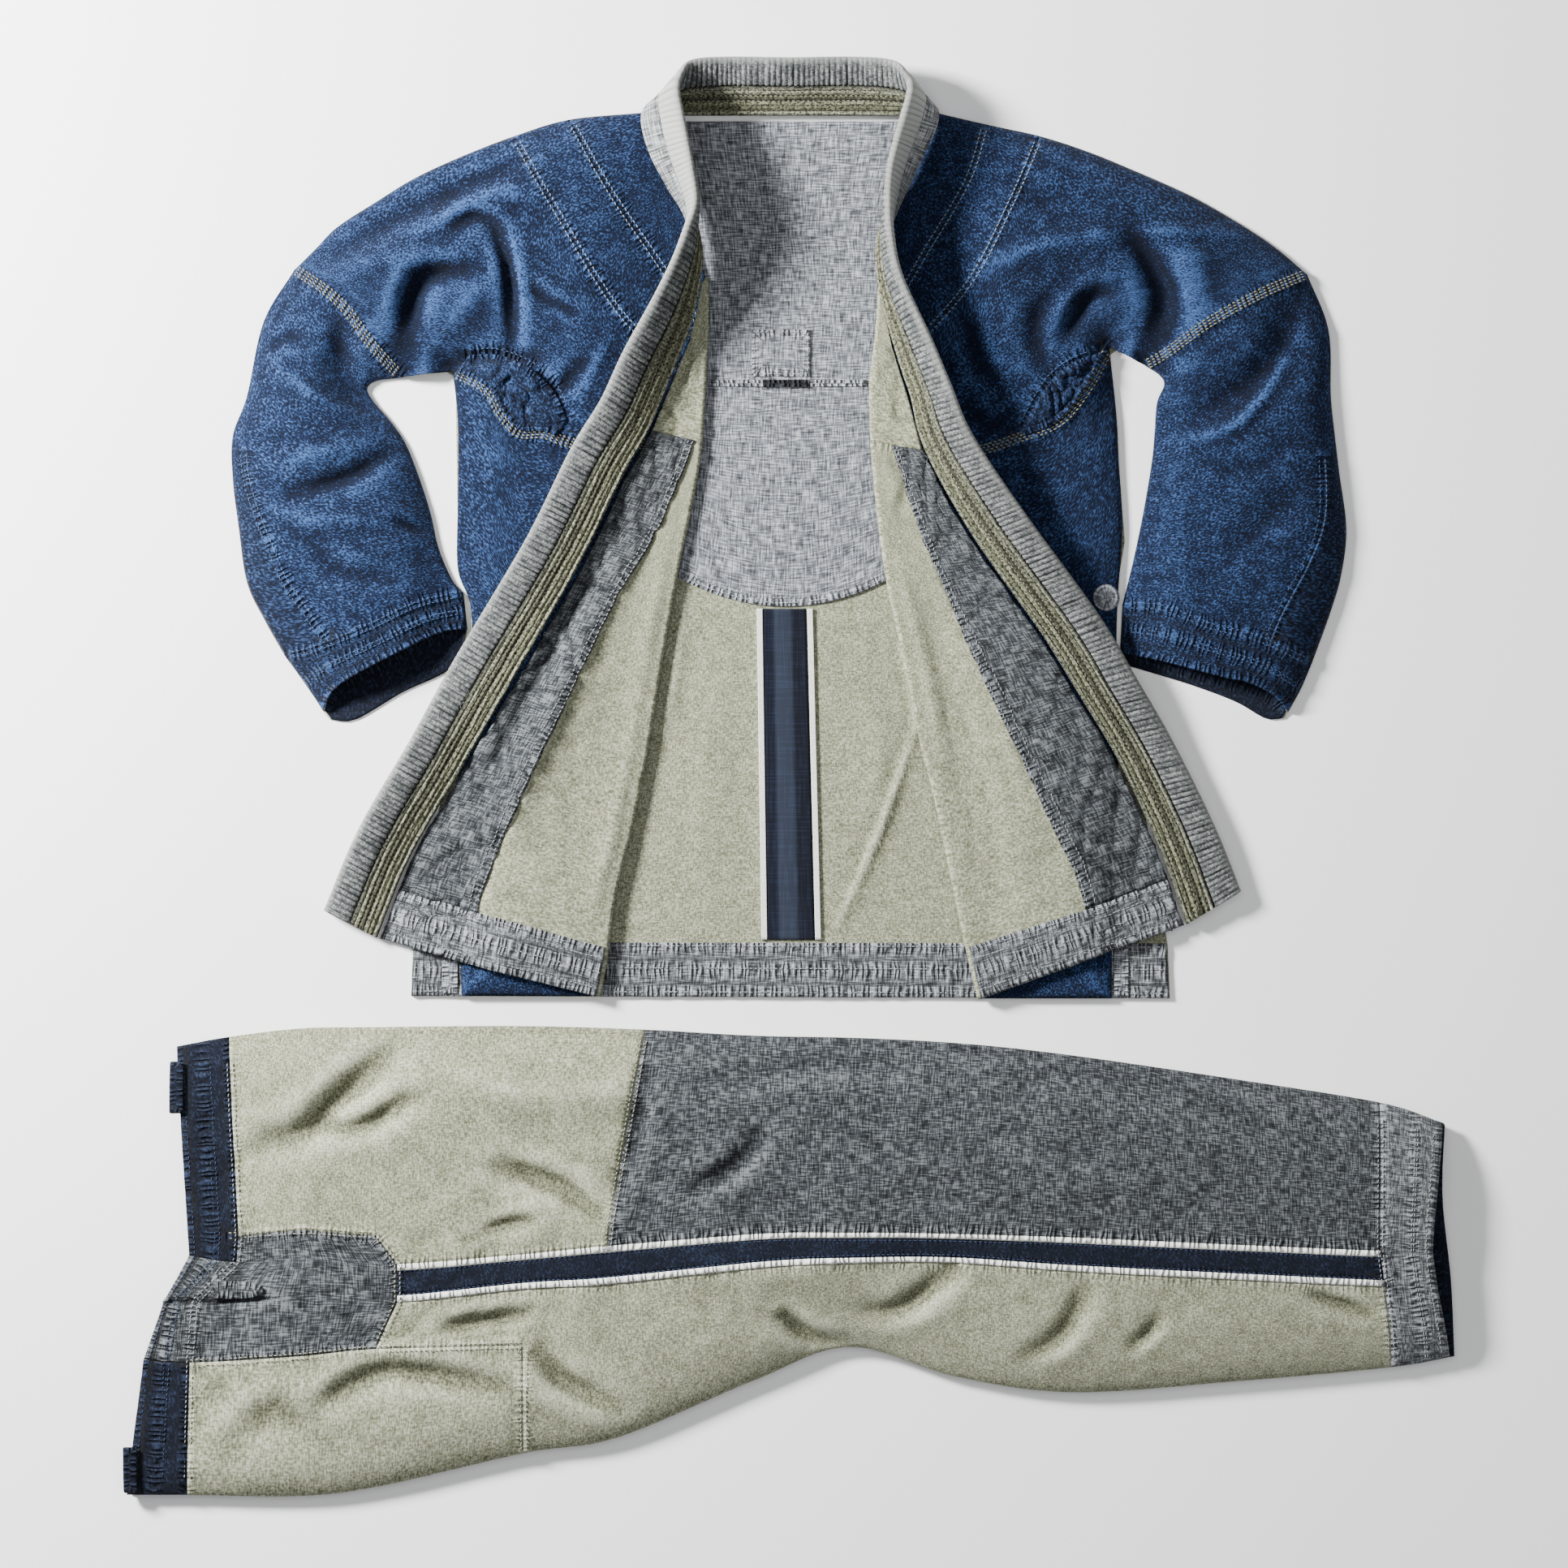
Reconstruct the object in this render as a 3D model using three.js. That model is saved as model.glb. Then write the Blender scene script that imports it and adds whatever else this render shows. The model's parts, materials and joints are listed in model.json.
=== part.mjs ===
// A jiu-jitsu gi laid out flat on a table. The jacket lies on its back with both fronts turned
// open, so that the inside of the back shows between them, and the stiff lapel band runs up one
// front, round the neck and down the other. The trousers lie below it, folded in half.
// Millimetres, +X to the right and +Y up as seen from above, +Z up, the table at Z = 0.
import * as THREE from 'three';

// Driving sizes
const SEAM = 0.3;            // gap that is left between two sewn pieces
const CLOTH = 2.0;           // jacket cloth
const TAPE = 1.3;            // facings, hem bands, stripes and patches
const TROUSER_CLOTH = 1.6;
const LAPEL_WIDTH = 50;      // seam to rim, along the band
const LAPEL_OUTSIDE = 7;     // thickness of the band on each side of the line from seam to rim
const LAPEL_INSIDE = 2;
const STRIPED_PART = 0.53;   // share of the lapel's width that carries the sewn rows
const EDGE_TOP = 4.6;        // upper face of a front where it meets the back at an outer edge
const SLEEVE_LOFT = 22;      // how high the cloth stands away from its edges
const CHEST_LOFT = 10;
const TURN_GAP = 2.4;        // space between a front and the part of it that is turned over
const HALF_THICK = 6.8;      // lower half of the folded trousers
const TROUSER_LOFT = 16;
const PIPING = 5;            // width of each piping beside a stripe
const STRIPE_WIDTH = 29;     // trousers' stripe with both pipings
const PIPING_RAISED = 0.8;   // how far a piping stands above the cloth beside it
const ON_LEG = 0.7;          // room under a loop or tab on the trousers
const EDGE_REACH = 26;       // cloth has nearly its full height this far from an edge
const HIP_REACH = 110;       // the trousers lie flatter within this far of the waist
const SLEEVE_INSET = 0.3;    // how far a sleeve's border is drawn in at its seams
const YOKE_INSET = 0.25;
const CHEST_INSET = 0.2;
const BADGE_AT = [262, 152];
const BADGE_RADIUS = 10;

const COLOURS = {
  denim: '#27416b', denimDark: '#1d3053', cream: '#b4b49d', grey: '#85888b', greyDark: '#6a6d70',
  navy: '#1f2a44', white: '#dcdcd2', rib: '#a3a9ad', rows: '#8f9073', black: '#17181c',
};

// Outlines of the jacket, one set for each side. Each line is a list of [x, y] points.
const LEFT = {
  sign: -1,
  shoulder: [[-121, 560], [-185, 554], [-232, 540], [-276, 523], [-315, 505], [-346, 486],
    [-380, 464], [-416, 428]],
  sleeveSeam: [[-416, 428], [-386, 407], [-368, 389], [-352, 366], [-326, 337]],
  sleeveOuter: [[-416, 428], [-442, 384], [-456, 322], [-468, 288], [-468, 252], [-463, 211],
    [-456, 165], [-441, 133], [-424, 103]],
  sleeveInner: [[-326, 337], [-348, 334], [-355, 327], [-349, 316], [-336, 301], [-323, 282],
    [-312, 255], [-302, 224], [-295, 194], [-284, 168], [-274, 156]],
  cuffLine: [[-424, 103], [-398, 109], [-352, 127], [-312, 146], [-274, 156]],
  cuffEdge: [[-392, 57], [-378, 78], [-331, 104], [-294, 122], [-271, 126]],
  cuffEdgeBelow: [[-387, 50], [-365, 50], [-325, 73], [-289, 90], [-274, 108]],
  cuffOuter: [[-424, 103], [-407, 80], [-392, 57]],
  forearm: { from: 0.47, narrow: 0.08, wide: 0.26 },
  chestSeam: [[-283, 342], [-254, 326], [-242, 306], [-227, 290], [-206, 289], [-176, 280],
    [-120, 281], [-73, 283]],
  side: [[-283, 342], [-279, 298], [-279, 233], [-279, 177], [-268, 143], [-268, 82], [-278, 41],
    [-278, -27], [-277, -95], [-276, -182]],
  fold: [[-73, 283], [-79, 245], [-93, 177], [-107, 99], [-120, 20], [-133, -44], [-146, -97],
    [-153, -150], [-159, -182]],
  upperFold: [[-68, 420], [-68, 381], [-70, 333], [-73, 283]],
  facing: [[-80, 284], [-110, 211], [-145, 154], [-183, 75], [-209, 20], [-237, -44], [-258, -99],
    [-268, -155]],
  turnSeam: [[-118, 292], [-140, 252], [-177, 177], [-237, 73], [-274, 10], [-318, -65],
    [-346, -133]],
  upperTurnSeam: [[-76, 415], [-84, 377], [-101, 333], [-118, 292]],
  backSide: [[-283, 342], [-279, 205], [-268, 158], [-268, 88], [-281, 41], [-302, -61],
    [-317, -146], [-318, -182]],
};
const RIGHT = {
  sign: 1,
  shoulder: [[121, 560], [164, 550], [225, 535], [289, 511], [336, 490], [378, 466], [411, 443],
    [434, 424]],
  sleeveSeam: [[434, 424], [392, 405], [351, 382], [317, 358], [298, 347]],
  sleeveOuter: [[434, 424], [452, 377], [454, 322], [457, 292], [461, 258], [467, 211],
    [463, 173], [454, 141], [438, 97]],
  sleeveInner: [[298, 347], [310, 339], [314, 331], [308, 316], [306, 292], [304, 269],
    [299, 238], [294, 211], [287, 179], [279, 146]],
  cuffLine: [[438, 97], [390, 118], [351, 128], [312, 143], [279, 146]],
  cuffEdge: [[418, 56], [406, 69], [385, 80], [358, 86], [314, 98], [277, 106]],
  cuffEdgeBelow: [[415, 51], [399, 51], [374, 65], [334, 80], [281, 96]],
  cuffOuter: [[438, 97], [429, 76], [418, 56]],
  forearm: { from: 0.47, narrow: 0.08, wide: 0.24 },
  chestSeam: [[268, 362], [248, 326], [225, 299], [192, 286], [154, 275], [105, 278], [67, 283]],
  side: [[268, 362], [274, 305], [276, 266], [279, 211], [275, 150], [274, 99], [276, 41],
    [274, -27], [271, -95], [270, -184]],
  fold: [[67, 283], [71, 238], [80, 169], [95, 99], [108, 34], [121, -18], [136, -90],
    [144, -129], [157, -184]],
  upperFold: [[74, 418], [71, 374], [66, 330], [67, 283]],
  facing: [[86, 280], [116, 190], [147, 118], [183, 39], [212, -23], [243, -93], [253, -150]],
  turnSeam: [[113, 275], [152, 204], [212, 118], [242, 69], [274, 16], [308, -56], [332, -122]],
  upperTurnSeam: [[76, 408], [89, 357], [101, 320], [113, 275]],
  backSide: [[268, 362], [281, 200], [273, 150], [273, 92], [285, 41], [304, -61], [317, -137],
    [319, -186]],
};

// Upper fronts: each row runs down one line of the pattern, from the shoulder towards the turned
// edge or the chest seam. The rows are the neck, the yoke seam, the strip seam, two on the chest,
// two by the gusset, the armhole and the sleeve seam.
// Columns: at the shoulder, above, below.
LEFT.upperLines = [
  [[-121, 560], [-107, 510], [-84, 466]],
  [[-185, 554], [-151, 493], [-108, 430]],
  [[-232, 540], [-198, 480], [-140, 388]],
  [[-276, 523], [-226, 452], [-158, 364]],
  [[-315, 505], [-262, 446], [-186, 360]],
  [[-346, 486], [-292, 434], [-214, 364]],
  [[-380, 464], [-324, 424], [-246, 376]],
  [[-398, 446], [-350, 414], [-294, 382]],
  [[-416, 428], [-386, 407], [-352, 366]],
];
RIGHT.upperLines = [
  [[121, 560], [105, 520], [84, 470]],
  [[164, 550], [148, 500], [110, 436]],
  [[210, 540], [184, 480], [146, 410]],
  [[250, 527], [208, 456], [152, 372]],
  [[289, 511], [240, 450], [180, 368]],
  [[336, 490], [276, 440], [208, 368]],
  [[378, 466], [308, 430], [236, 382]],
  [[408, 446], [352, 420], [284, 396]],
  [[434, 424], [392, 405], [351, 382]],
];

// Lapel band from the left hem round the neck to the right hem.
// Columns: x and y of the seam, x and y of the rim.
const LAPEL = [
  [-346, -133, -391, -110], [-318, -65, -360, -41], [-274, 10, -317, 33], [-237, 73, -281, 100],
  [-177, 177, -221, 199], [-140, 252, -183, 275], [-118, 292, -157, 316], [-101, 333, -138, 355],
  [-84, 377, -115, 394], [-76, 415, -97, 426], [-75, 445, -84, 456], [-84, 475, -76, 479],
  [-100, 499, -79, 507], [-114, 524, -83, 530], [-121, 547, -87, 551], [-119, 559, -91, 574],
  [-106, 557, -88, 590], [-84, 556, -79, 600], [-50, 556, -50, 603], [0, 556, 0, 602],
  [50, 556, 49, 603], [84, 556, 80, 600], [106, 557, 92, 591], [119, 559, 97, 576],
  [119, 547, 91, 552], [108, 524, 85, 530], [96, 500, 80, 507], [85, 479, 79, 483],
  [74, 449, 81, 454], [76, 408, 89, 418], [89, 357, 114, 366], [101, 320, 131, 327],
  [113, 275, 151, 284], [152, 204, 196, 220], [212, 118, 259, 136], [242, 69, 291, 82],
  [274, 16, 323, 27], [308, -56, 356, -40], [332, -122, 378, -94],
];
const LAPEL_LEFT_END = 13;   // rows where the collar takes over from each lapel
const LAPEL_RIGHT_START = 25;

// Soft folds. Columns: start, middle and end of the fold, half width, height (below 0: trough).
const JACKET_FOLDS = [
  [[-368, 449], [-302, 490], [-238, 517], 17, -6],
  [[-315, 373], [-307, 415], [-258, 423], 15, -8],
  [[-236, 426], [-227, 394], [-234, 365], 13, -6],
  [[-380, 420], [-308, 436], [-242, 446], 15, 4],
  [[-398, 388], [-366, 366], [-357, 330], 14, -6],
  [[-422, 342], [-390, 328], [-352, 306], 15, 4],
  [[-420, 241], [-362, 253], [-322, 282], 15, -5],
  [[-427, 233], [-370, 214], [-301, 205], 14, 4],
  [[298, 449], [334, 405], [303, 364], 17, -9],
  [[234, 377], [249, 401], [270, 412], 13, -5],
  [[170, 427], [280, 466], [386, 455], 17, 4],
  [[309, 313], [399, 308], [428, 396], 18, -8],
  [[317, 279], [385, 290], [430, 350], 15, 4],
  [[358, 177], [399, 218], [430, 252], 16, -4],
];
const TROUSER_FOLDS = [
  [[-438, -303], [-400, -289], [-330, -220], 16, -6],
  [[-393, -300], [-356, -289], [-315, -262], 12, -4],
  [[-300, -318], [-239, -330], [-164, -360], 14, -5],
  [[-300, -462], [-254, -450], [-200, -440], 13, -3],
  [[-206, -481], [-190, -503], [-145, -526], 15, -6],
  [[-395, -524], [-336, -500], [-250, -508], 13, -4],
  [[132, -413], [93, -438], [40, -446], 15, -5],
  [[-3, -449], [21, -464], [50, -468], 12, -6],
  [[132, -240], [25, -240], [-79, -258], 14, -3],
  [[200, -246], [304, -256], [396, -290], 13, -4],
  [[250, -425], [229, -458], [200, -490], 13, -4],
];

// Trousers, a row for each line across the leg, from the waist to the hem.
// Columns: upper edge, hip patch above, stripe above, stripe below, hip patch below, lower edge.
const LEG = [
  { name: 'waist', cells: 0,
    at: [[-514, -224], [-504, -382], [-503, -399], [-524, -437], [-541, -486], [-556, -600]] },
  { name: 'waistband', cells: 2,
    at: [[-470, -216], [-461, -382], [-463, -404], [-498, -437], [-502, -488], [-505, -600]] },
  { name: 'hip', cells: 2,
    at: [[-410, -209], [-406, -377], [-401, -402], [-404, -437], [-408, -482], [-412, -601]] },
  { name: 'patch end', cells: 2,
    at: [[-352, -208], [-346, -381], [-328, -405], [-328, -437], [-346, -476], [-345, -593]] },
  { name: 'seat end', cells: 3,
    at: [[-226, -207], [-224, -375], [-223, -397], [-223, -426], [-223, -473], [-223, -565]] },
  { name: 'knee start', cells: 2,
    at: [[-121, -210], [-150, -370], [-152, -390], [-153, -422], [-150, -470], [-145, -552]] },
  { name: 'knee', cells: 3,
    at: [[-30, -215], [-28, -361], [-26, -380], [-26, -408], [-24, -446], [-30, -504]] },
  { name: 'knee back', cells: 2,
    at: [[60, -217], [56, -360], [55, -379], [55, -404], [52, -440], [50, -476]] },
  { name: 'shin', cells: 2,
    at: [[150, -222], [140, -361], [137, -380], [137, -404], [138, -447], [140, -501]] },
  { name: 'shin', cells: 2,
    at: [[240, -232], [238, -363], [236, -383], [236, -411], [237, -455], [237, -514]] },
  { name: 'shin', cells: 3,
    at: [[370, -251], [372, -370], [372, -389], [372, -418], [372, -460], [372, -505]] },
  { name: 'hem band', cells: 3,
    at: [[494, -271], [493, -374], [493, -394], [497, -424], [502, -462], [504, -493]] },
  { name: 'hem', cells: 2,
    at: [[547, -288], [538, -374], [537, -395], [541, -425], [549, -463], [553, -484]] },
];
const LEG_HEM_BELOW = [[549, -289], [547, -350], [554, -419], [557, -484]];

const clamp = (x, low, high) => Math.min(Math.max(x, low), high);
const mix = (a, b, t) => a + (b - a) * t;
const mixPoint = (p, q, t) => p.map((value, k) => mix(value, q[k], t));
const ease = (from, to, x) => {
  const t = clamp((x - from) / (to - from), 0, 1);
  return t * t * (3 - 2 * t);
};

// A smooth curve through rows of numbers; t runs 0 to 1, counted in rows.
function through(rows, t) {
  const last = rows.length - 1;
  const s = clamp(t, 0, 1) * last;
  const i = Math.min(Math.floor(s), last - 1);
  const f = s - i;
  const [b, c] = [rows[i], rows[i + 1]];
  const a = rows[i - 1] ?? b.map((value, k) => 2 * value - c[k]);
  const d = rows[i + 2] ?? c.map((value, k) => 2 * value - b[k]);
  return b.map((value, k) => 0.5 * (2 * value + (c[k] - a[k]) * f
    + (2 * a[k] - 5 * value + 4 * c[k] - d[k]) * f * f
    + (3 * value - a[k] - 3 * c[k] + d[k]) * f * f * f));
}

// The same curve with t counted by length.
function byLength(rows) {
  const run = [0];
  for (let i = 1; i < rows.length; i += 1) {
    run.push(run[i - 1] + Math.hypot(rows[i][0] - rows[i - 1][0], rows[i][1] - rows[i - 1][1]));
  }
  return (t) => {
    const want = clamp(t, 0, 1) * run[run.length - 1];
    let i = 0;
    while (i < rows.length - 2 && run[i + 1] < want) i += 1;
    return through(rows, (i + (want - run[i]) / (run[i + 1] - run[i])) / (rows.length - 1));
  };
}

// A sheet between four curves: u runs along top and bottom, v along left and right.
function between(top, bottom, left, right) {
  return (u, v) => [0, 1].map((k) => mix(top(u)[k], bottom(u)[k], v)
    + mix(left(v)[k], right(v)[k], u)
    - mix(mix(top(0)[k], top(1)[k], u), mix(bottom(0)[k], bottom(1)[k], u), v));
}

// Nearest point of a broken line: how far it is, and where along the line (0 to 1).
function nearest(x, y, line) {
  let [best, at] = [Infinity, 0];
  for (let i = 1; i < line.length; i += 1) {
    const [ax, ay] = line[i - 1];
    const [dx, dy] = [line[i][0] - ax, line[i][1] - ay];
    const t = clamp(((x - ax) * dx + (y - ay) * dy) / (dx * dx + dy * dy), 0, 1);
    const away = Math.hypot(x - ax - t * dx, y - ay - t * dy);
    if (away < best) [best, at] = [away, (i - 1 + t) / (line.length - 1)];
  }
  return [best, at];
}
const nearestOf = (x, y, lines) => Math.min(...lines.map((line) => nearest(x, y, line)[0]));

function inside(x, y, loop) {
  let hit = false;
  for (let i = 0, j = loop.length - 1; i < loop.length; j = i, i += 1) {
    const [[ax, ay], [bx, by]] = [loop[i], loop[j]];
    if ((ay > y) !== (by > y) && x < ((bx - ax) * (y - ay)) / (by - ay) + ax) hit = !hit;
  }
  return hit;
}

function foldCurves(rows) {
  return rows.map(([start, middle, end, width, height]) => {
    const line = [];
    for (let k = 0; k <= 8; k += 1) line.push(through([start, middle, end], k / 8));
    return { line, width, height };
  });
}
const jacketFolds = foldCurves(JACKET_FOLDS);
const trouserFolds = foldCurves(TROUSER_FOLDS);

// Each fold is a soft trough or ridge across its curve, and it fades out towards both ends.
function foldHeight(x, y, folds) {
  let sum = 0;
  for (const { line, width, height } of folds) {
    const [away, at] = nearest(x, y, line);
    sum += height * Math.exp(-((away / width) ** 2)) * Math.sin(Math.PI * mix(0.15, 0.85, at));
  }
  return sum;
}

// Upper face of the fronts and sleeves: level at the outer edges, higher away from them, and
// low again along the turned edge beside the middle of the back.
function bodyTop(x, y, side) {
  const edges = [side.shoulder, side.sleeveOuter, side.sleeveInner, side.cuffOuter, side.side,
    [side.side[side.side.length - 1], side.fold[side.fold.length - 1]]];
  const away = nearestOf(x, y, edges);
  const wide = Math.abs(x);
  const high = Math.max(ease(230, 420, y), ease(275, 330, wide));
  const spread = ease(70, 190, wide - ease(450, 250, y) * 0.18 * (300 - Math.max(y, -180)));
  const loft = mix(2.4, mix(CHEST_LOFT, SLEEVE_LOFT, high), spread);
  const rise = 1 - Math.exp(-away / EDGE_REACH);
  const base = EDGE_TOP + 1.7 * ease(-40, -130, y) * ease(330, 290, wide);
  return base + loft * rise + foldHeight(x, y, jacketFolds) * rise * mix(0.3, 1, spread);
}

// What a turned-over front or a lapel rests on, also past the side of the body.
function restTop(x, y, side) {
  const loop = [...side.side, ...[...side.fold].reverse(), ...[...side.upperFold].reverse(),
    ...side.shoulder, ...[...side.sleeveSeam]];
  const collar = ease(98, 119, Math.abs(x));
  if (inside(x, y, loop)) return bodyTop(x, y, side) * (y > 552 ? collar : 1);
  const past = nearest(x, y, side.side)[0];
  const pastBack = inside(x, y, [...side.backSide, [0, -184], [0, 342]]) ? 0
    : nearest(x, y, side.backSide)[0];
  const low = 4.1 * (1 - ease(0, 26, pastBack)) + 2.2 * Math.exp(-past / 12);
  const neck = bodyTop(x, y, side) * Math.exp(-nearest(x, y, side.upperFold)[0] / 60);
  return (y > 200 ? neck : low) * (y > 552 ? collar : 1);
}

const group = new THREE.Group();

function addPiece(name, geometry, colour) {
  const material = new THREE.MeshStandardMaterial({ color: colour, roughness: 0.9, metalness: 0 });
  const mesh = new THREE.Mesh(geometry, material);
  mesh.name = name;
  group.add(mesh);
}

// A closed mesh; faces that enclose a volume below zero are all turned round.
function addMesh(name, points, faces, colour) {
  let volume = 0;
  for (let k = 0; k < faces.length; k += 3) {
    const [a, b, c] = faces.slice(k, k + 3).map((n) => new THREE.Vector3(...points[n]));
    volume += a.dot(b.cross(c));
  }
  const geometry = new THREE.BufferGeometry();
  geometry.setAttribute('position', new THREE.Float32BufferAttribute(points.flat(), 3));
  geometry.setIndex(volume < 0 ? [...faces].reverse() : faces);
  geometry.computeVertexNormals();
  addPiece(name, geometry, colour);
}

// Triangles that fill a flat ring, wound as the ring is.
function fill(ring) {
  const wound = Math.sign(THREE.ShapeUtils.area(ring));
  return THREE.ShapeUtils.triangulateShape(ring, []).map(([a, b, c]) => (
    Math.sign(THREE.ShapeUtils.area([ring[a], ring[b], ring[c]])) === wound ? [a, b, c]
      : [a, c, b]));
}

// Direction square to a height function z(x, y).
function upFrom(height, x, y) {
  const step = 1.5;
  return new THREE.Vector3((height(x - step, y) - height(x + step, y)) / (2 * step),
    (height(x, y - step) - height(x, y + step)) / (2 * step), 1).normalize();
}

// Points of a sheet as rows and columns, with the direction that its outer face looks in. Where
// place gives a height function after the point, that direction comes from its slope.
// ring: the last column joins the first. flip: turns the outer face round.
function makeGrid(rows, columns, place, { ring = false, flip = false } = {}) {
  const at = [];
  const sloped = [];
  for (let i = 0; i <= rows; i += 1) {
    at.push([]);
    for (let j = 0; j < columns + (ring ? 0 : 1); j += 1) {
      const [x, y, z, height] = place(i, j);
      at[i].push(new THREE.Vector3(x, y, z));
      if (height) sloped.push([i, j, upFrom(height, x, y)]);
    }
  }
  const grid = { at, rows, columns, ring };
  grid.point = (i, j) => at[i][ring ? j % columns : j];
  const out = at.map((row) => row.map(() => new THREE.Vector3()));
  for (let i = 0; i < rows; i += 1) {
    for (let j = 0; j < columns; j += 1) {
      const corners = [[i, j], [i + 1, j], [i + 1, j + 1], [i, j + 1]];
      const [a, b, c, d] = corners.map(([p, q]) => grid.point(p, q));
      const normal = c.clone().sub(a).cross(d.clone().sub(b)).multiplyScalar(flip ? -1 : 1);
      normal.normalize();
      for (const [p, q] of corners) out[p][ring ? q % columns : q].add(normal);
    }
  }
  out.forEach((row) => row.forEach((normal) => normal.normalize()));
  sloped.forEach(([i, j, normal]) => { out[i][j] = normal; });
  grid.out = (i, j) => out[i][ring ? j % columns : j];
  grid.flip = flip;
  return grid;
}

// One closed piece of cloth made from some cells of a grid, between two distances from it. Its
// border is drawn in by half a seam gap.
function cloth(name, grid, wanted, low, high, colour, inset = SEAM / 2) {
  const key = (i, j) => `${i},${grid.ring ? j % grid.columns : j}`;
  const cells = [];
  for (let i = 0; i < grid.rows; i += 1) {
    for (let j = 0; j < grid.columns; j += 1) if (wanted(i, j)) cells.push([i, j]);
  }
  const edges = new Map();
  for (const [i, j] of cells) {
    const loop = [[i, j], [i + 1, j], [i + 1, j + 1], [i, j + 1]];
    if (grid.flip) loop.reverse();
    loop.forEach((from, k) => {
      const to = loop[(k + 1) % 4];
      const back = `${key(...to)}>${key(...from)}`;
      if (edges.has(back)) edges.delete(back);
      else edges.set(`${key(...from)}>${key(...to)}`, [from, to]);
    });
  }
  const inward = new Map();
  for (const [from, to] of edges.values()) {
    const along = grid.point(...to).clone().sub(grid.point(...from));
    for (const end of [from, to]) {
      const push = grid.out(...end).clone().cross(along).normalize();
      inward.set(key(...end), [...(inward.get(key(...end)) ?? []), push]);
    }
  }
  const index = new Map();
  const points = [];
  const use = (i, j) => {
    const place = key(i, j);
    if (!index.has(place)) {
      const base = grid.point(i, j).clone();
      const pushes = inward.get(place);
      if (pushes) {
        const sum = pushes.reduce((total, push) => total.add(push), new THREE.Vector3());
        const both = sum.lengthSq() / (pushes.length / 2);
        if (both > 0.2) base.addScaledVector(sum, (2 * inset) / both);
      }
      const out = grid.out(i, j);
      index.set(place, points.length);
      points.push(base.clone().addScaledVector(out, high).toArray());
      points.push(base.clone().addScaledVector(out, low).toArray());
    }
    return index.get(place);
  };
  const faces = [];
  for (const [i, j] of cells) {
    const loop = [[i, j], [i + 1, j], [i + 1, j + 1], [i, j + 1]];
    if (grid.flip) loop.reverse();
    const [a, b, c, d] = loop.map(([p, q]) => use(p, q));
    faces.push(a, b, c, a, c, d, a + 1, c + 1, b + 1, a + 1, d + 1, c + 1);
  }
  for (const [from, to] of edges.values()) {
    const [a, b] = [use(...from), use(...to)];
    faces.push(a, a + 1, b + 1, a, b + 1, b);
  }
  addMesh(name, points, faces, colour);
}

// A flat piece with a straight edge all round, between two heights.
function flatPiece(name, outline, low, high, colour) {
  const shape = new THREE.Shape(outline.map(([x, y]) => new THREE.Vector2(x, y)));
  const geometry = new THREE.ExtrudeGeometry(shape, { depth: high - low, bevelEnabled: false });
  geometry.translate(0, 0, low);
  addPiece(name, geometry, colour);
}
const reversed = (line) => [...line].reverse();

// Back of the jacket: one flat panel from the hem to the shoulders and the sleeve seams.
const armhole = (side) => side.sleeveSeam.map(([x, y]) => [x - side.sign * 1.6, y]);
const backOutline = [
  ...reversed(LEFT.backSide), [-305, 340], ...reversed(armhole(LEFT)),
  ...reversed(LEFT.shoulder).slice(1, -1), [-124, 556], [-119, 553.4],
  [119, 553.4], [124, 556], ...RIGHT.shoulder.slice(1, -1), ...armhole(RIGHT),
  [289, 353], [274, 374], ...RIGHT.backSide,
];
flatPiece('back_panel', backOutline, 0, CLOTH, COLOURS.cream);

const LINING_LOW = CLOTH + SEAM;
const LINING_TOP = LINING_LOW + TAPE;
flatPiece('back_lining', [[-102, 552], [-84, 470], [-80, 420], [-80, 300], [-94, 169], [-50, 151],
  [-8, 145], [38, 151], [90, 171], [79, 300], [84, 420], [84, 470], [102, 552]],
LINING_LOW, LINING_TOP, COLOURS.grey);
flatPiece('back_hem_band', [[-317.6, -181.6], [317.6, -183.6], [315, -138], [-314, -135.5]],
  LINING_LOW, LINING_TOP, COLOURS.grey);

// Stripe down the middle of the back, between two pipings. Columns: name, the two sides' x at
// the top and at the bottom, height, colour.
const STRIPE_TOP = 143;
const STRIPE_END = -134.8;
for (const [name, topLeft, topRight, endLeft, endRight, high, colour] of [
  ['back_piping_left', -28, -23.2, -24, -19.2, 1.9, COLOURS.white],
  ['back_stripe', -22.9, 13.9, -18.9, 20.9, TAPE, COLOURS.navy],
  ['back_piping_right', 14.2, 19, 21.2, 26, 1.9, COLOURS.white],
]) {
  flatPiece(name, [[topLeft, STRIPE_TOP], [endLeft, STRIPE_END], [endRight, STRIPE_END],
    [topRight, STRIPE_TOP]], LINING_LOW, LINING_LOW + high, colour);
}
flatPiece('side_vent_tape_left', [[-292, -148], [-292, -180], [-279, -180], [-279, -148]],
  LINING_TOP + SEAM, LINING_TOP + SEAM + 1, COLOURS.rib);
flatPiece('side_vent_tape_right', [[272, -138], [272, -182], [284, -182], [284, -138]],
  LINING_TOP + SEAM, LINING_TOP + SEAM + 1, COLOURS.rib);
flatPiece('name_patch', [[-32, 338], [-32, 377], [17, 377], [17, 338]],
  LINING_TOP + SEAM, LINING_TOP + SEAM + 1, COLOURS.grey);
flatPiece('lining_seam_fold', [[-66, 335], [-66, 329.5], [64, 329.5], [64, 335]],
  LINING_TOP + SEAM, LINING_TOP + SEAM + 1, COLOURS.grey);
flatPiece('hanger_loop', [[-23, 335], [-23, 329], [15, 329], [15, 335]],
  LINING_TOP + 2 * SEAM + 1, LINING_TOP + 2 * SEAM + 2.6, COLOURS.black);

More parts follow.
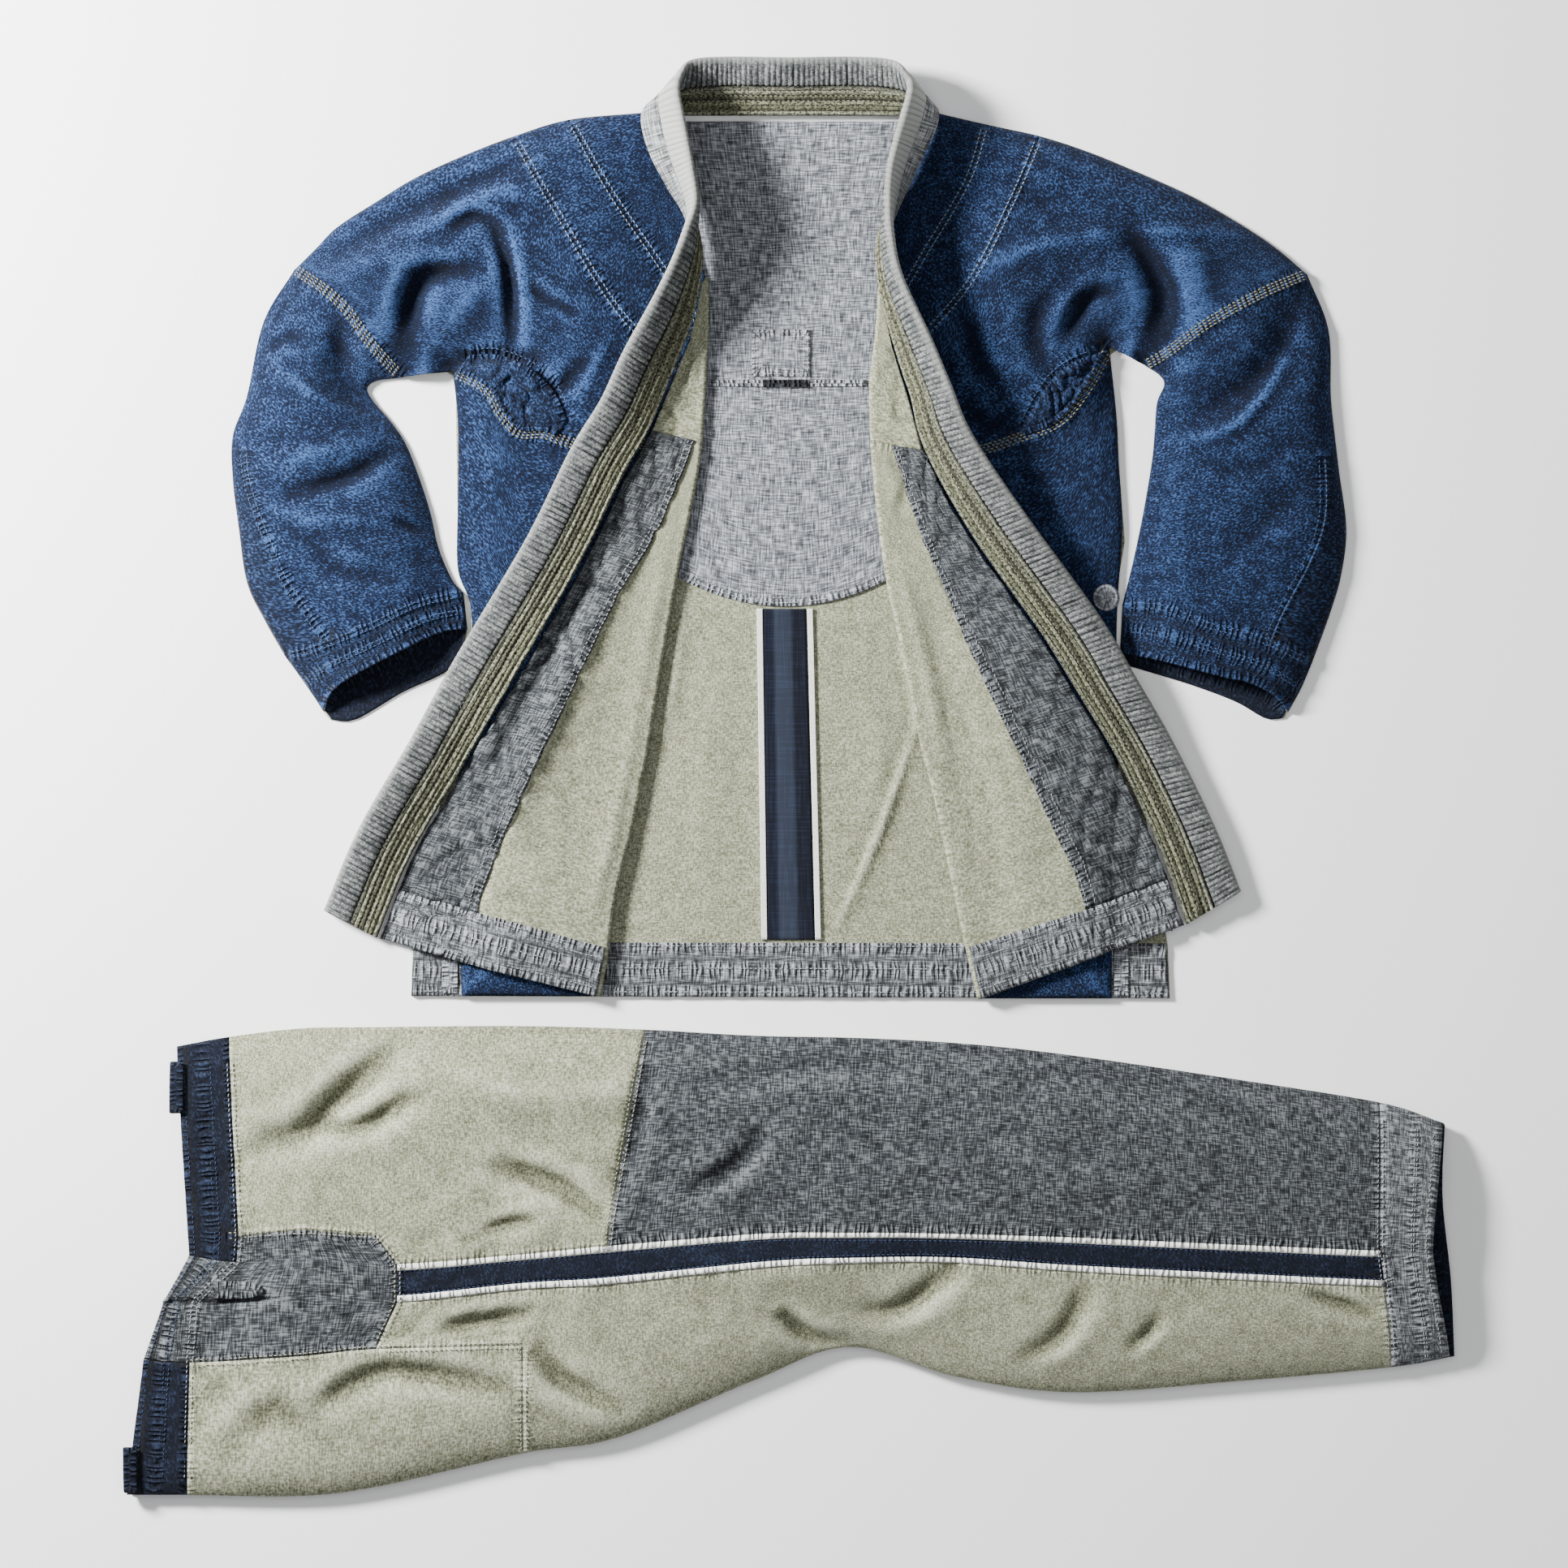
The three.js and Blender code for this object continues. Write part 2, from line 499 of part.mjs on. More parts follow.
// Counts of cells
const SLEEVE_ROWS = 13;
const CUFF_ROWS = 2;
const SLEEVE_TOP = 10;
const UNDER_POINTS = 5;
const FRONT_ROWS = 11;
const UNDER_CELLS = 8;

function buildSide(side, tag) {
  const top = (x, y) => bodyTop(x, y, side);

  // How far across the sleeve a line runs; the first two cells are the forearm panel.
  const shareAcross = (j, v) => {
    const panel = mix(side.forearm.narrow, side.forearm.wide, ease(side.forearm.from, 1, v));
    return j <= 2 ? (panel * j) / 2 : mix(panel, 1, (j - 2) / (SLEEVE_TOP - 2));
  };

  // Sleeve and cuff: rings that lie flat, the upper wall arched and the lower one on the table.
  const sleeve = between(byLength(side.sleeveSeam), byLength(side.cuffLine),
    byLength(side.sleeveOuter), byLength(side.sleeveInner));
  const cuffInner = [side.cuffLine, side.cuffEdge].map((line) => line[line.length - 1]);
  const cuffAbove = between(byLength(side.cuffLine), byLength(side.cuffEdge),
    byLength(side.cuffOuter), byLength(cuffInner));
  const below = side.cuffEdgeBelow;
  const cuffBelow = between(byLength(side.cuffLine), byLength(below),
    byLength([side.cuffLine[0], below[0]]),
    byLength([side.cuffLine[side.cuffLine.length - 1], below[below.length - 1]]));
  const forearmRow = Math.round(side.forearm.from * SLEEVE_ROWS);
  const sleeveGrid = makeGrid(SLEEVE_ROWS + CUFF_ROWS, SLEEVE_TOP + 1 + UNDER_POINTS, (i, j) => {
    const v = Math.min(i / SLEEVE_ROWS, 1);
    const inCuff = Math.max(i - SLEEVE_ROWS, 0) / CUFF_ROWS;
    if (j <= SLEEVE_TOP) {
      const u = shareAcross(j, v);
      const [x, y] = inCuff > 0 ? cuffAbove(u, inCuff) : sleeve(u, v);
      return j % SLEEVE_TOP === 0 ? [x, y, EDGE_TOP - 0.6] : [x, y, top(x, y), top];
    }
    const k = j - SLEEVE_TOP - 1;
    const u = 1 - (0.035 + (0.93 * k) / (UNDER_POINTS - 1));
    const [x, y] = inCuff > 0 ? cuffBelow(u, inCuff) : sleeve(u, v);
    return [x, y, 0];
  }, { ring: true, flip: side.sign > 0 });
  const inPanel = (i, j) => j < 2 && i >= forearmRow && i < SLEEVE_ROWS;
  cloth(`sleeve_${tag}`, sleeveGrid, (i, j) => i < SLEEVE_ROWS && !inPanel(i, j), -CLOTH, 0,
    COLOURS.denim, SLEEVE_INSET);
  cloth(`sleeve_forearm_panel_${tag}`, sleeveGrid, inPanel, -CLOTH, 0, COLOURS.denimDark,
    SLEEVE_INSET);
  cloth(`cuff_${tag}`, sleeveGrid, (i) => i >= SLEEVE_ROWS, -CLOTH, 0, COLOURS.denimDark);

  // Upper front with the yoke beside the neck and the strip over the shoulder. Its lines end on
  // the turned edge, then on the chest seam, then on the edge under the arm.
  const turn = TURN_GAP / 2;
  const roll = side.sign * (turn + CLOTH);
  const chest = byLength(side.chestSeam);
  const upperFold = byLength(side.upperFold);
  const seamTop = byLength(side.sleeveSeam);
  const armpit = [chest(0), side.sleeveSeam[side.sleeveSeam.length - 1]];
  const lineEnd = (j) => {
    if (j <= 6) return upperFold(j / 6).map((value, k) => (k === 0 ? value + roll : value));
    if (j <= 6 + UNDER_CELLS) return chest(1 - (j - 6) / UNDER_CELLS);
    return mixPoint(armpit[0], armpit[1], (j - 6 - UNDER_CELLS) / 2);
  };
  const lines = side.upperLines;
  const upperColumns = (lines.length - 1) * 2;
  const upperGrid = makeGrid(SLEEVE_TOP, upperColumns, (i, j) => {
    const v = i / SLEEVE_TOP;
    const line = [0, 1, 2].map((k) => through(lines.map((row) => row[k]), j / upperColumns));
    const [x, y] = j === upperColumns ? seamTop(shareAcross(i, 0))
      : through([...line, lineEnd(j)], v);
    return [x, y, top(x, y), top];
  }, { flip: side.sign < 0 });
  cloth(`neck_yoke_${tag}`, upperGrid, (i, j) => j < 2, -CLOTH, 0, COLOURS.denim, YOKE_INSET);
  cloth(`shoulder_strip_${tag}`, upperGrid, (i, j) => j >= 2 && j < 4, -CLOTH, 0,
    COLOURS.denim, YOKE_INSET);
  cloth(`front_upper_${tag}`, upperGrid, (i, j) => j >= 4, -CLOTH, 0, COLOURS.denim,
    CHEST_INSET);
  cloth(`gusset_${tag}`, upperGrid, (i, j) => j >= 8 && j < 11 && i >= 7 && i < 9,
    SEAM + 0.1, SEAM + 1.1, COLOURS.denimDark);

  // A front that is folded back on itself: from its own edge in to the fold, round it, and out
  // again over itself. It is given by its outer face; the cloth lies on the other side of it.
  // shares: how far out over the turned part, 1 at the facing's edge and 2 at the lapel's seam.
  const folded = (rows, underCells, lying, fold, shares, facing, seam) => (
    makeGrid(rows, underCells + 1 + shares.length, (i, j) => {
      const v = i / rows;
      const [foldX, foldY] = fold(v);
      const start = [foldX + roll, foldY];
      const level = top(...start);
      if (j < underCells) {
        const [x, y] = lying(j / underCells, v);
        return [x, y, top(x, y), top];
      }
      if (j === underCells) return [...start, level];
      if (j === underCells + 1) return [start[0] - side.sign * turn, start[1], level + turn];
      const share = shares[j - underCells - 2];
      const middle = facing(v);
      const end = seam(v);
      const length = Math.hypot(end[0] - middle[0], end[1] - middle[1]);
      const stop = mixPoint(end, middle, Math.min(LAPEL_INSIDE + SEAM, length / 2) / length);
      const [x, y] = share <= 1 ? mixPoint(start, middle, share)
        : mixPoint(middle, stop, share - 1);
      const far = ease(0, 40, Math.abs(x - start[0]));
      return [x, y, mix(level, restTop(x, y, side), far) + TURN_GAP];
    }, { flip: side.sign > 0 })
  );
  const foldLine = byLength(side.fold);
  const hem = (u) => mixPoint(side.side[side.side.length - 1], foldLine(1), u);
  const lyingPart = between(chest, hem, byLength(side.side), foldLine);
  const lower = folded(FRONT_ROWS, UNDER_CELLS, lyingPart, foldLine, [0, 0.5, 1, 1.33, 1.67, 2],
    byLength(side.facing), byLength(side.turnSeam));
  const lastRow = FRONT_ROWS - 1;
  cloth(`front_${tag}`, lower, () => true, -CLOTH, 0, COLOURS.denim);
  cloth(`front_facing_${tag}`, lower, (i, j) => j >= UNDER_CELLS + 4 && i < lastRow,
    -CLOTH - SEAM - TAPE, -CLOTH - SEAM, COLOURS.greyDark);
  cloth(`front_hem_band_${tag}`, lower, (i, j) => j >= UNDER_CELLS + 3 && i === lastRow,
    -CLOTH - SEAM - TAPE, -CLOTH - SEAM, COLOURS.grey);

  // Inside of the upper front, turned over beside the neck opening.
  const upperSeam = byLength(side.upperTurnSeam);
  const upperTurn = folded(4, 0, null, upperFold, [0, 1, 2],
    (v) => mixPoint(upperFold(v), upperSeam(v), 0.5), upperSeam);
  cloth(`front_upper_inside_${tag}`, upperTurn, () => true, -CLOTH, 0, COLOURS.cream,
    SEAM);
}

buildSide(LEFT, 'left');
buildSide(RIGHT, 'right');

// Lapel and collar: one stiff band. Where its seam and rim are closer together than its width, it
// stands up on its seam, and it lies on what is below it elsewhere.
const lapelRows = LAPEL.map(([x, y, rimX, rimY], k) => {
  const [before, after] = [LAPEL[Math.max(k - 1, 0)], LAPEL[Math.min(k + 1, LAPEL.length - 1)]];
  const along = [after[0] + after[2] - before[0] - before[2],
    after[1] + after[3] - before[1] - before[3]];
  const wide = Math.hypot(rimX - x, rimY - y);
  const turned = Math.sign(along[0] * (rimY - y) - along[1] * (rimX - x));
  const up = turned * Math.min(wide / LAPEL_WIDTH, 1);
  const side = x < 0 ? LEFT : RIGHT;
  const below = Math.max(restTop(x, y, side), restTop(x + 8 * side.sign, y, side));
  const thick = Math.max(LAPEL_OUTSIDE * up, -LAPEL_INSIDE * up);
  const foot = below + 1.5 + 3.6 * (1 - Math.abs(up)) + thick;
  const rise = Math.sqrt(Math.max(LAPEL_WIDTH ** 2 - wide ** 2, 4));
  const lying = restTop(rimX, rimY, side) + 2.5 + LAPEL_OUTSIDE * Math.max(up, 0);
  return [x, y, foot, rimX, rimY, Math.max(foot + rise, lying)];
});
function lapelFrame(t) {
  const at = (row) => through(lapelRows, row / (lapelRows.length - 1));
  const here = at(t);
  const seam = new THREE.Vector3(...here.slice(0, 3));
  const across = new THREE.Vector3(...here.slice(3)).sub(seam);
  const [a, b] = [at(Math.max(t - 0.2, 0)), at(Math.min(t + 0.2, lapelRows.length - 1))];
  const along = new THREE.Vector3(...[0, 1, 2].map((k) => b[k] + b[k + 3] - a[k] - a[k + 3]));
  return { seam, across, out: along.cross(across).normalize() };
}
// Sections of the band. Columns: share of the way from the seam to the rim, height over the line
// between them (inner face above, outer face below).
const stripedSection = [];
for (let k = 0; k <= 8; k += 1) {
  stripedSection.push([mix(0.008, STRIPED_PART - 0.003, k / 8), k % 2 ? 1 : LAPEL_INSIDE]);
}
stripedSection.push([STRIPED_PART - 0.003, -LAPEL_OUTSIDE], [0.06, -LAPEL_OUTSIDE],
  [0.008, 1.6 - LAPEL_OUTSIDE]);
const rimSection = [[STRIPED_PART + 0.003, -LAPEL_OUTSIDE], [0.74, -LAPEL_OUTSIDE], [0.91, -6.6],
  [0.99, -4.4], [1, -1.4], [0.93, 1.6], [0.78, 2.8], [STRIPED_PART + 0.003, 2.2]];

function loft(name, section, from, to, steps, colour) {
  const points = [];
  for (let k = 0; k <= steps; k += 1) {
    const { seam, across, out } = lapelFrame(mix(from, to, k / steps));
    for (const [share, height] of section) {
      points.push(seam.clone().addScaledVector(across, share).addScaledVector(out, height)
        .toArray());
    }
  }
  const size = section.length;
  const faces = [];
  for (let k = 0; k < steps; k += 1) {
    for (let m = 0; m < size; m += 1) {
      const [a, b] = [k * size + m, k * size + ((m + 1) % size)];
      faces.push(a, a + size, b + size, a, b + size, b);
    }
  }
  const flat = section.map(([share, height]) => new THREE.Vector2(share * LAPEL_WIDTH, height));
  const last = steps * size;
  for (const [a, b, c] of fill(flat)) faces.push(a, b, c, last + a, last + c, last + b);
  addMesh(name, points, faces, colour);
}
const lastLapel = LAPEL.length - 1;
for (const [name, from, to, steps] of [
  ['lapel_left', 0, LAPEL_LEFT_END - 0.008, 22],
  ['collar', LAPEL_LEFT_END + 0.008, LAPEL_RIGHT_START - 0.008, 24],
  ['lapel_right', LAPEL_RIGHT_START + 0.008, lastLapel, 22],
]) {
  loft(`${name}_striped`, stripedSection, from, to, steps, COLOURS.rows);
  loft(`${name}_rim`, rimSection, from, to, steps, COLOURS.rib);
}

// Trousers: the lower half is one layered solid, and the upper leg is a flat tube on top of it.
const legLine = (s, column) => through(LEG.map(({ at }) => at[column]), s / (LEG.length - 1));
const legStations = [];
const rowOf = {};
LEG.forEach(({ cells, name }, k) => {
  for (let m = 1; m <= cells; m += 1) legStations.push(k - 1 + m / cells);
  if (k === 0) legStations.push(0);
  rowOf[name] = legStations.length - 1;
});
const LEG_BASE = HALF_THICK + SEAM;
const legOutline = [
  ...legStations.map((s) => legLine(s, 0)),
  ...reversed(legStations).map((s) => legLine(s, 5)),
];

function legTop(x, y) {
  const ends = legStations.length;
  const away = nearestOf(x, y, [legOutline.slice(0, ends), legOutline.slice(ends)]);
  const waist = nearest(x, y, LEG[0].at)[0];
  const rise = 1 - Math.exp(-away / 24);
  const loft = TROUSER_LOFT * mix(0.5, 1, ease(0, HIP_REACH, waist));
  return LEG_BASE + 3.4 + loft * rise + foldHeight(x, y, trouserFolds) * rise;
}

// Cells across the leg between the named columns of LEG, and where each of those columns is.
const ACROSS = [];
const columnAt = [0];
const SHARES_ACROSS = [
  [0, 0.04, 0.2, 0.36, 0.52, 0.68, 0.84],
  [0],
  [0, PIPING / STRIPE_WIDTH, 1 - PIPING / STRIPE_WIDTH],
  [0, 0.5],
  [0, 0.33, 0.63, 0.88],
];
SHARES_ACROSS.forEach((shares, zone) => {
  for (const share of shares) ACROSS.push([zone, share]);
  columnAt.push(ACROSS.length);
});
ACROSS.push([4, 1]);
const [, PATCH_TOP, STRIPE_HIGH, STRIPE_LOW, PATCH_LOW, LEG_LOW] = columnAt;
const legRows = legStations.length - 1;
const legGrid = makeGrid(legRows, ACROSS.length + UNDER_POINTS, (i, j) => {
  const s = legStations[i];
  if (j < ACROSS.length) {
    const [zone, share] = ACROSS[j];
    const [x, y] = mixPoint(legLine(s, zone), legLine(s, zone + 1), share);
    return j === 0 || j === LEG_LOW ? [x, y, LEG_BASE + 2.8] : [x, y, legTop(x, y), legTop];
  }
  const share = mix(0.965, 0.035, (j - ACROSS.length) / (UNDER_POINTS - 1));
  const [x, y] = i === legRows ? byLength(LEG_HEM_BELOW)(share)
    : mixPoint(legLine(s, 0), legLine(s, 5), share);
  return [x, y, LEG_BASE];
}, { ring: true, flip: true });
const endOf = { band: rowOf.waistband, patch: rowOf['patch end'], seat: rowOf['seat end'],
  knee: rowOf['knee start'], hem: rowOf['hem band'] };
const onUnderside = (j) => j >= LEG_LOW;
const UNDER_MIDDLE = LEG_LOW + 3;
for (const [name, colour, wanted] of [
  ['waistband_front', 'navy', (i, j) => i < endOf.band && (j < STRIPE_HIGH || j >= UNDER_MIDDLE)],
  ['waistband_back', 'navy', (i, j) => i < endOf.band && j >= PATCH_LOW && j < UNDER_MIDDLE],
  ['hip_patch', 'greyDark', (i, j) => j < PATCH_LOW
    && (i < endOf.band ? j >= STRIPE_HIGH : i < endOf.patch && j >= PATCH_TOP)],
  ['seat_patch', 'cream', (i, j) => i >= endOf.band && i < endOf.seat && j >= PATCH_LOW
    && !onUnderside(j)],
  ['trouser_front', 'cream', (i, j) => i >= endOf.band && i < endOf.knee
    && (j < PATCH_TOP || (j < STRIPE_HIGH && i >= endOf.patch))],
  ['knee_panel', 'greyDark', (i, j) => i >= endOf.knee && i < endOf.hem && j < STRIPE_HIGH],
  ['side_stripe', 'navy', (i, j) => i >= endOf.patch && i < endOf.hem && j === STRIPE_HIGH + 1],
  ['side_piping_above', 'white', (i, j) => i >= endOf.patch && i < endOf.hem && j === STRIPE_HIGH],
  ['side_piping_below', 'white', (i, j) => i >= endOf.patch && i < endOf.hem
    && j === STRIPE_HIGH + 2],
  ['trouser_back', 'cream', (i, j) => i < endOf.hem && (onUnderside(j) ? i >= endOf.band
    : j >= STRIPE_LOW && i >= endOf.patch && !(i < endOf.seat && j >= PATCH_LOW))],
  ['leg_hem_band', 'grey', (i) => i >= endOf.hem],
]) {
  const raised = name.startsWith('side_piping') ? PIPING_RAISED : 0;
  cloth(name, legGrid, wanted, -TROUSER_CLOTH, raised, COLOURS[colour]);
}

// The lower half: rows give the height and how far the outline is drawn in, so that its edge
// shows as two layers of cloth.
function layered(name, outline, levels, colour) {
  const size = outline.length;
  const points = [];
  for (const [z, inset] of levels) {
    outline.forEach(([x, y], k) => {
      const [[ax, ay], [bx, by]] = [outline[(k + size - 1) % size], outline[(k + 1) % size]];
      const length = Math.hypot(bx - ax, by - ay);
      points.push([x + ((by - ay) / length) * inset, y - ((bx - ax) / length) * inset, z]);
    });
  }
  const faces = [];
  for (let m = 0; m < levels.length - 1; m += 1) {
    for (let k = 0; k < size; k += 1) {
      const [a, b] = [m * size + k, m * size + ((k + 1) % size)];
      faces.push(a, a + size, b + size, a, b + size, b);
    }
  }
  const last = (levels.length - 1) * size;
  const ring = points.slice(0, size).map(([x, y]) => new THREE.Vector2(x, y));
  for (const [a, b, c] of fill(ring)) faces.push(a, b, c, last + a, last + c, last + b);
  addMesh(name, points, faces, colour);
}
layered('trouser_lower_half', legOutline, [[0, 3.5], [1.7, 2], [3.4, 4.5], [5.1, 2],
  [HALF_THICK, 3.5]], COLOURS.cream);

// Small pieces on the trousers, each a short strip that follows the cloth below it: the tab at
// the side slit and two belt loops at the waist.
for (const [name, x, y, length, height, colour] of [
  ['waist_tab', -484, -434, 44, 14, COLOURS.greyDark],
  ['belt_loop_front', -519, -279, 11, 42, COLOURS.navy],
  ['belt_loop_back', -558, -597, 11, 38, COLOURS.navy],
]) {
  const strip = makeGrid(6, 3, (i, j) => {
    const round = name === 'waist_tab' ? Math.sqrt(1 - ease(2, 6.6, i) ** 2) : 1;
    const [px, py] = [x + (length * i) / 6, y + height * (0.5 + (j / 3 - 0.5) * round)];
    return [px, py, legTop(px, py), legTop];
  });
  cloth(name, strip, () => true, ON_LEG, ON_LEG + TAPE, colour);
}

// Plain round badge on the right front.
const badgeOutline = [...Array(16).keys()].map((k) => [
  BADGE_AT[0] + BADGE_RADIUS * Math.cos((k * Math.PI) / 8),
  BADGE_AT[1] + BADGE_RADIUS * Math.sin((k * Math.PI) / 8)]);
const badgeLow = bodyTop(BADGE_AT[0] - 8, BADGE_AT[1], RIGHT) + 1;
flatPiece('round_badge', badgeOutline, badgeLow, badgeLow + 1, COLOURS.rib);

export default group;
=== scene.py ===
# %% [markdown]
# A jiu-jitsu gi laid out flat. The jacket lies on its back with both fronts turned open, and the
# trousers lie below it, folded in half. The CAD model gives each cloth piece its place and its
# main shape. This lesson dresses each piece in a finer shell, with folds, seams, ribs and
# stitches, and gives each cloth its own woven finish. Loading the frame comes first, because
# every shell below has to lie where its CAD piece lies.

# %% Load the CAD frame
import json
import math

import bpy
import numpy as np
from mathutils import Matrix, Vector

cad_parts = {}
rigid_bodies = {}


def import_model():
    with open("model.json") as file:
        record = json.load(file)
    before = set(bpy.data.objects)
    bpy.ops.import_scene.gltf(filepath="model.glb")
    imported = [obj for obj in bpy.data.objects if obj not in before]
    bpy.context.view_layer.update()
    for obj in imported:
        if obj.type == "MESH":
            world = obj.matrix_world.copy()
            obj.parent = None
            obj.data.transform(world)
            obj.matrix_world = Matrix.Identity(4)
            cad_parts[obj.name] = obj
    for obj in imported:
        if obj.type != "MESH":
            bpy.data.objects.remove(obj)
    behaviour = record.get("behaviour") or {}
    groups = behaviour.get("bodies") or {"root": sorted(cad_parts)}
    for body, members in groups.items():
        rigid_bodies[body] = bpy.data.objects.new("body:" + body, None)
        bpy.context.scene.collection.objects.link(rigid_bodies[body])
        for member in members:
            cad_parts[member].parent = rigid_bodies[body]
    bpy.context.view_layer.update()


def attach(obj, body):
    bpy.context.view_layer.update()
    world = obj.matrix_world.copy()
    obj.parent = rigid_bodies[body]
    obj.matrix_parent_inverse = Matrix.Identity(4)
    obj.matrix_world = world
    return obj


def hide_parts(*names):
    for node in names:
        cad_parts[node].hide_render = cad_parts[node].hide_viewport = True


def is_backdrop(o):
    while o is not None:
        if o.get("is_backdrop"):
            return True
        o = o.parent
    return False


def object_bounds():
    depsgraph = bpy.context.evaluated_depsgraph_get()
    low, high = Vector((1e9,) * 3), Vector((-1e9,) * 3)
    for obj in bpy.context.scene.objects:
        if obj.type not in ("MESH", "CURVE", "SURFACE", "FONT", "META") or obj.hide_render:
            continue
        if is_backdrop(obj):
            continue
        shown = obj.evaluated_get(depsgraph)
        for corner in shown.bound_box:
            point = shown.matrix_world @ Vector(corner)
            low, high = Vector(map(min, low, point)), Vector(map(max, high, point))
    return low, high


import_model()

# %% [markdown]
# The gi was seen from straight above. A long lens far away keeps all of it the same size, as a
# flat lay needs, and a perspective camera can still be moved round the gi afterwards. One pixel
# of a 1932 pixel wide picture is 0.68 mm on the table.

# %% Camera straight above
PICTURE_PIXELS = 1932
MM_PER_PIXEL = 0.68
MIDDLE = (-5.1, -4.1)          # what the middle of the picture looks at, in mm
LENS = 130.0
SENSOR = 36.0
SCALE_HEIGHT = 0.012           # metres above the table at which the scale is exact
MM = 0.001

camera_data = bpy.data.cameras.new("flat_lay_camera")
camera_data.lens = LENS
camera_data.sensor_width = SENSOR
camera = bpy.data.objects.new("flat_lay_camera", camera_data)
bpy.context.scene.collection.objects.link(camera)
half_picture = PICTURE_PIXELS * MM_PER_PIXEL * MM / 2
camera_height = half_picture / (SENSOR / 2 / LENS) + SCALE_HEIGHT
camera.location = (MIDDLE[0] * MM, MIDDLE[1] * MM, camera_height)
bpy.context.scene.camera = camera
print(f"camera {camera_height:.2f} m above the table")

# %% [markdown]
# Cloth shows its folds only when light falls across it. One lamp half a metre wide stands low
# on the left, so that every ridge has a lit side and a shaded side, and the lapel throws its
# shadow to the right. Two weak, wide ones and a pale sky fill the shadows.

# %% Soft studio light
# Columns: name, place, energy in watts, size in metres.
LAMPS = [
    ("key_lamp", (-1.9, 1.0, 1.2), 290, 0.5),
    ("fill_lamp", (1.5, -0.6, 2.2), 10, 2.0),
    ("top_lamp", (0.0, 0.3, 3.0), 30, 2.4),
]
for name, place, energy, size in LAMPS:
    lamp = bpy.data.lights.new(name, "AREA")
    lamp.energy, lamp.size = energy, size
    lamp_object = bpy.data.objects.new(name, lamp)
    lamp_object.location = place
    aim = -np.array(place)
    lamp_object.rotation_mode = "QUATERNION"
    lamp_object.rotation_quaternion = Vector(aim).to_track_quat("-Z", "Y")
    bpy.context.scene.collection.objects.link(lamp_object)

world = bpy.data.worlds.new("pale_room")
world.use_nodes = True
world.node_tree.nodes["Background"].inputs["Color"].default_value = (0.92, 0.95, 1.0, 1)
world.node_tree.nodes["Background"].inputs["Strength"].default_value = 0.23
bpy.context.scene.world = world
print(len(LAMPS), "lamps")

# %% [markdown]
# The pattern. A tailor draws each piece as a few lines on paper, and so does this lesson: each
# line is a short list of points in millimetres, +X to the right and +Y up as seen from above.
# They are the lines of the CAD model, so a shell made from them covers its CAD piece.

# %% Pattern lines of the jacket's left side
LEFT = {
    "sign": -1,
    "shoulder": [[-121, 560], [-185, 554], [-232, 540], [-276, 523], [-315, 505], [-346, 486],
                 [-380, 464], [-416, 428]],
    "sleeve_seam": [[-416, 428], [-386, 407], [-368, 389], [-352, 366], [-326, 337]],
    "sleeve_outer": [[-416, 428], [-442, 384], [-456, 322], [-468, 288], [-468, 252],
                     [-463, 211], [-456, 165], [-441, 133], [-424, 103]],
    "sleeve_inner": [[-326, 337], [-348, 334], [-355, 327], [-349, 316], [-336, 301],
                     [-323, 282], [-312, 255], [-302, 224], [-295, 194], [-284, 168],
                     [-274, 156]],
    "cuff_line": [[-424, 103], [-398, 109], [-352, 127], [-312, 146], [-274, 156]],
    "cuff_edge": [[-392, 57], [-378, 78], [-331, 104], [-294, 122], [-271, 126]],
    "cuff_edge_below": [[-387, 50], [-365, 50], [-325, 73], [-289, 90], [-274, 108]],
    "cuff_outer": [[-424, 103], [-407, 80], [-392, 57]],
    "forearm_from": 0.47, "forearm_narrow": 0.08, "forearm_wide": 0.26,
    "chest_seam": [[-283, 342], [-254, 326], [-242, 306], [-227, 290], [-206, 289],
                   [-176, 280], [-120, 281], [-73, 283]],
    "side": [[-283, 342], [-279, 298], [-279, 233], [-279, 177], [-268, 143], [-268, 82],
             [-278, 41], [-278, -27], [-277, -95], [-276, -182]],
    "fold": [[-73, 283], [-79, 245], [-93, 177], [-107, 99], [-120, 20], [-133, -44],
             [-146, -97], [-153, -150], [-159, -182]],
    "upper_fold": [[-68, 420], [-68, 381], [-70, 333], [-73, 283]],
    "facing": [[-80, 284], [-110, 211], [-145, 154], [-183, 75], [-209, 20], [-237, -44],
               [-258, -99], [-268, -155]],
    "turn_seam": [[-118, 292], [-140, 252], [-177, 177], [-237, 73], [-274, 10], [-318, -65],
                  [-346, -133]],
    "upper_turn_seam": [[-76, 415], [-84, 377], [-101, 333], [-118, 292]],
    "back_side": [[-283, 342], [-279, 205], [-268, 158], [-268, 88], [-281, 41], [-302, -61],
                  [-317, -146], [-318, -182]],
    "armpit": [[-281, 340], [-314, 352]],
    # Lines of the upper front from the shoulder down: neck, yoke seam, strip seam, two on the
    # chest, two by the gusset, armhole, sleeve seam.
    "upper_lines": [
        [[-121, 560], [-107, 510], [-84, 466]], [[-185, 554], [-151, 493], [-108, 430]],
        [[-232, 540], [-198, 480], [-140, 388]], [[-276, 523], [-226, 452], [-158, 364]],
        [[-315, 505], [-262, 446], [-186, 360]], [[-346, 486], [-292, 434], [-214, 364]],
        [[-380, 464], [-324, 424], [-246, 376]], [[-398, 446], [-350, 414], [-294, 382]],
        [[-416, 428], [-386, 407], [-352, 366]]],
}
print("left side:", len(LEFT), "entries")

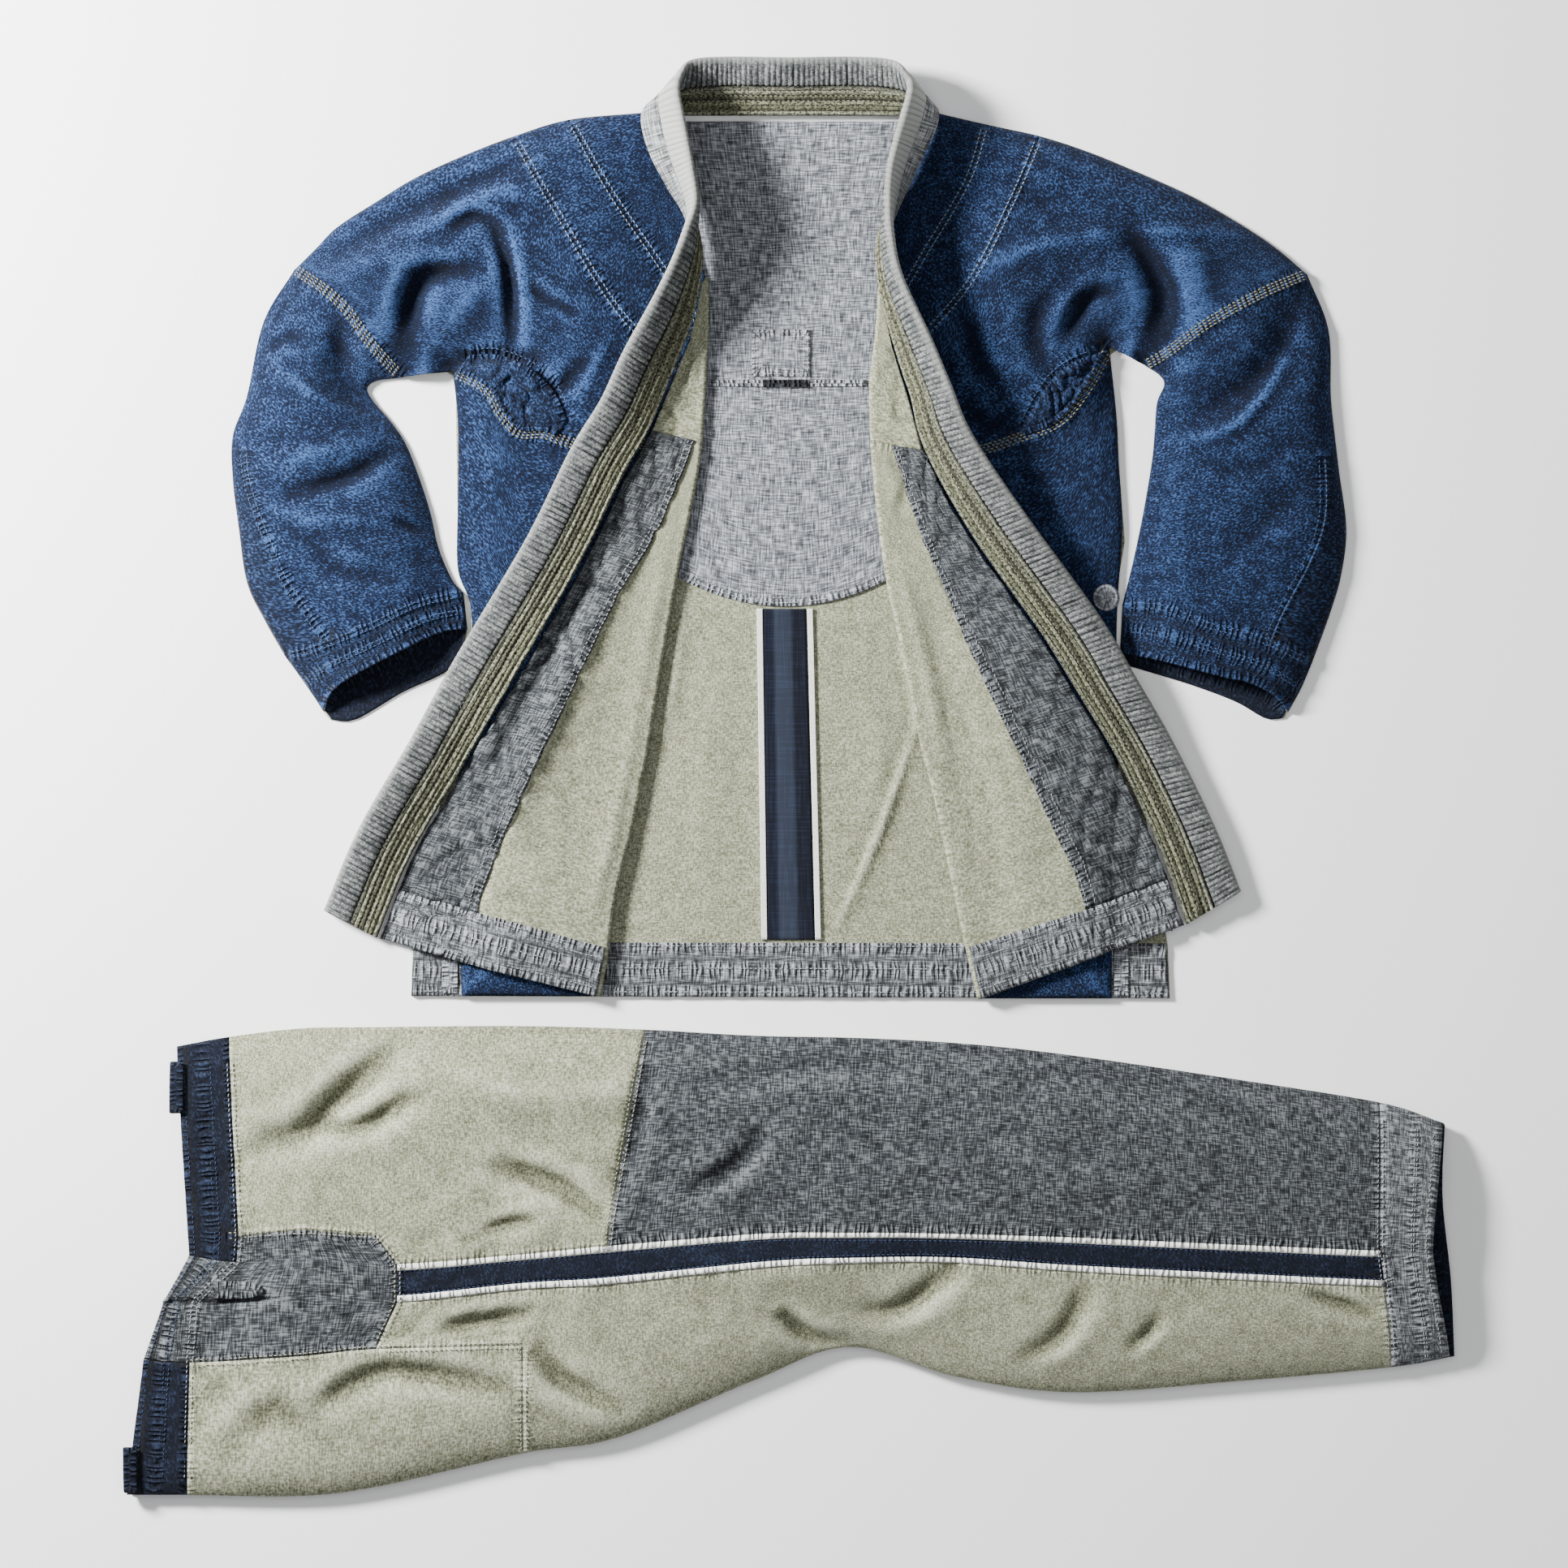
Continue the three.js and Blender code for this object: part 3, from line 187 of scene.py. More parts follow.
# %% Pattern lines of the jacket's right side
RIGHT = {
    "sign": 1,
    "shoulder": [[121, 560], [164, 550], [225, 535], [289, 511], [336, 490], [378, 466],
                 [411, 443], [434, 424]],
    "sleeve_seam": [[434, 424], [392, 405], [351, 382], [317, 358], [298, 347]],
    "sleeve_outer": [[434, 424], [452, 377], [454, 322], [457, 292], [461, 258], [467, 211],
                     [463, 173], [454, 141], [438, 97]],
    "sleeve_inner": [[298, 347], [310, 339], [314, 331], [308, 316], [306, 292], [304, 269],
                     [299, 238], [294, 211], [287, 179], [279, 146]],
    "cuff_line": [[438, 97], [390, 118], [351, 128], [312, 143], [279, 146]],
    "cuff_edge": [[418, 56], [406, 69], [385, 80], [358, 86], [314, 98], [277, 106]],
    "cuff_edge_below": [[415, 51], [399, 51], [374, 65], [334, 80], [281, 96]],
    "cuff_outer": [[438, 97], [429, 76], [418, 56]],
    "forearm_from": 0.47, "forearm_narrow": 0.08, "forearm_wide": 0.24,
    "chest_seam": [[268, 362], [248, 326], [225, 299], [192, 286], [154, 275], [105, 278],
                   [67, 283]],
    "side": [[268, 362], [274, 305], [276, 266], [279, 211], [275, 150], [274, 99], [276, 41],
             [274, -27], [271, -95], [270, -184]],
    "fold": [[67, 283], [71, 238], [80, 169], [95, 99], [108, 34], [121, -18], [136, -90],
             [144, -129], [157, -184]],
    "upper_fold": [[74, 418], [71, 374], [66, 330], [67, 283]],
    "facing": [[86, 280], [116, 190], [147, 118], [183, 39], [212, -23], [243, -93],
               [253, -150]],
    "turn_seam": [[113, 275], [152, 204], [212, 118], [242, 69], [274, 16], [308, -56],
                  [332, -122]],
    "upper_turn_seam": [[76, 408], [89, 357], [101, 320], [113, 275]],
    "back_side": [[268, 362], [281, 200], [273, 150], [273, 92], [285, 41], [304, -61],
                  [317, -137], [319, -186]],
    "armpit": [[268, 360], [300, 368]],
    "upper_lines": [
        [[121, 560], [105, 520], [84, 470]], [[164, 550], [148, 500], [110, 436]],
        [[210, 540], [184, 480], [146, 410]], [[250, 527], [208, 456], [152, 372]],
        [[289, 511], [240, 450], [180, 368]], [[336, 490], [276, 440], [208, 368]],
        [[378, 466], [308, 430], [236, 382]], [[408, 446], [352, 420], [284, 396]],
        [[434, 424], [392, 405], [351, 382]]],
}
SIDES = {"left": LEFT, "right": RIGHT}
print("right side:", len(RIGHT), "entries")

# %% [markdown]
# Sizes that several pieces share: how thick the cloths are, how high the cloth stands away from
# its edges, and how much room a turned-over front leaves above what it lies on.

# %% Shared sizes in mm
CLOTH = 2.0
TAPE = 1.3
SEAM = 0.3
EDGE_TOP = 4.6
SLEEVE_LOFT = 22
CHEST_LOFT = 10
TURN_GAP = 2.4
HALF_THICK = 6.8
TROUSER_LOFT = 16
LAPEL_WIDTH = 50
LAPEL_OUTSIDE = 7
LAPEL_INSIDE = 2
LINING_LOW = CLOTH + SEAM
LINING_TOP = LINING_LOW + TAPE
print("lining from", LINING_LOW, "to", LINING_TOP, "mm")

# %% [markdown]
# Three small tools turn pattern lines into surfaces. A Catmull-Rom curve runs smoothly through
# the drawn points, a Coons patch fills the space between four such curves, and a ruler measures
# how far each point of a surface lies from a line, which is how edges and seams are found.

# %% Smooth curves
def mix(a, b, t):
    """A straight blend: a where t is 0, b where t is 1."""
    return a + (b - a) * t


def ease(start, end, x):
    """0 at start and 1 at end, with the cubic 3t^2 - 2t^3 between them."""
    t = np.clip((x - start) / (end - start), 0, 1)
    return t * t * (3 - 2 * t)


def smooth(rows, t):
    """Catmull-Rom curve: between two rows it is the cubic whose slope at each row is half the
    difference of that row's neighbours. t runs 0 to 1, counted in rows."""
    rows = np.asarray(rows, float)
    t = np.asarray(t, float)
    spot = np.clip(t, 0, 1) * (len(rows) - 1)
    i = np.minimum(spot.astype(int), len(rows) - 2)
    f = (spot - i)[..., None]
    rows = np.concatenate([[2 * rows[0] - rows[1]], rows, [2 * rows[-1] - rows[-2]]])
    if rows.ndim == 2:
        a, b, c, d = (rows[i + k] for k in range(4))
    else:
        a, b, c, d = (np.take_along_axis(rows, (i + k)[None, ..., None], 0)[0]
                      for k in range(4))
    return 0.5 * (2 * b + (c - a) * f + (2 * a - 5 * b + 4 * c - d) * f ** 2
                  + (3 * b - a - 3 * c + d) * f ** 3)


def by_length(rows):
    """The same curve with t counted by the length of the straight lines between its rows."""
    rows = np.asarray(rows, float)
    steps = np.hypot(*(rows[1:, :2] - rows[:-1, :2]).T)
    run = np.concatenate([[0], np.cumsum(steps)])
    share = np.linspace(0, 1, len(rows))
    return lambda t: smooth(rows, np.interp(np.clip(t, 0, 1) * run[-1], run, share))


def length_of(rows):
    """Length of the straight lines between the rows, seen from above."""
    rows = np.asarray(rows, float)
    return float(np.hypot(*(rows[1:, :2] - rows[:-1, :2]).T).sum())


print("left fold is", round(length_of(LEFT["fold"])), "mm long")

# %% Patches between four curves
def between(top, bottom, left, right):
    """Coons patch: the blend of top and bottom plus the blend of left and right, less the blend
    of the four corners. u runs along top and bottom, v along left and right."""
    def patch(u, v):
        zero, one = np.zeros_like(u), np.ones_like(u)
        a, b = u[..., None], v[..., None]
        corners = mix(mix(top(zero), top(one), a), mix(bottom(zero), bottom(one), a), b)
        return mix(top(u), bottom(u), b) + mix(left(v), right(v), a) - corners
    return patch


# %% The ruler: distance to a line
def along_line(x, y, line):
    """For each point: the distance to the nearest of the line's straight parts, the length run
    along the line to there, and +1 or -1 for the side of the line."""
    line = np.asarray(line, float)
    best = np.full(np.shape(x), 1e9)
    run = np.zeros(np.shape(x))
    side = np.ones(np.shape(x))
    passed = 0.0
    for start, step in zip(line[:-1, :2], np.diff(line[:, :2], axis=0)):
        long = float(np.hypot(*step))
        t = np.clip(((x - start[0]) * step[0] + (y - start[1]) * step[1]) / long ** 2, 0, 1)
        dx, dy = x - start[0] - t * step[0], y - start[1] - t * step[1]
        away = np.hypot(dx, dy)
        near = away < best
        best = np.where(near, away, best)
        run = np.where(near, passed + t * long, run)
        side = np.where(near, np.where(step[0] * dy - step[1] * dx < 0, -1.0, 1.0), side)
        passed += long
    return best, run, side


def away_from(x, y, lines):
    """Distance to the nearest of several lines."""
    return np.min([along_line(x, y, line)[0] for line in lines], axis=0)


def inside(x, y, loop):
    """Even-odd rule: a point is inside if a ray to the right crosses the loop an odd number of
    times."""
    loop = np.asarray(loop, float)
    hit = np.zeros(np.shape(x), bool)
    for (ax, ay), (bx, by) in zip(loop, np.roll(loop, 1, axis=0)):
        crosses = (ay > y) != (by > y)
        hit ^= crosses & (x < (bx - ax) * (y - ay) / (by - ay if by != ay else 1) + ax)
    return hit


# %% [markdown]
# No cloth is even. Smooth random heights stand for the small unevenness of each piece. Each call
# has its own seed, so the gi comes out the same every time.

# %% Uneven cloth
def lumps(x, y, size, seed):
    """Value noise, from -1 to 1: random values on a lattice with one every size mm, blended
    between lattice points by the cubic 3t^2 - 2t^3."""
    table = np.random.default_rng(seed).uniform(-1, 1, (61, 61))
    u, v = x / size, y / size
    i, j = np.floor(u).astype(int), np.floor(v).astype(int)
    f, g = u - i, v - j
    f, g = f * f * (3 - 2 * f), g * g * (3 - 2 * g)
    low = mix(table[i % 61, j % 61], table[(i + 1) % 61, j % 61], f)
    high = mix(table[i % 61, (j + 1) % 61], table[(i + 1) % 61, (j + 1) % 61], f)
    return mix(low, high, g)


def creases(x, y, size, seed):
    """Narrow valleys between soft pillows, 0 on the pillows and -1 in the valleys: they run
    where bent noise passes through zero."""
    bent_x = x + size * 0.7 * lumps(x, y, size * 1.4, seed + 1)
    bent_y = y + size * 0.7 * lumps(x, y, size * 1.4, seed + 2)
    return -(1 - np.abs(lumps(bent_x, bent_y, size, seed))) ** 5


# %% [markdown]
# A fold in cloth is a trough with a ridge beside it, where the cloth that the trough takes up
# is pushed. It is deepest in the middle and fades towards both ends. Each row below is one fold
# that the eye finds on this gi.

# %% Folds as rows of a table
def folds(x, y, rows):
    """Sum over the rows: height times a bell curve across the fold's line, less half of that
    as a second bell 1.5 widths to one side (lean says which), times a sine along it."""
    total = np.zeros(np.shape(x))
    for start, middle, end, width, height, lean in rows:
        line = smooth([start, middle, end], np.linspace(0, 1, 9))
        away, run, side = along_line(x, y, line)
        at = run / length_of(line)
        q = away * side / width
        bell = np.exp(-np.abs(q) ** 1.7) - 0.5 * abs(lean) * np.exp(
            -(q - 1.5 * np.sign(lean)) ** 2)
        total = total + height * bell * np.sin(np.pi * mix(0.12, 0.88, at))
    return total


# Columns: start, middle and end of the fold, half width, height (below 0: trough), lean.
JACKET_FOLDS = [
    ([-390, 437], [-312, 480], [-232, 514], 13, -11, -0.6),
    ([-383, 424], [-326, 434], [-243, 429], 12, 5, 0),
    ([-305, 460], [-252, 490], [-214, 484], 8, 4, 0),
    ([-282, 463], [-262, 471], [-245, 462], 6, -7, 0.4),
    ([-246, 462], [-234, 420], [-232, 366], 6.5, -10, 0.5),
    ([-260, 428], [-308, 416], [-322, 364], 11, -14, -0.5),
    ([-292, 368], [-276, 392], [-258, 408], 13, 5, 0),
    ([-290, 345], [-254, 354], [-216, 352], 9, -12, 0),
    ([-216, 352], [-196, 326], [-174, 346], 7, -7, 0),
    ([-222, 420], [-208, 404], [-180, 390], 5, -4, 0.6),
    ([-152, 368], [-162, 348], [-172, 330], 4, 3, 0),
    ([-376, 382], [-372, 344], [-352, 306], 14, -13, 0.5),
    ([-440, 356], [-394, 318], [-344, 298], 7, 5, 0),
    ([-437, 362], [-420, 371], [-407, 364], 7, -6, 0),
    ([-450, 262], [-400, 270], [-346, 284], 9, 4, 0),
    ([-416, 240], [-367, 253], [-324, 281], 8, -9, 0),
    ([-438, 228], [-390, 216], [-336, 219], 8, 4, 0),
    ([-330, 216], [-314, 210], [-298, 205], 5, -6, 0.6),
    ([-400, 196], [-372, 172], [-330, 168], 9, -4, 0.5),
    ([288, 456], [314, 408], [303, 356], 15, -15, 0.4),
    ([276, 408], [250, 400], [230, 370], 9, -11, -0.6),
    ([154, 424], [216, 447], [292, 460], 11, 5, 0),
    ([298, 458], [346, 458], [392, 455], 7, 4, 0),
    ([326, 428], [338, 436], [354, 438], 11, 4, 0),
    ([430, 408], [404, 344], [312, 292], 20, -15, 0),
    ([316, 350], [334, 346], [352, 352], 8, 4, 0),
    ([312, 281], [378, 300], [430, 376], 6, 6, 0),
    ([352, 260], [392, 262], [420, 284], 9, -3, 0),
    ([358, 177], [399, 218], [430, 252], 14, -4, 0),
    ([222, 332], [206, 380], [240, 420], 12, -5, 0.5),
    ([150, 310], [168, 296], [186, 304], 7, -4, 0),
    ([146, 392], [158, 350], [176, 330], 9, -4, 0.5),
    ([262, 352], [270, 330], [262, 300], 8, -6, 0),
    ([188, 500], [214, 484], [236, 500], 9, -3, 0.5),
    ([-138, 214], [-214, 80], [-292, -64], 10, -11, 0),
]
print(len(JACKET_FOLDS), "folds of the jacket")

# %% [markdown]
# Height of the jacket's upper face. Cloth is held down at its edges and stands up between them
# because of its own stiffness, so the height grows with the distance from the nearest edge and
# soon levels off, like the charge of a battery. The sleeves stand highest.

# %% Upper face of the fronts and sleeves
def body_top(x, y, side):
    """Edge height + loft x (1 - e^(-distance to the edge / 26)) + folds. The loft is small
    beside the turned edge, larger on the chest and largest on the sleeves. Where a trough would
    go below the edge height, 15% of that depth is left."""
    edges = [side[name] for name in ("shoulder", "sleeve_outer", "sleeve_inner", "cuff_outer",
                                     "side")] + [[side["side"][-1], side["fold"][-1]]]
    away = away_from(x, y, edges)
    wide = np.abs(x)
    high = np.maximum(ease(230, 420, y), ease(275, 330, wide))
    inward = ease(450, 250, y) * 0.18 * (300 - np.maximum(y, -180))
    spread = ease(70, 190, wide - inward)
    loft = mix(2.4, mix(CHEST_LOFT, SLEEVE_LOFT, high), spread)
    rise = 1 - np.exp(-away / 26)
    base = EDGE_TOP + 1.7 * ease(-40, -130, y) * ease(330, 290, wide)
    small = 0.9 * lumps(x, y, 34, 3) + 0.5 * lumps(x, y, 15, 4)
    shape = loft * rise + (folds(x, y, JACKET_FOLDS) + small) * rise * mix(0.25, 1, spread)
    return base + np.maximum(shape, 0.15 * shape)


def rest_top(x, y, side):
    """What a turned front or a lapel lies on: the upper face of the body inside its outline, the
    edge of the back past it, and the table beyond that."""
    loop = [*side["side"], *side["fold"][::-1], *side["upper_fold"][::-1], *side["shoulder"],
            *side["sleeve_seam"]]
    top = body_top(x, y, side)
    collar = np.where(y > 552, ease(98, 119, np.abs(x)), 1)
    past = along_line(x, y, side["side"])[0]
    on_back = inside(x, y, [*side["back_side"], [0, -184], [0, 342]])
    past_back = np.where(on_back, 0, along_line(x, y, side["back_side"])[0])
    low = 4.1 * (1 - ease(0, 26, past_back)) + 2.2 * np.exp(-past / 12)
    neck = top * np.exp(-along_line(x, y, side["upper_fold"])[0] / 60)
    return np.where(inside(x, y, loop), top, np.where(y > 200, neck, low)) * collar


probe = np.array([[-330.0, 250.0], [-200.0, 420.0], [-200.0, 60.0]])
print("heights in mm:", body_top(probe[:, 0], probe[:, 1], LEFT).round(1))

# %% [markdown]
# From rows and columns of points to cloth. A shell has an outer face, an inner face one
# thickness away, and a rim between them, so it is closed and has real edges. Three values go
# with each point: how far it stands above its surroundings (the finishes paint raised cloth
# paler, partly as rubbing and partly as painted highlight, and hollows darker as painted
# shade), and the distance to the nearest seam and the length run along it, which the finishes
# need for puckers.

# %% Writing a mesh
def write_mesh(name, points, faces, materials, values=None):
    """faces: list of (corner rows, uv rows, material number, smooth). Points are in mm. All
    faces are turned round if the closed mesh would enclose a volume below zero."""
    volume = 0.0
    for rows, *_ in faces:
        a = points[rows[:, 0]]
        for k in range(1, rows.shape[1] - 1):
            volume += float((a * np.cross(points[rows[:, k]], points[rows[:, k + 1]])).sum())
    if volume < 0:
        faces = [(rows[:, ::-1], uvs[:, ::-1], number, soft)
                 for rows, uvs, number, soft in faces]
    mesh = bpy.data.meshes.new(name)
    mesh.vertices.add(len(points))
    mesh.vertices.foreach_set("co", (points * MM).astype(np.float32).ravel())
    corners = np.concatenate([rows.ravel() for rows, *_ in faces]).astype(np.int32)
    sizes = np.concatenate([np.full(len(rows), rows.shape[1]) for rows, *_ in faces])
    mesh.loops.add(len(corners))
    mesh.loops.foreach_set("vertex_index", corners)
    mesh.polygons.add(len(sizes))
    starts = np.concatenate([[0], np.cumsum(sizes)[:-1]]).astype(np.int32)
    mesh.polygons.foreach_set("loop_start", starts)
    numbers = np.concatenate([np.full(len(rows), number) for rows, _, number, _ in faces])
    rounded = np.concatenate([np.full(len(rows), soft) for rows, _, _, soft in faces])
    mesh.update(calc_edges=True)
    mesh.polygons.foreach_set("material_index", numbers.astype(np.int32))
    mesh.polygons.foreach_set("use_smooth", rounded.astype(bool))
    uv = mesh.uv_layers.new(name="cloth_uv")
    flat = np.concatenate([uvs.reshape(-1, 2) for _, uvs, *_ in faces])
    uv.data.foreach_set("uv", (flat * MM).astype(np.float32).ravel())
    for key, value in (values or {}).items():
        mesh.attributes.new(key, "FLOAT", "POINT").data.foreach_set(
            "value", value.astype(np.float32))
    for material in materials:
        mesh.materials.append(material)
    mesh.validate()
    piece = bpy.data.objects.new(name, mesh)
    bpy.context.scene.collection.objects.link(piece)
    return piece


def without_seams(stand):
    """The three values for a piece that has no seam: 99 mm from any."""
    return {"stand": stand, "seam_away": stand * 0 + 0.099, "seam_run": stand * 0}


# %% Closed shells of cloth
def sheet_normals(grid, ring):
    """Direction square to the sheet at each point: the cross product of the step along the rows
    and the step along the columns."""
    down = np.gradient(grid, axis=0)
    if ring:
        across = np.roll(grid, -1, 1) - np.roll(grid, 1, 1)
    else:
        across = np.gradient(grid, axis=1)
    square = np.cross(down, across)
    return square / np.maximum(np.linalg.norm(square, axis=2, keepdims=True), 1e-9)


def height_above_neighbours(grid, reach=5):
    """How far each point stands above the mean of the points round it, in mm."""
    z = grid[..., 2]
    total = np.zeros_like(z)
    padded = np.pad(z, reach, mode="edge")
    for step in range(-reach, reach + 1):
        total += padded[reach + step:reach + step + z.shape[0], reach:-reach]
        total += padded[reach:-reach, reach + step:reach + step + z.shape[1]]
    return z - total / (4 * reach + 2)


def shell(name, grid, thick, materials, wanted=None, ring=False, flip=False, seams=None,
          rim=0, lift=0.0):
    """A closed sheet made from the wanted cells of a grid of points (rows, columns, xyz in mm).
    The outer face is the grid moved out by lift, and the inner one lies thick below it."""
    rows, columns = grid.shape[:2]
    cells = np.ones((rows - 1, columns if ring else columns - 1), bool)
    cells = cells if wanted is None else wanted & cells
    normal = sheet_normals(grid, ring) * (-1 if flip else 1)
    outer = grid + normal * lift
    inner = outer - normal * thick
    ends = np.concatenate([grid, grid[:, :1]], axis=1) if ring else grid
    u = np.cumsum(np.linalg.norm(np.diff(ends, axis=1, prepend=ends[:, :1]), axis=2), axis=1)
    v = np.cumsum(np.linalg.norm(np.diff(ends, axis=0, prepend=ends[:1]), axis=2), axis=0)
    uv = np.stack([np.broadcast_to(u.mean(0), u.shape),
                   np.broadcast_to(v.mean(1)[:, None], v.shape)], axis=2)
    i, j = np.nonzero(cells)
    r = np.stack([i, i + 1, i + 1, i], axis=1)
    c = np.stack([j, j, j + 1, j + 1], axis=1)
    if flip:
        r, c = r[:, ::-1], c[:, ::-1]
    corner = r * columns + c % columns
    if ring:
        beside = [np.roll(cells, 1, 1), np.roll(cells, -1, 1)]
    else:
        beside = [np.pad(cells, ((0, 0), (1, 0)))[:, :-1], np.pad(cells, ((0, 0), (0, 1)))[:, 1:]]
    above = np.pad(cells, ((1, 0), (0, 0)))[:-1]
    below = np.pad(cells, ((0, 1), (0, 0)))[1:]
    size = rows * columns
    edge_rows, edge_uv = [], []
    for shift, (a, b) in ((beside[0], ((0, 0), (1, 0))), (below, ((1, 0), (1, 1))),
                          (beside[1], ((1, 1), (0, 1))), (above, ((0, 1), (0, 0)))):
        p, q = np.nonzero(cells & ~shift)
        first = (p + a[0]) * columns + (q + a[1]) % columns
        second = (p + b[0]) * columns + (q + b[1]) % columns
        if flip:
            first, second = second, first
        edge_rows.append(np.stack([second, first, first + size, second + size], axis=1))
        spot = uv[p + a[0], q + a[1]]
        edge_uv.append(np.repeat(spot[:, None], 4, axis=1))
    edge_rows, edge_uv = np.concatenate(edge_rows), np.concatenate(edge_uv)
    used, corners = np.unique(np.concatenate([corner.ravel(), corner.ravel() + size,
                                              edge_rows.ravel()]), return_inverse=True)
    points = np.concatenate([outer.reshape(-1, 3), inner.reshape(-1, 3)])[used]
    many = corner.size
    faces = [(corners[:many].reshape(-1, 4), uv[r, c], 0, True),
             (corners[many:2 * many].reshape(-1, 4)[:, ::-1], uv[r, c][:, ::-1],
              min(1, len(materials) - 1), True),
             (corners[2 * many:].reshape(-1, 4), edge_uv, rim, False)]
    # The finishes read stand for rubbed paleness, painted highlight on raised cloth and painted
    # shade in hollows.
    stand = height_above_neighbours(outer).ravel()
    away, run = np.full(size, 99.0), np.zeros(size)
    if seams is not None:
        away, run = (value.ravel() for value in nearest_seam(grid, seams))
    values = {"stand": np.concatenate([stand, stand])[used],
              "seam_away": np.concatenate([away, away])[used] * MM,
              "seam_run": np.concatenate([run, run])[used] * MM}
    piece = write_mesh(name, points, faces, materials, values)
    print(f"{name}: {len(piece.data.polygons)} faces")
    return piece


def nearest_seam(grid, seams):
    """Distance to the nearest seam line and the length run along that line, for each point."""
    away = np.full(grid.shape[:2], 99.0)
    run = np.zeros(grid.shape[:2])
    for number, line in enumerate(seams):
        d, s, _ = along_line(grid[..., 0], grid[..., 1], line)
        near = d < away
        away, run = np.where(near, d, away), np.where(near, s + 37 * number, run)
    return away, run


# %% Each finished piece goes into the frame
def finish_cloth(piece, nodes):
    """The piece rides on the only body and stands for its CAD nodes, which are hidden. The area of
    each of its faces is read, and not used further."""
    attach(piece, "root")
    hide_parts(*nodes)
    area = np.empty(len(piece.data.polygons), np.float32)
    piece.data.polygons.foreach_get("area", area)


def finish_padded(piece, node):
    """The piece rides on the only body and stands for its CAD node, which is hidden."""
    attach(piece, "root")
    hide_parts(node)


# %% [markdown]
# Finishes. Real cloth is threads, and a thread shows as a fine streak that is longer than it is
# wide. Noise squeezed one way gives such streaks; two sets at right angles give a plain weave
# with slubs, and one slanted set gives the twill of denim. Each effect is a node group, made
# once and used in many materials with its own values.

# %% Helpers for nodes
def put(tree, kind, **values):
    """Adds a node. A value sets the node's property of that name, or its input of that name or
    number (i0, i1, ...), and a socket as value is linked in."""
    node = tree.nodes.new("ShaderNode" + kind)
    for key, value in values.items():
        if key[0] == "i" and key[1:].isdigit():
            socket = node.inputs[int(key[1:])]
        elif key in node.inputs or key.replace("_", " ") in node.inputs:
            socket = node.inputs[key if key in node.inputs else key.replace("_", " ")]
        else:
            setattr(node, key, value)
            continue
        if isinstance(value, bpy.types.NodeSocket):
            tree.links.new(value, socket)
        else:
            socket.default_value = value
    return node


def sum_of(tree, operation, a, b=0.0, c=0.0):
    """A Math node's result: the operation on two or three values or sockets."""
    return put(tree, "Math", operation=operation, i0=a, i1=b, i2=c).outputs[0]


def new_group(name, inputs, outputs):
    """An empty node group with named inputs (with their usual values) and outputs."""
    group = bpy.data.node_groups.new(name, "ShaderNodeTree")
    for key, value in inputs.items():
        socket = group.interface.new_socket(key, in_out="INPUT", socket_type="NodeSocketFloat")
        socket.default_value = value
    for key in outputs:
        group.interface.new_socket(key, in_out="OUTPUT", socket_type="NodeSocketFloat")
    return group, group.nodes.new("NodeGroupInput"), group.nodes.new("NodeGroupOutput")


def streaks(tree, vector, across, along, detail=2.0):
    """Noise squeezed to the given numbers of streaks per metre."""
    scale = put(tree, "CombineXYZ", X=across, Y=along, Z=1.0).outputs[0]
    spot = put(tree, "VectorMath", operation="MULTIPLY", i0=vector, i1=scale).outputs[0]
    return put(tree, "TexNoise", Vector=spot, Scale=1.0, Detail=detail).outputs["Fac"]


# %% Plain weave with slubs
weave, entry, out = new_group("slubby_weave", {"Threads": 700.0, "Slub": 0.08},
                              ["Height", "Fleck"])
uv_map = put(weave, "UVMap", uv_map="cloth_uv").outputs[0]
slow = sum_of(weave, "MULTIPLY", entry.outputs["Threads"], entry.outputs["Slub"])
warp = streaks(weave, uv_map, entry.outputs["Threads"], slow)
weft = streaks(weave, uv_map, slow, entry.outputs["Threads"])
both = sum_of(weave, "ADD", warp, weft)
weave.links.new(sum_of(weave, "MULTIPLY", both, 0.5), out.inputs["Height"])
picked = put(weave, "MapRange", Value=both, i1=0.78, i2=1.22).outputs[0]
weave.links.new(picked, out.inputs["Fleck"])
print("group", weave.name)

# %% Twill of denim
twill, entry, out = new_group("denim_twill", {"Threads": 600.0, "Slub": 0.16},
                              ["Height", "Fleck"])
uv_map = put(twill, "UVMap", uv_map="cloth_uv").outputs[0]
turned = put(twill, "VectorRotate", rotation_type="Z_AXIS", Vector=uv_map,
             Angle=math.radians(62)).outputs[0]
slow = sum_of(twill, "MULTIPLY", entry.outputs["Threads"], entry.outputs["Slub"])
ridge = streaks(twill, turned, entry.outputs["Threads"], slow)
speck = put(twill, "TexNoise", Vector=uv_map, Scale=520.0, Detail=3.0).outputs["Fac"]
both = sum_of(twill, "ADD", ridge, speck)
twill.links.new(sum_of(twill, "MULTIPLY", both, 0.5), out.inputs["Height"])
picked = put(twill, "MapRange", Value=both, i1=0.72, i2=1.3).outputs[0]
twill.links.new(picked, out.inputs["Fleck"])
print("group", twill.name)

# %% Rubbing with painted highlight and painted shade, and puckers beside a seam
wear_shade_group, entry, out = new_group("wear_and_painted_shade", {}, ["Wear"])
stand = put(wear_shade_group, "Attribute", attribute_name="stand").outputs["Fac"]
uv_map = put(wear_shade_group, "UVMap", uv_map="cloth_uv").outputs[0]
patch = put(wear_shade_group, "TexNoise", Vector=uv_map, Scale=95.0, Detail=4.0).outputs["Fac"]
uneven = sum_of(wear_shade_group, "MULTIPLY_ADD", patch, 1.1, -0.55)
# Raised points turn paler, partly rubbed pale and partly a painted highlight, and hollows turn
# darker, which is painted shade.
raised = put(wear_shade_group, "MapRange", Value=stand, i1=-1.5, i2=1.5, i3=-0.5, i4=0.5).outputs[0]
wear_shade_group.links.new(sum_of(wear_shade_group, "ADD", raised, uneven), out.inputs["Wear"])

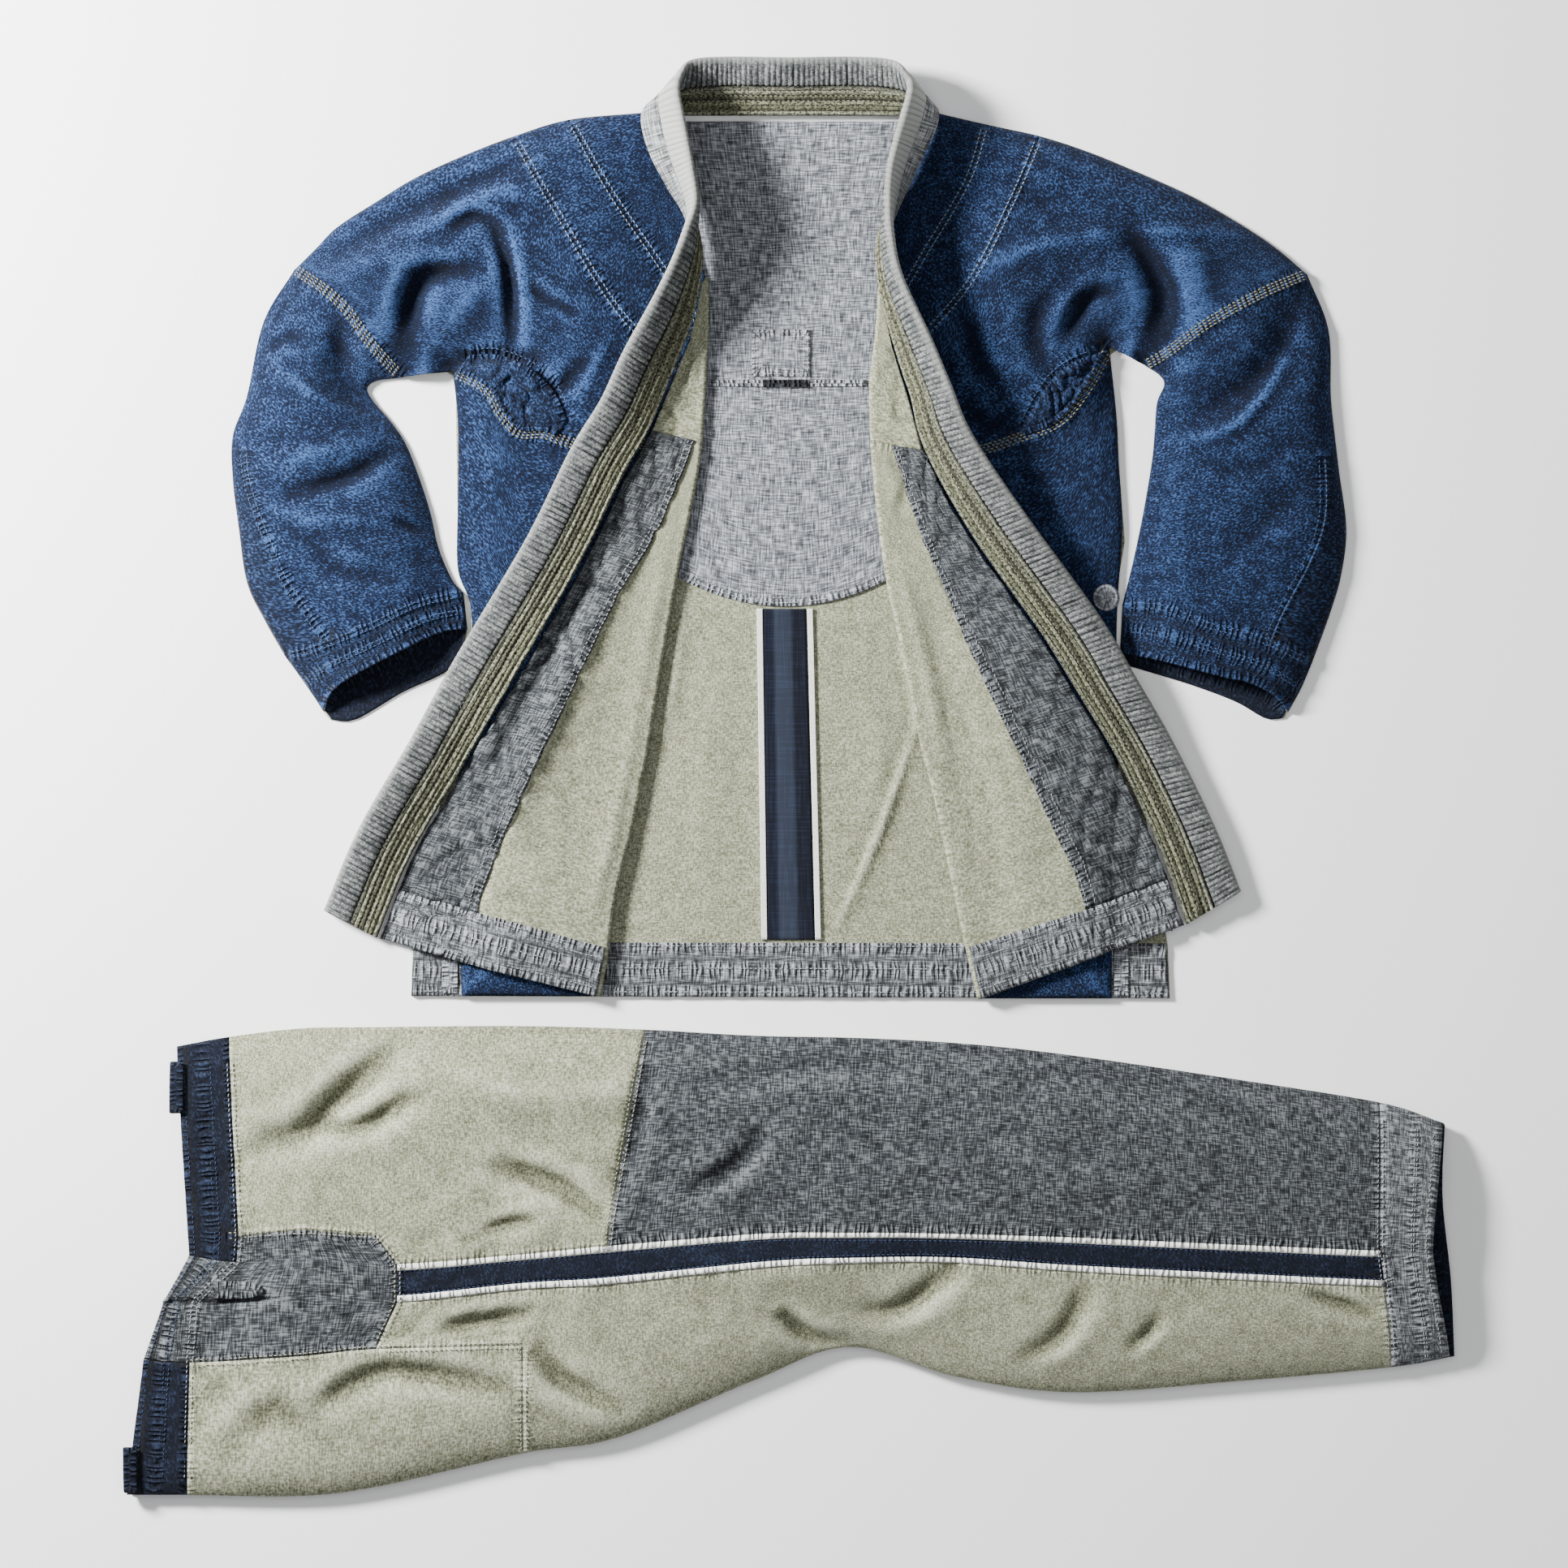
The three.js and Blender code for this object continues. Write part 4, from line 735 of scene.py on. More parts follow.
pucker, entry, out = new_group("seam_puckers", {"Pitch": 0.0052, "Reach": 0.006},
                               ["Height", "Crest"])
away = put(pucker, "Attribute", attribute_name="seam_away").outputs["Fac"]
run = put(pucker, "Attribute", attribute_name="seam_run").outputs["Fac"]
where = put(pucker, "CombineXYZ", X=run, Y=sum_of(pucker, "MULTIPLY", away, 0.35)).outputs[0]
drift = put(pucker, "TexNoise", Vector=where, Scale=90.0, Detail=1.0).outputs["Fac"]
turns = sum_of(pucker, "ADD", sum_of(pucker, "DIVIDE", run, entry.outputs["Pitch"]),
               sum_of(pucker, "MULTIPLY", drift, 3.0))
wave = sum_of(pucker, "SINE", sum_of(pucker, "MULTIPLY", turns, 2 * math.pi))
near = sum_of(pucker, "DIVIDE", away, entry.outputs["Reach"])
fade = sum_of(pucker, "EXPONENT", sum_of(pucker, "MULTIPLY", sum_of(
    pucker, "POWER", near, 2.0), -1.0))
height = sum_of(pucker, "MULTIPLY", wave, fade)
pucker.links.new(height, out.inputs["Height"])
pucker.links.new(put(pucker, "MapRange", Value=height, i1=0.15, i2=0.75).outputs[0],
                 out.inputs["Crest"])
print("groups", wear_shade_group.name, pucker.name)

# %% [markdown]
# A woven material mixes three colours of the same yarn: the shadowed, the usual and the pale
# one. What picks between them is the sum of the threads, the relief (raised cloth paler, partly
# rubbed and partly painted highlight; hollows darker, painted shade) and the puckers, each with
# its own share. The same threads and puckers feed the bump.

# %% The run across a piece, and a woven finish
def run_across(tree):
    """Distance across the piece in metres, from its own UV map."""
    uv_map = put(tree, "UVMap", uv_map="cloth_uv").outputs[0]
    return put(tree, "SeparateXYZ", Vector=uv_map).outputs["X"]


def blend(tree, amount, first, second, **more):
    """Colour between first (amount 0) and second (amount 1)."""
    return put(tree, "Mix", data_type="RGBA", i0=amount, i6=first, i7=second, **more).outputs[2]


def colour(red, green, blue):
    """sRGB values from 0 to 255 as the linear values that a shader takes."""
    value = np.array([red, green, blue]) / 255
    linear = np.where(value < 0.04045, value / 12.92, ((value + 0.055) / 1.055) ** 2.4)
    return (*linear, 1.0)


def woven(name, dark, usual, pale, cloth=None, threads=700.0, slub=0.08, fleck=0.9, wear_and_shade_by=0.25,
          crest=0.5, bump=0.35, pucker_bump=1.0, roughness=0.94, stripes=None):
    """A cloth of three colours. Threads is streaks per metre and slub is how many of them there
    are along a thread, as a share. Fleck, wear_and_shade_by and crest say how far the threads,
    the relief and the puckers pick the colour; the relief paints raised cloth paler, partly
    rubbed and partly a painted highlight, and hollows darker as painted shade. Stripes may
    colour the result by place."""
    material = bpy.data.materials.new(name)
    material.use_nodes = True
    tree = material.node_tree
    shader = tree.nodes["Principled BSDF"]
    shader.inputs["Roughness"].default_value = roughness
    shader.inputs["Sheen Weight"].default_value = 0.04
    shader.inputs["Specular IOR Level"].default_value = 0.15
    yarn = put(tree, "Group", node_tree=cloth or weave)
    yarn.inputs["Threads"].default_value = threads
    yarn.inputs["Slub"].default_value = slub
    wear_and_shade_node = put(tree, "Group", node_tree=wear_shade_group)
    seam = put(tree, "Group", node_tree=pucker)
    pick = sum_of(tree, "MULTIPLY_ADD", yarn.outputs["Fleck"], fleck, 0.5 - fleck / 2)
    # Relief share: raised cloth paler (rubbed, and painted highlight), hollows darker (painted
    # shade).
    pick = sum_of(tree, "MULTIPLY_ADD", wear_and_shade_node.outputs["Wear"], wear_and_shade_by, pick)
    pick = sum_of(tree, "MULTIPLY_ADD", seam.outputs["Crest"], crest, pick)
    ramp = put(tree, "ValToRGB", Fac=pick)
    ramp.color_ramp.elements[0].color = colour(*dark)
    ramp.color_ramp.elements[1].color = colour(*pale)
    ramp.color_ramp.elements.new(0.5).color = colour(*usual)
    shade = ramp.outputs["Color"]
    if stripes is not None:
        shade = stripes(tree, shade)
    tree.links.new(shade, shader.inputs["Base Color"])
    first = put(tree, "Bump", Strength=bump, Distance=0.0006, Height=yarn.outputs["Height"])
    second = put(tree, "Bump", Strength=pucker_bump, Distance=0.0011,
                 Height=seam.outputs["Height"], Normal=first.outputs["Normal"])
    tree.links.new(second.outputs["Normal"], shader.inputs["Normal"])
    return material


DENIM = woven("denim", (2, 5, 15), (10, 20, 42), (54, 80, 124), twill, 820.0, 0.42,
              fleck=0.85, wear_and_shade_by=0.55, crest=0.3)
DENIM_DARK = woven("denim_dark", (2, 4, 11), (8, 16, 34), (44, 66, 104), twill, 820.0, 0.42,
                   fleck=0.85, wear_and_shade_by=0.5, crest=0.4, pucker_bump=1.0)
CREAM = woven("cream_weave", (68, 70, 54), (124, 126, 104), (176, 178, 158), None, 800.0,
              0.4, fleck=0.65, wear_and_shade_by=0.5, crest=0.15, pucker_bump=0.45)
GREY = woven("grey_weave", (42, 45, 49), (102, 105, 110), (166, 170, 176), None, 820.0, 0.1,
             fleck=0.85, wear_and_shade_by=0.35, crest=0.45)
GREY_BAND = woven("grey_band", (26, 28, 31), (78, 81, 84), (142, 146, 150), None, 820.0, 0.1,
                  fleck=0.85, wear_and_shade_by=0.5, crest=0.5)
GREY_DARK = woven("grey_weave_dark", (14, 16, 18), (50, 53, 56), (106, 110, 113), None, 840.0,
                  0.12, fleck=0.85, wear_and_shade_by=0.5, crest=0.45)
NAVY = woven("navy_twill", (3, 5, 11), (11, 15, 26), (38, 48, 70), twill, 800.0, 0.3,
             fleck=0.6, wear_and_shade_by=0.4, crest=0.3)
WHITE = woven("white_piping", (168, 170, 162), (214, 216, 210), (236, 236, 232), None, 900.0,
              0.2, fleck=0.4, wear_and_shade_by=0.1, bump=0.2)
BLACK = woven("black_tape", (8, 8, 10), (16, 17, 20), (44, 46, 50), None, 900.0, 0.3,
              fleck=0.6, wear_and_shade_by=0.2)
print(len(bpy.data.materials), "materials")

# %% [markdown]
# Seams of the jacket. A felled seam is a flat band of doubled cloth, about 8 mm wide, between
# two rows of stitches. It stands a little above the panels and its edges dip where the thread
# pulls. The lines of all seams are worked out once, and used for the bands, the puckers and the
# stitches.

# %% Where the jacket's seams run
CELLS = 16                     # columns of the upper front's pattern


def upper_path(side, j, v):
    """Point of the upper front: j counts 0 to 16 across its pattern lines, v runs down each line
    from the shoulder to the turned edge, the chest seam or the edge under the arm."""
    turn = np.array([side["sign"] * (TURN_GAP / 2 + CLOTH), 0.0])
    chest = by_length(side["chest_seam"])
    fold_end = by_length(side["upper_fold"])(j / 6) + turn
    armpit = np.array([side["chest_seam"][0], side["sleeve_seam"][-1]], float)
    last = mix(armpit[0], armpit[1], np.clip((j - 14) / 2, 0, 1)[..., None])
    end = np.where((j <= 6)[..., None], fold_end, chest(1 - (j - 6) / 8))
    end = np.where((j > 14)[..., None], last, end)
    lines = np.array(side["upper_lines"], float)
    rows = np.stack([*(smooth(lines[:, k], j / CELLS) for k in range(3)), end])
    path = smooth(rows, v)
    seam = by_length(side["sleeve_seam"])(share_across(side, 10 * v, np.zeros_like(v)))
    return mix(path, seam, ease(CELLS - 1, CELLS, j)[..., None])


def share_across(side, j, v):
    """How far across the sleeve column j lies; the first two cells are the forearm panel, which
    widens towards the cuff."""
    panel = mix(side["forearm_narrow"], side["forearm_wide"], ease(side["forearm_from"], 1, v))
    return np.where(j <= 2, panel * j / 2, mix(panel, 1, (j - 2) / 8))


def sleeve_patch(side):
    """The sleeve's outline as a patch: u across it, v down it."""
    return between(by_length(side["sleeve_seam"]), by_length(side["cuff_line"]),
                   by_length(side["sleeve_outer"]), by_length(side["sleeve_inner"]))


for tag, side in SIDES.items():
    v = np.linspace(0, 1, 60)
    side["yoke_line"] = upper_path(side, np.full(60, 2.0), v)
    side["strip_line"] = upper_path(side, np.full(60, 4.0), v)
    side["sleeve_line"] = smooth(side["sleeve_seam"], v)
    side["chest_line"] = smooth(side["chest_seam"], v)
    down = mix(side["forearm_from"], 1, v)
    side["forearm_line"] = sleeve_patch(side)(share_across(side, np.full(60, 2.0), down), down)
    side["cuff_top"] = smooth(side["cuff_line"], v)
    side["cuff_end"] = smooth(side["cuff_edge"], v)
    side["cuff_middle"] = mix(side["cuff_top"], side["cuff_end"], 0.5)
LEFT["gusset_line"] = smooth([[-186, 300], [-196, 326], [-215, 345], [-245, 357], [-272, 356]],
                             np.linspace(0, 1, 40))
RIGHT["gusset_line"] = smooth([[191, 289], [198, 302], [208, 320], [219, 336], [238, 350],
                               [258, 357]], np.linspace(0, 1, 40))
print("yoke seam:", round(length_of(LEFT["yoke_line"])), "mm")

# %% Felled seams on the jacket's upper face
# Columns: line, half width of the band, how far it stands up, seed.
BANDS = [("yoke_line", 3.4, 0.6, 11), ("strip_line", 3.4, 0.6, 12), ("sleeve_line", 4.6, 0.9, 13),
         ("chest_line", 4.6, 1.1, 14), ("cuff_top", 3.2, 0.8, 15), ("cuff_middle", 1.6, 0.4, 16),
         ("forearm_line", 2.0, 0.5, 17)]


def band(x, y, line, half, high, seed):
    """A flat ridge of the given half width that eases to nothing outside it, with a shallow
    groove at each edge and ripples along it that the stitches pull."""
    away, run, _ = along_line(x, y, line)
    uneven = 1 + 0.45 * lumps(run, away * 0, 8, seed)
    ripple = 0.35 * high * np.sin(run * 2 * np.pi / 6.4 + 3 * lumps(run, away * 0, 21, seed))
    top = high * uneven * ease(half + 1.3, half - 0.5, away)
    groove = -0.35 * np.exp(-((away - half - 1.6) / 1.2) ** 2)
    return top + groove + ripple * np.exp(-(away / (half + 5)) ** 2)


def jacket_face(x, y, side):
    """Upper face of the jacket with its felled bands, and a groove along the gusset's line."""
    z = body_top(x, y, side)
    for name, half, high, seed in BANDS:
        z = z + band(x, y, side[name], half, high, seed)
    near = along_line(x, y, side["gusset_line"])[0]
    return z - 1.1 * np.exp(-(near / 2.2) ** 2)


SEAMS = {tag: [side[name] for name, *_ in BANDS] + [side["gusset_line"]]
         for tag, side in SIDES.items()}
print("seams per side:", len(SEAMS["left"]))

# %% [markdown]
# Sleeves. A sleeve that lies on a table is a flat tube: the lower wall is flat, the upper one
# arches over it, and each long edge is a tight round fold. The tube is a ring of columns round
# each row, made as one closed shell, denim outside and dark inside.

# %% Sleeve rings
EDGE_ROUND = 3.2
EDGE_MIDDLE = 2.4
SHOULDER_ROWS, FOREARM_ROWS = 51, 55   # rows of cells above the forearm panel and beside it
PANEL_COLUMNS = 13                     # columns of cells of the forearm panel


def edge_curve(to_edge):
    """Quarter circle: 0 at an edge and 1 from EDGE_ROUND inwards."""
    return np.sqrt(1 - (1 - np.clip(to_edge / EDGE_ROUND, 0, 1)) ** 2)


def spaced(count, ends=(0.004, 0.012, 0.024)):
    """Even shares from 0 to 1 with a few closer ones at both ends, where an edge is rounded."""
    ends = np.array(ends)
    return np.unique(np.concatenate([np.linspace(0, 1, count + 1), ends, 1 - ends]))


def flat_ring(top_xy, bottom_xy, top_z, to_edge):
    """Rows of a flat tube: the upper wall, then the lower wall back again. Near an edge both
    follow a quarter circle down or up to the edge's middle height."""
    curve = edge_curve(to_edge)
    top = np.dstack([top_xy, EDGE_MIDDLE + (top_z - EDGE_MIDDLE) * curve])
    bottom = np.dstack([bottom_xy, EDGE_MIDDLE - (EDGE_MIDDLE - 0.2) * curve])
    thin = [k for k in range(bottom.shape[1] - 2, 0, -1) if k < 6 or k % 3 == 0
            or k > bottom.shape[1] - 7]
    return np.concatenate([top, bottom[:, thin]], axis=1)


def sleeve_grid(side):
    """Sleeve as rows from the shoulder seam to the cuff, and columns round it."""
    j = np.concatenate([np.linspace(0, 0.3, 4)[:-1], np.linspace(0.3, 2, 11)[:-1],
                        np.linspace(2, 9.6, 50), [9.75, 9.87, 9.95, 10]])
    v = np.concatenate([np.linspace(0, side["forearm_from"], SHOULDER_ROWS + 1)[:-1],
                        np.linspace(side["forearm_from"], 1, FOREARM_ROWS + 1)])
    jj, vv = np.meshgrid(j, v)
    u = share_across(side, jj, vv)
    xy = sleeve_patch(side)(u, vv)
    wide = np.linalg.norm(xy[:, -1] - xy[:, 0], axis=1)[:, None]
    top_z = jacket_face(xy[..., 0], xy[..., 1], side)
    grid = flat_ring(xy, xy, top_z, np.minimum(u, 1 - u) * wide)
    in_panel = np.zeros((len(v) - 1, grid.shape[1]), bool)
    in_panel[SHOULDER_ROWS:, :PANEL_COLUMNS] = True
    return grid, in_panel


for tag, side in SIDES.items():
    grid, in_panel = sleeve_grid(side)
    parts = [("sleeve", ~in_panel, DENIM, "denim"),
             ("sleeve_forearm_panel", in_panel, DENIM_DARK, "denim_dark")]
    for name, wanted, outside, slot_name in parts:
        piece = shell(f"{name}_{tag}_cloth", grid, 1.4, [outside, NAVY], wanted, ring=True,
                      flip=side["sign"] > 0, seams=SEAMS[tag])
        finish_cloth(piece, [f"{name}_{tag}"])

# %% [markdown]
# Cuffs. A cuff is a doubled band at the sleeve's end. Its lower wall reaches further than the
# upper one here, so the dark inside of the sleeve shows below the edge, and the edge itself is a
# thin pale welt.

# %% Cuffs
def cuff_grid(side):
    """Cuff as rows from the sleeve's end to the cuff's edge, and columns round it."""
    line, edge, below = (np.array(side[name], float) for name in (
        "cuff_line", "cuff_edge", "cuff_edge_below"))
    above = between(by_length(line), by_length(edge), by_length(side["cuff_outer"]),
                    by_length([line[-1], edge[-1]]))
    under = between(by_length(line), by_length(below), by_length([line[0], below[0]]),
                    by_length([line[-1], below[-1]]))
    u, w = np.meshgrid(spaced(62, (0.003, 0.008, 0.016, 0.028)), np.linspace(0, 1, 27))
    xy = above(u, w)
    wide = np.linalg.norm(xy[:, -1] - xy[:, 0], axis=1)[:, None]
    x, y = xy[..., 0], xy[..., 1]
    roll = 0.9 * np.exp(-((w - 0.955) / 0.04) ** 2)
    top_z = jacket_face(x, y, side) + roll
    return flat_ring(xy, under(u, w), top_z, np.minimum(u, 1 - u) * wide)


for tag, side in SIDES.items():
    grid = cuff_grid(side)
    piece = shell(f"cuff_{tag}_cloth", grid, 1.5, [DENIM_DARK, NAVY, CREAM], ring=True,
                  flip=side["sign"] > 0, seams=SEAMS[tag] + [side["cuff_end"]], rim=2)
    finish_cloth(piece, [f"cuff_{tag}"])

# %% [markdown]
# Upper fronts. The yoke beside the neck, the strip over the shoulder and the chest are three
# pieces of one surface. They share their border lines exactly, so the felled bands run over the
# joins as they do on a real jacket. At the shoulder the cloth rolls over towards the back.

# %% Upper fronts
STRIP_COLUMNS = 14             # columns of cells of the yoke, and of the strip
CHEST_COLUMNS = 78


def upper_grid(side):
    """Rows down from the shoulder, where the cloth curls under, and columns across."""
    j = np.concatenate([np.linspace(0, 4, 2 * STRIP_COLUMNS + 1)[:-1],
                        np.linspace(4, CELLS, CHEST_COLUMNS + 1)])
    v = np.concatenate([[0, 0.003, 0.007, 0.012, 0.018], np.linspace(0.026, 1, 80)])
    jj, vv = np.meshgrid(j, v)
    xy = upper_path(side, jj, vv)
    x, y = xy[..., 0], xy[..., 1]
    steps = np.linalg.norm(np.diff(xy, axis=0, prepend=xy[:1]), axis=2)
    to_edge = np.cumsum(steps, axis=0)
    z = 0.4 + (jacket_face(x, y, side) - 0.4) * edge_curve(to_edge)
    return np.dstack([xy, z])


for tag, side in SIDES.items():
    grid = upper_grid(side)
    zone = np.broadcast_to(np.minimum(np.arange(grid.shape[1] - 1) // STRIP_COLUMNS, 2),
                           (grid.shape[0] - 1, grid.shape[1] - 1))
    for number, name in enumerate(("neck_yoke", "shoulder_strip", "front_upper")):
        piece = shell(f"{name}_{tag}_cloth", grid, 1.5, [DENIM, CREAM], zone == number,
                      flip=side["sign"] < 0, seams=SEAMS[tag])
        finish_cloth(piece, [f"{name}_{tag}"])

# %% [markdown]
# Gussets. A leaf of cloth sits under each arm, between the chest seam and a curved seam above
# it. It has more cloth than it needs, so it lies in deep small crumples.

# %% Gussets
def gusset_grid(side):
    """Leaf between the upper part of the chest seam and the gusset's own line: u runs along
    both, v from one to the other."""
    chest = np.array(side["chest_line"])[::-1]
    start = np.argmin(np.linalg.norm(chest - side["gusset_line"][0], axis=1))
    lower = by_length(chest[start:])
    upper = by_length(side["gusset_line"])
    u, v = np.meshgrid(np.linspace(0.02, 0.97, 62), np.linspace(0.06, 0.94, 36))
    xy = mix(lower(u), upper(u), v[..., None])
    x, y = xy[..., 0], xy[..., 1]
    leaf = np.sin(np.pi * np.clip(v, 0, 1)) * np.sin(np.pi * u) ** 0.5
    crumple = 4.5 * creases(x, y, 17, 21) + 2.6 * creases(x, y, 9, 24) + 1.4 * lumps(x, y, 8, 27)
    return np.dstack([xy, jacket_face(x, y, side) + 1.0 + (crumple + 1.8) * leaf])


for tag, side in SIDES.items():
    grid = gusset_grid(side)
    piece = shell(f"gusset_{tag}_cloth", grid, 0.9, [DENIM_DARK], flip=side["sign"] < 0,
                  seams=[side["chest_line"], side["gusset_line"]])
    finish_cloth(piece, [f"gusset_{tag}"])

# %% [markdown]
# Lower fronts. Each front is one panel that lies on the back, turns round at its fold, and
# comes back over itself with its cream inside up. The grid walks the same way: across the
# panel, round a half circle, and out again to the lapel's seam.

# %% Creases of the turned-over insides
# Columns as for the jacket's folds.
INSIDE_FOLDS = {
    "left": [([-140, 190], [-188, 84], [-238, -36], 13, 6.0, 0),
             ([-128, 40], [-148, -40], [-168, -120], 16, 3.2, 0),
             ([-96, 200], [-114, 120], [-132, 30], 12, 2.4, 0),
             ([-232, 60], [-262, -2], [-292, -60], 10, 3.0, 0),
             ([-318, -92], [-284, -62], [-242, -54], 4, -2.2, 0.8),
             ([-330, -118], [-300, -104], [-262, -96], 4, -2.0, -0.8),
             ([-300, -132], [-270, -112], [-248, -70], 4, -1.6, 0.6),
             ([-190, 62], [-214, 8], [-236, -50], 6, 1.2, 0),
             ([-110, 262], [-122, 232], [-118, 200], 5, -1.8, 0.7)],
    "right": [([117, 136], [147, 20], [178, -102], 12, -3.4, 0.5),
              ([92, 180], [112, 96], [128, 20], 9, 2.4, 0),
              ([150, 120], [176, 52], [206, -40], 9, 1.8, 0),
              ([122, 245], [136, 222], [160, 214], 5, -2.8, 0.8),
              ([124, 206], [142, 204], [166, 186], 5, -2.6, -0.8),
              ([148, 180], [170, 176], [188, 160], 6, -2.0, 0.8),
              ([196, 90], [214, 70], [236, 68], 5, -1.6, 0.7),
              ([214, 20], [236, 12], [262, 14], 5, -1.5, 0.7),
              ([238, -60], [262, -70], [292, -62], 5, -1.5, 0.7),
              ([84, 268], [98, 252], [92, 226], 6, -2.2, -0.8)],
}
print("creases inside:", {tag: len(rows) for tag, rows in INSIDE_FOLDS.items()})

# %% The folded front as one grid
FOLD_STEPS = 7


def folded_front(side, tag, v, under, fold, facing, seam, shares):
    """Rows v down the front. Columns: under the turned part (if there is one), round the fold
    on a half circle of radius half the turn gap, and over the turned part by share, 0 at the
    fold, 1 at the facing's edge and 2 at the lapel's seam."""
    turn = TURN_GAP / 2
    start = fold(v) + [side["sign"] * (turn + CLOTH), 0]
    level = body_top(start[:, 0], start[:, 1], side)
    blocks = []
    if under is not None:
        xy = under
        z = jacket_face(xy[..., 0], xy[..., 1], side)
        blocks.append(np.dstack([xy, z]))
    turns = np.linspace(-np.pi / 2, np.pi / 2, FOLD_STEPS)[None, :]
    bend = np.cos(turns) * turn
    blocks.append(np.dstack([start[:, :1] - side["sign"] * bend, start[:, 1:] + bend * 0,
                             level[:, None] + turn * (1 + np.sin(turns))]))
    middle, end = facing(v), seam(v)
    gap = np.linalg.norm(end - middle, axis=1, keepdims=True)
    stop = mix(end, middle, np.minimum(LAPEL_INSIDE + SEAM, gap / 2) / gap)
    s = shares[None, 1:, None]
    xy = np.where(s <= 1, mix(start[:, None], middle[:, None], s),
                  mix(middle[:, None], stop[:, None], s - 1))
    x, y = xy[..., 0], xy[..., 1]
    far = ease(0, 40, np.abs(x - start[:, :1]))
    wave = folds(x, y, INSIDE_FOLDS[tag]) + 0.7 * lumps(x, y, 26, 31) + 0.3 * lumps(x, y, 9, 32)
    grey = ease(0.96, 1.04, np.broadcast_to(shares[None, 1:], x.shape))
    wave = wave + grey * (2.4 * creases(x, y, 24, 33) + 1.0 * creases(x, y, 11, 36) + 1.0)
    wave = np.maximum(wave, -1.6) * ease(0, 14, np.abs(x - start[:, :1]))
    z = mix(level[:, None], rest_top(x, y, side), far) + TURN_GAP + wave
    blocks.append(np.dstack([xy, z]))
    return np.concatenate(blocks, axis=1)


HEM_SHARE = 10 / 11            # rows below this carry the hem band
FRONT_ROWS, HEM_ROWS = 110, 12  # rows of cells above the hem band and along it
FACING_COLUMN = 40             # the facing begins this many cells past the turned edge
SIDE_LOW = 3.0                 # height of the panel at its side seam
FACING_FACE = 3.5              # from the grid to the facing's outer face
lower_fronts = {}
for tag, side in SIDES.items():
    v = np.concatenate([np.linspace(0, HEM_SHARE, FRONT_ROWS + 1)[:-1],
                        np.linspace(HEM_SHARE, 1, HEM_ROWS + 1)])
    fold = by_length(side["fold"])
    u, vv = np.meshgrid(spaced(50, (0.004, 0.012, 0.02))[:-1], v)
    hem = lambda t, side=side, fold=fold: mix(np.array(side["side"][-1], float),
                                              fold(np.ones(1))[0], t[..., None])
    patch = between(by_length(side["chest_seam"]), hem, by_length(side["side"]), fold)
    under = patch(u, vv)
    inner = [k for k in range(under.shape[1]) if np.all(
        side["sign"] * (under[:, k, 0] - fold(v)[:, 0]) > TURN_GAP)]
    shares = np.concatenate([np.linspace(0, 1, FACING_COLUMN + 1)[:-1], np.linspace(1, 2, 31)])
    grid = folded_front(side, tag, v, under[:, inner], fold, by_length(side["facing"]),
                        by_length(side["turn_seam"]), shares)
    lower_fronts[tag] = (grid, len(inner), shares, v)
    curve = edge_curve(np.abs(grid[:, :len(inner), 0] - grid[:, :1, 0]))
    grid[:, :len(inner), 2] = SIDE_LOW + (grid[:, :len(inner), 2] - SIDE_LOW) * curve
    piece = shell(f"front_{tag}_cloth", grid, 2.0, [DENIM, CREAM], flip=side["sign"] > 0,
                  seams=SEAMS[tag])
    finish_cloth(piece, [f"front_{tag}"])

# %% [markdown]
# Facings and hem bands lie on the turned-over inside. They are made from its own points, moved
# out past its thickness, so they follow each of its creases.

# %% Facings and hem bands
for tag, side in SIDES.items():
    grid, first, shares, v = lower_fronts[tag]
    normal = sheet_normals(grid, False) * (-1 if side["sign"] > 0 else 1)
    base = first + FOLD_STEPS - 1
    facing = (grid - normal * 2.1)[:FRONT_ROWS + 1, base + FACING_COLUMN:]
    edge_line = by_length(side["facing"])(v)
    top_of = side["sign"] < 0
    piece = shell(f"front_facing_{tag}_cloth", facing, 1.3, [GREY_DARK], flip=top_of, lift=1.3,
                  seams=[edge_line])
    finish_cloth(piece, [f"front_facing_{tag}"])
    hem = (grid - normal * 2.1)[FRONT_ROWS:, base:]
    line_top, line_low = hem[0, :, :2], hem[-1, :, :2]
    piece = shell(f"front_hem_band_{tag}_cloth", hem, 1.5, [GREY_BAND], flip=top_of,
                  lift=1.5, seams=[line_top, mix(line_top, line_low, 0.5), line_low])
    finish_cloth(piece, [f"front_hem_band_{tag}"])

# %% Cream inside beside the neck
for tag, side in SIDES.items():
    v = np.linspace(0, 1, 56)
    fold, seam = by_length(side["upper_fold"]), by_length(side["upper_turn_seam"])
    facing = lambda t, fold=fold, seam=seam: mix(fold(t), seam(t), 0.5)
    grid = folded_front(side, tag, v, None, fold, facing, seam, np.linspace(0, 2, 17))
    piece = shell(f"front_upper_inside_{tag}_cloth", grid, 1.8, [DENIM, CREAM],
                  flip=side["sign"] > 0)
    finish_cloth(piece, [f"front_upper_inside_{tag}"])

# %% [markdown]
# The lapel is the gi's signature: one stiff band from hem to hem round the neck. Its inner part
# shows sewn rows, which are cords between lines of stitches, and its rim is ribbed across. The
# band lies flat at the fronts and stands up round the neck, where its seam and its rim are
# closer together in plan than the band is wide.

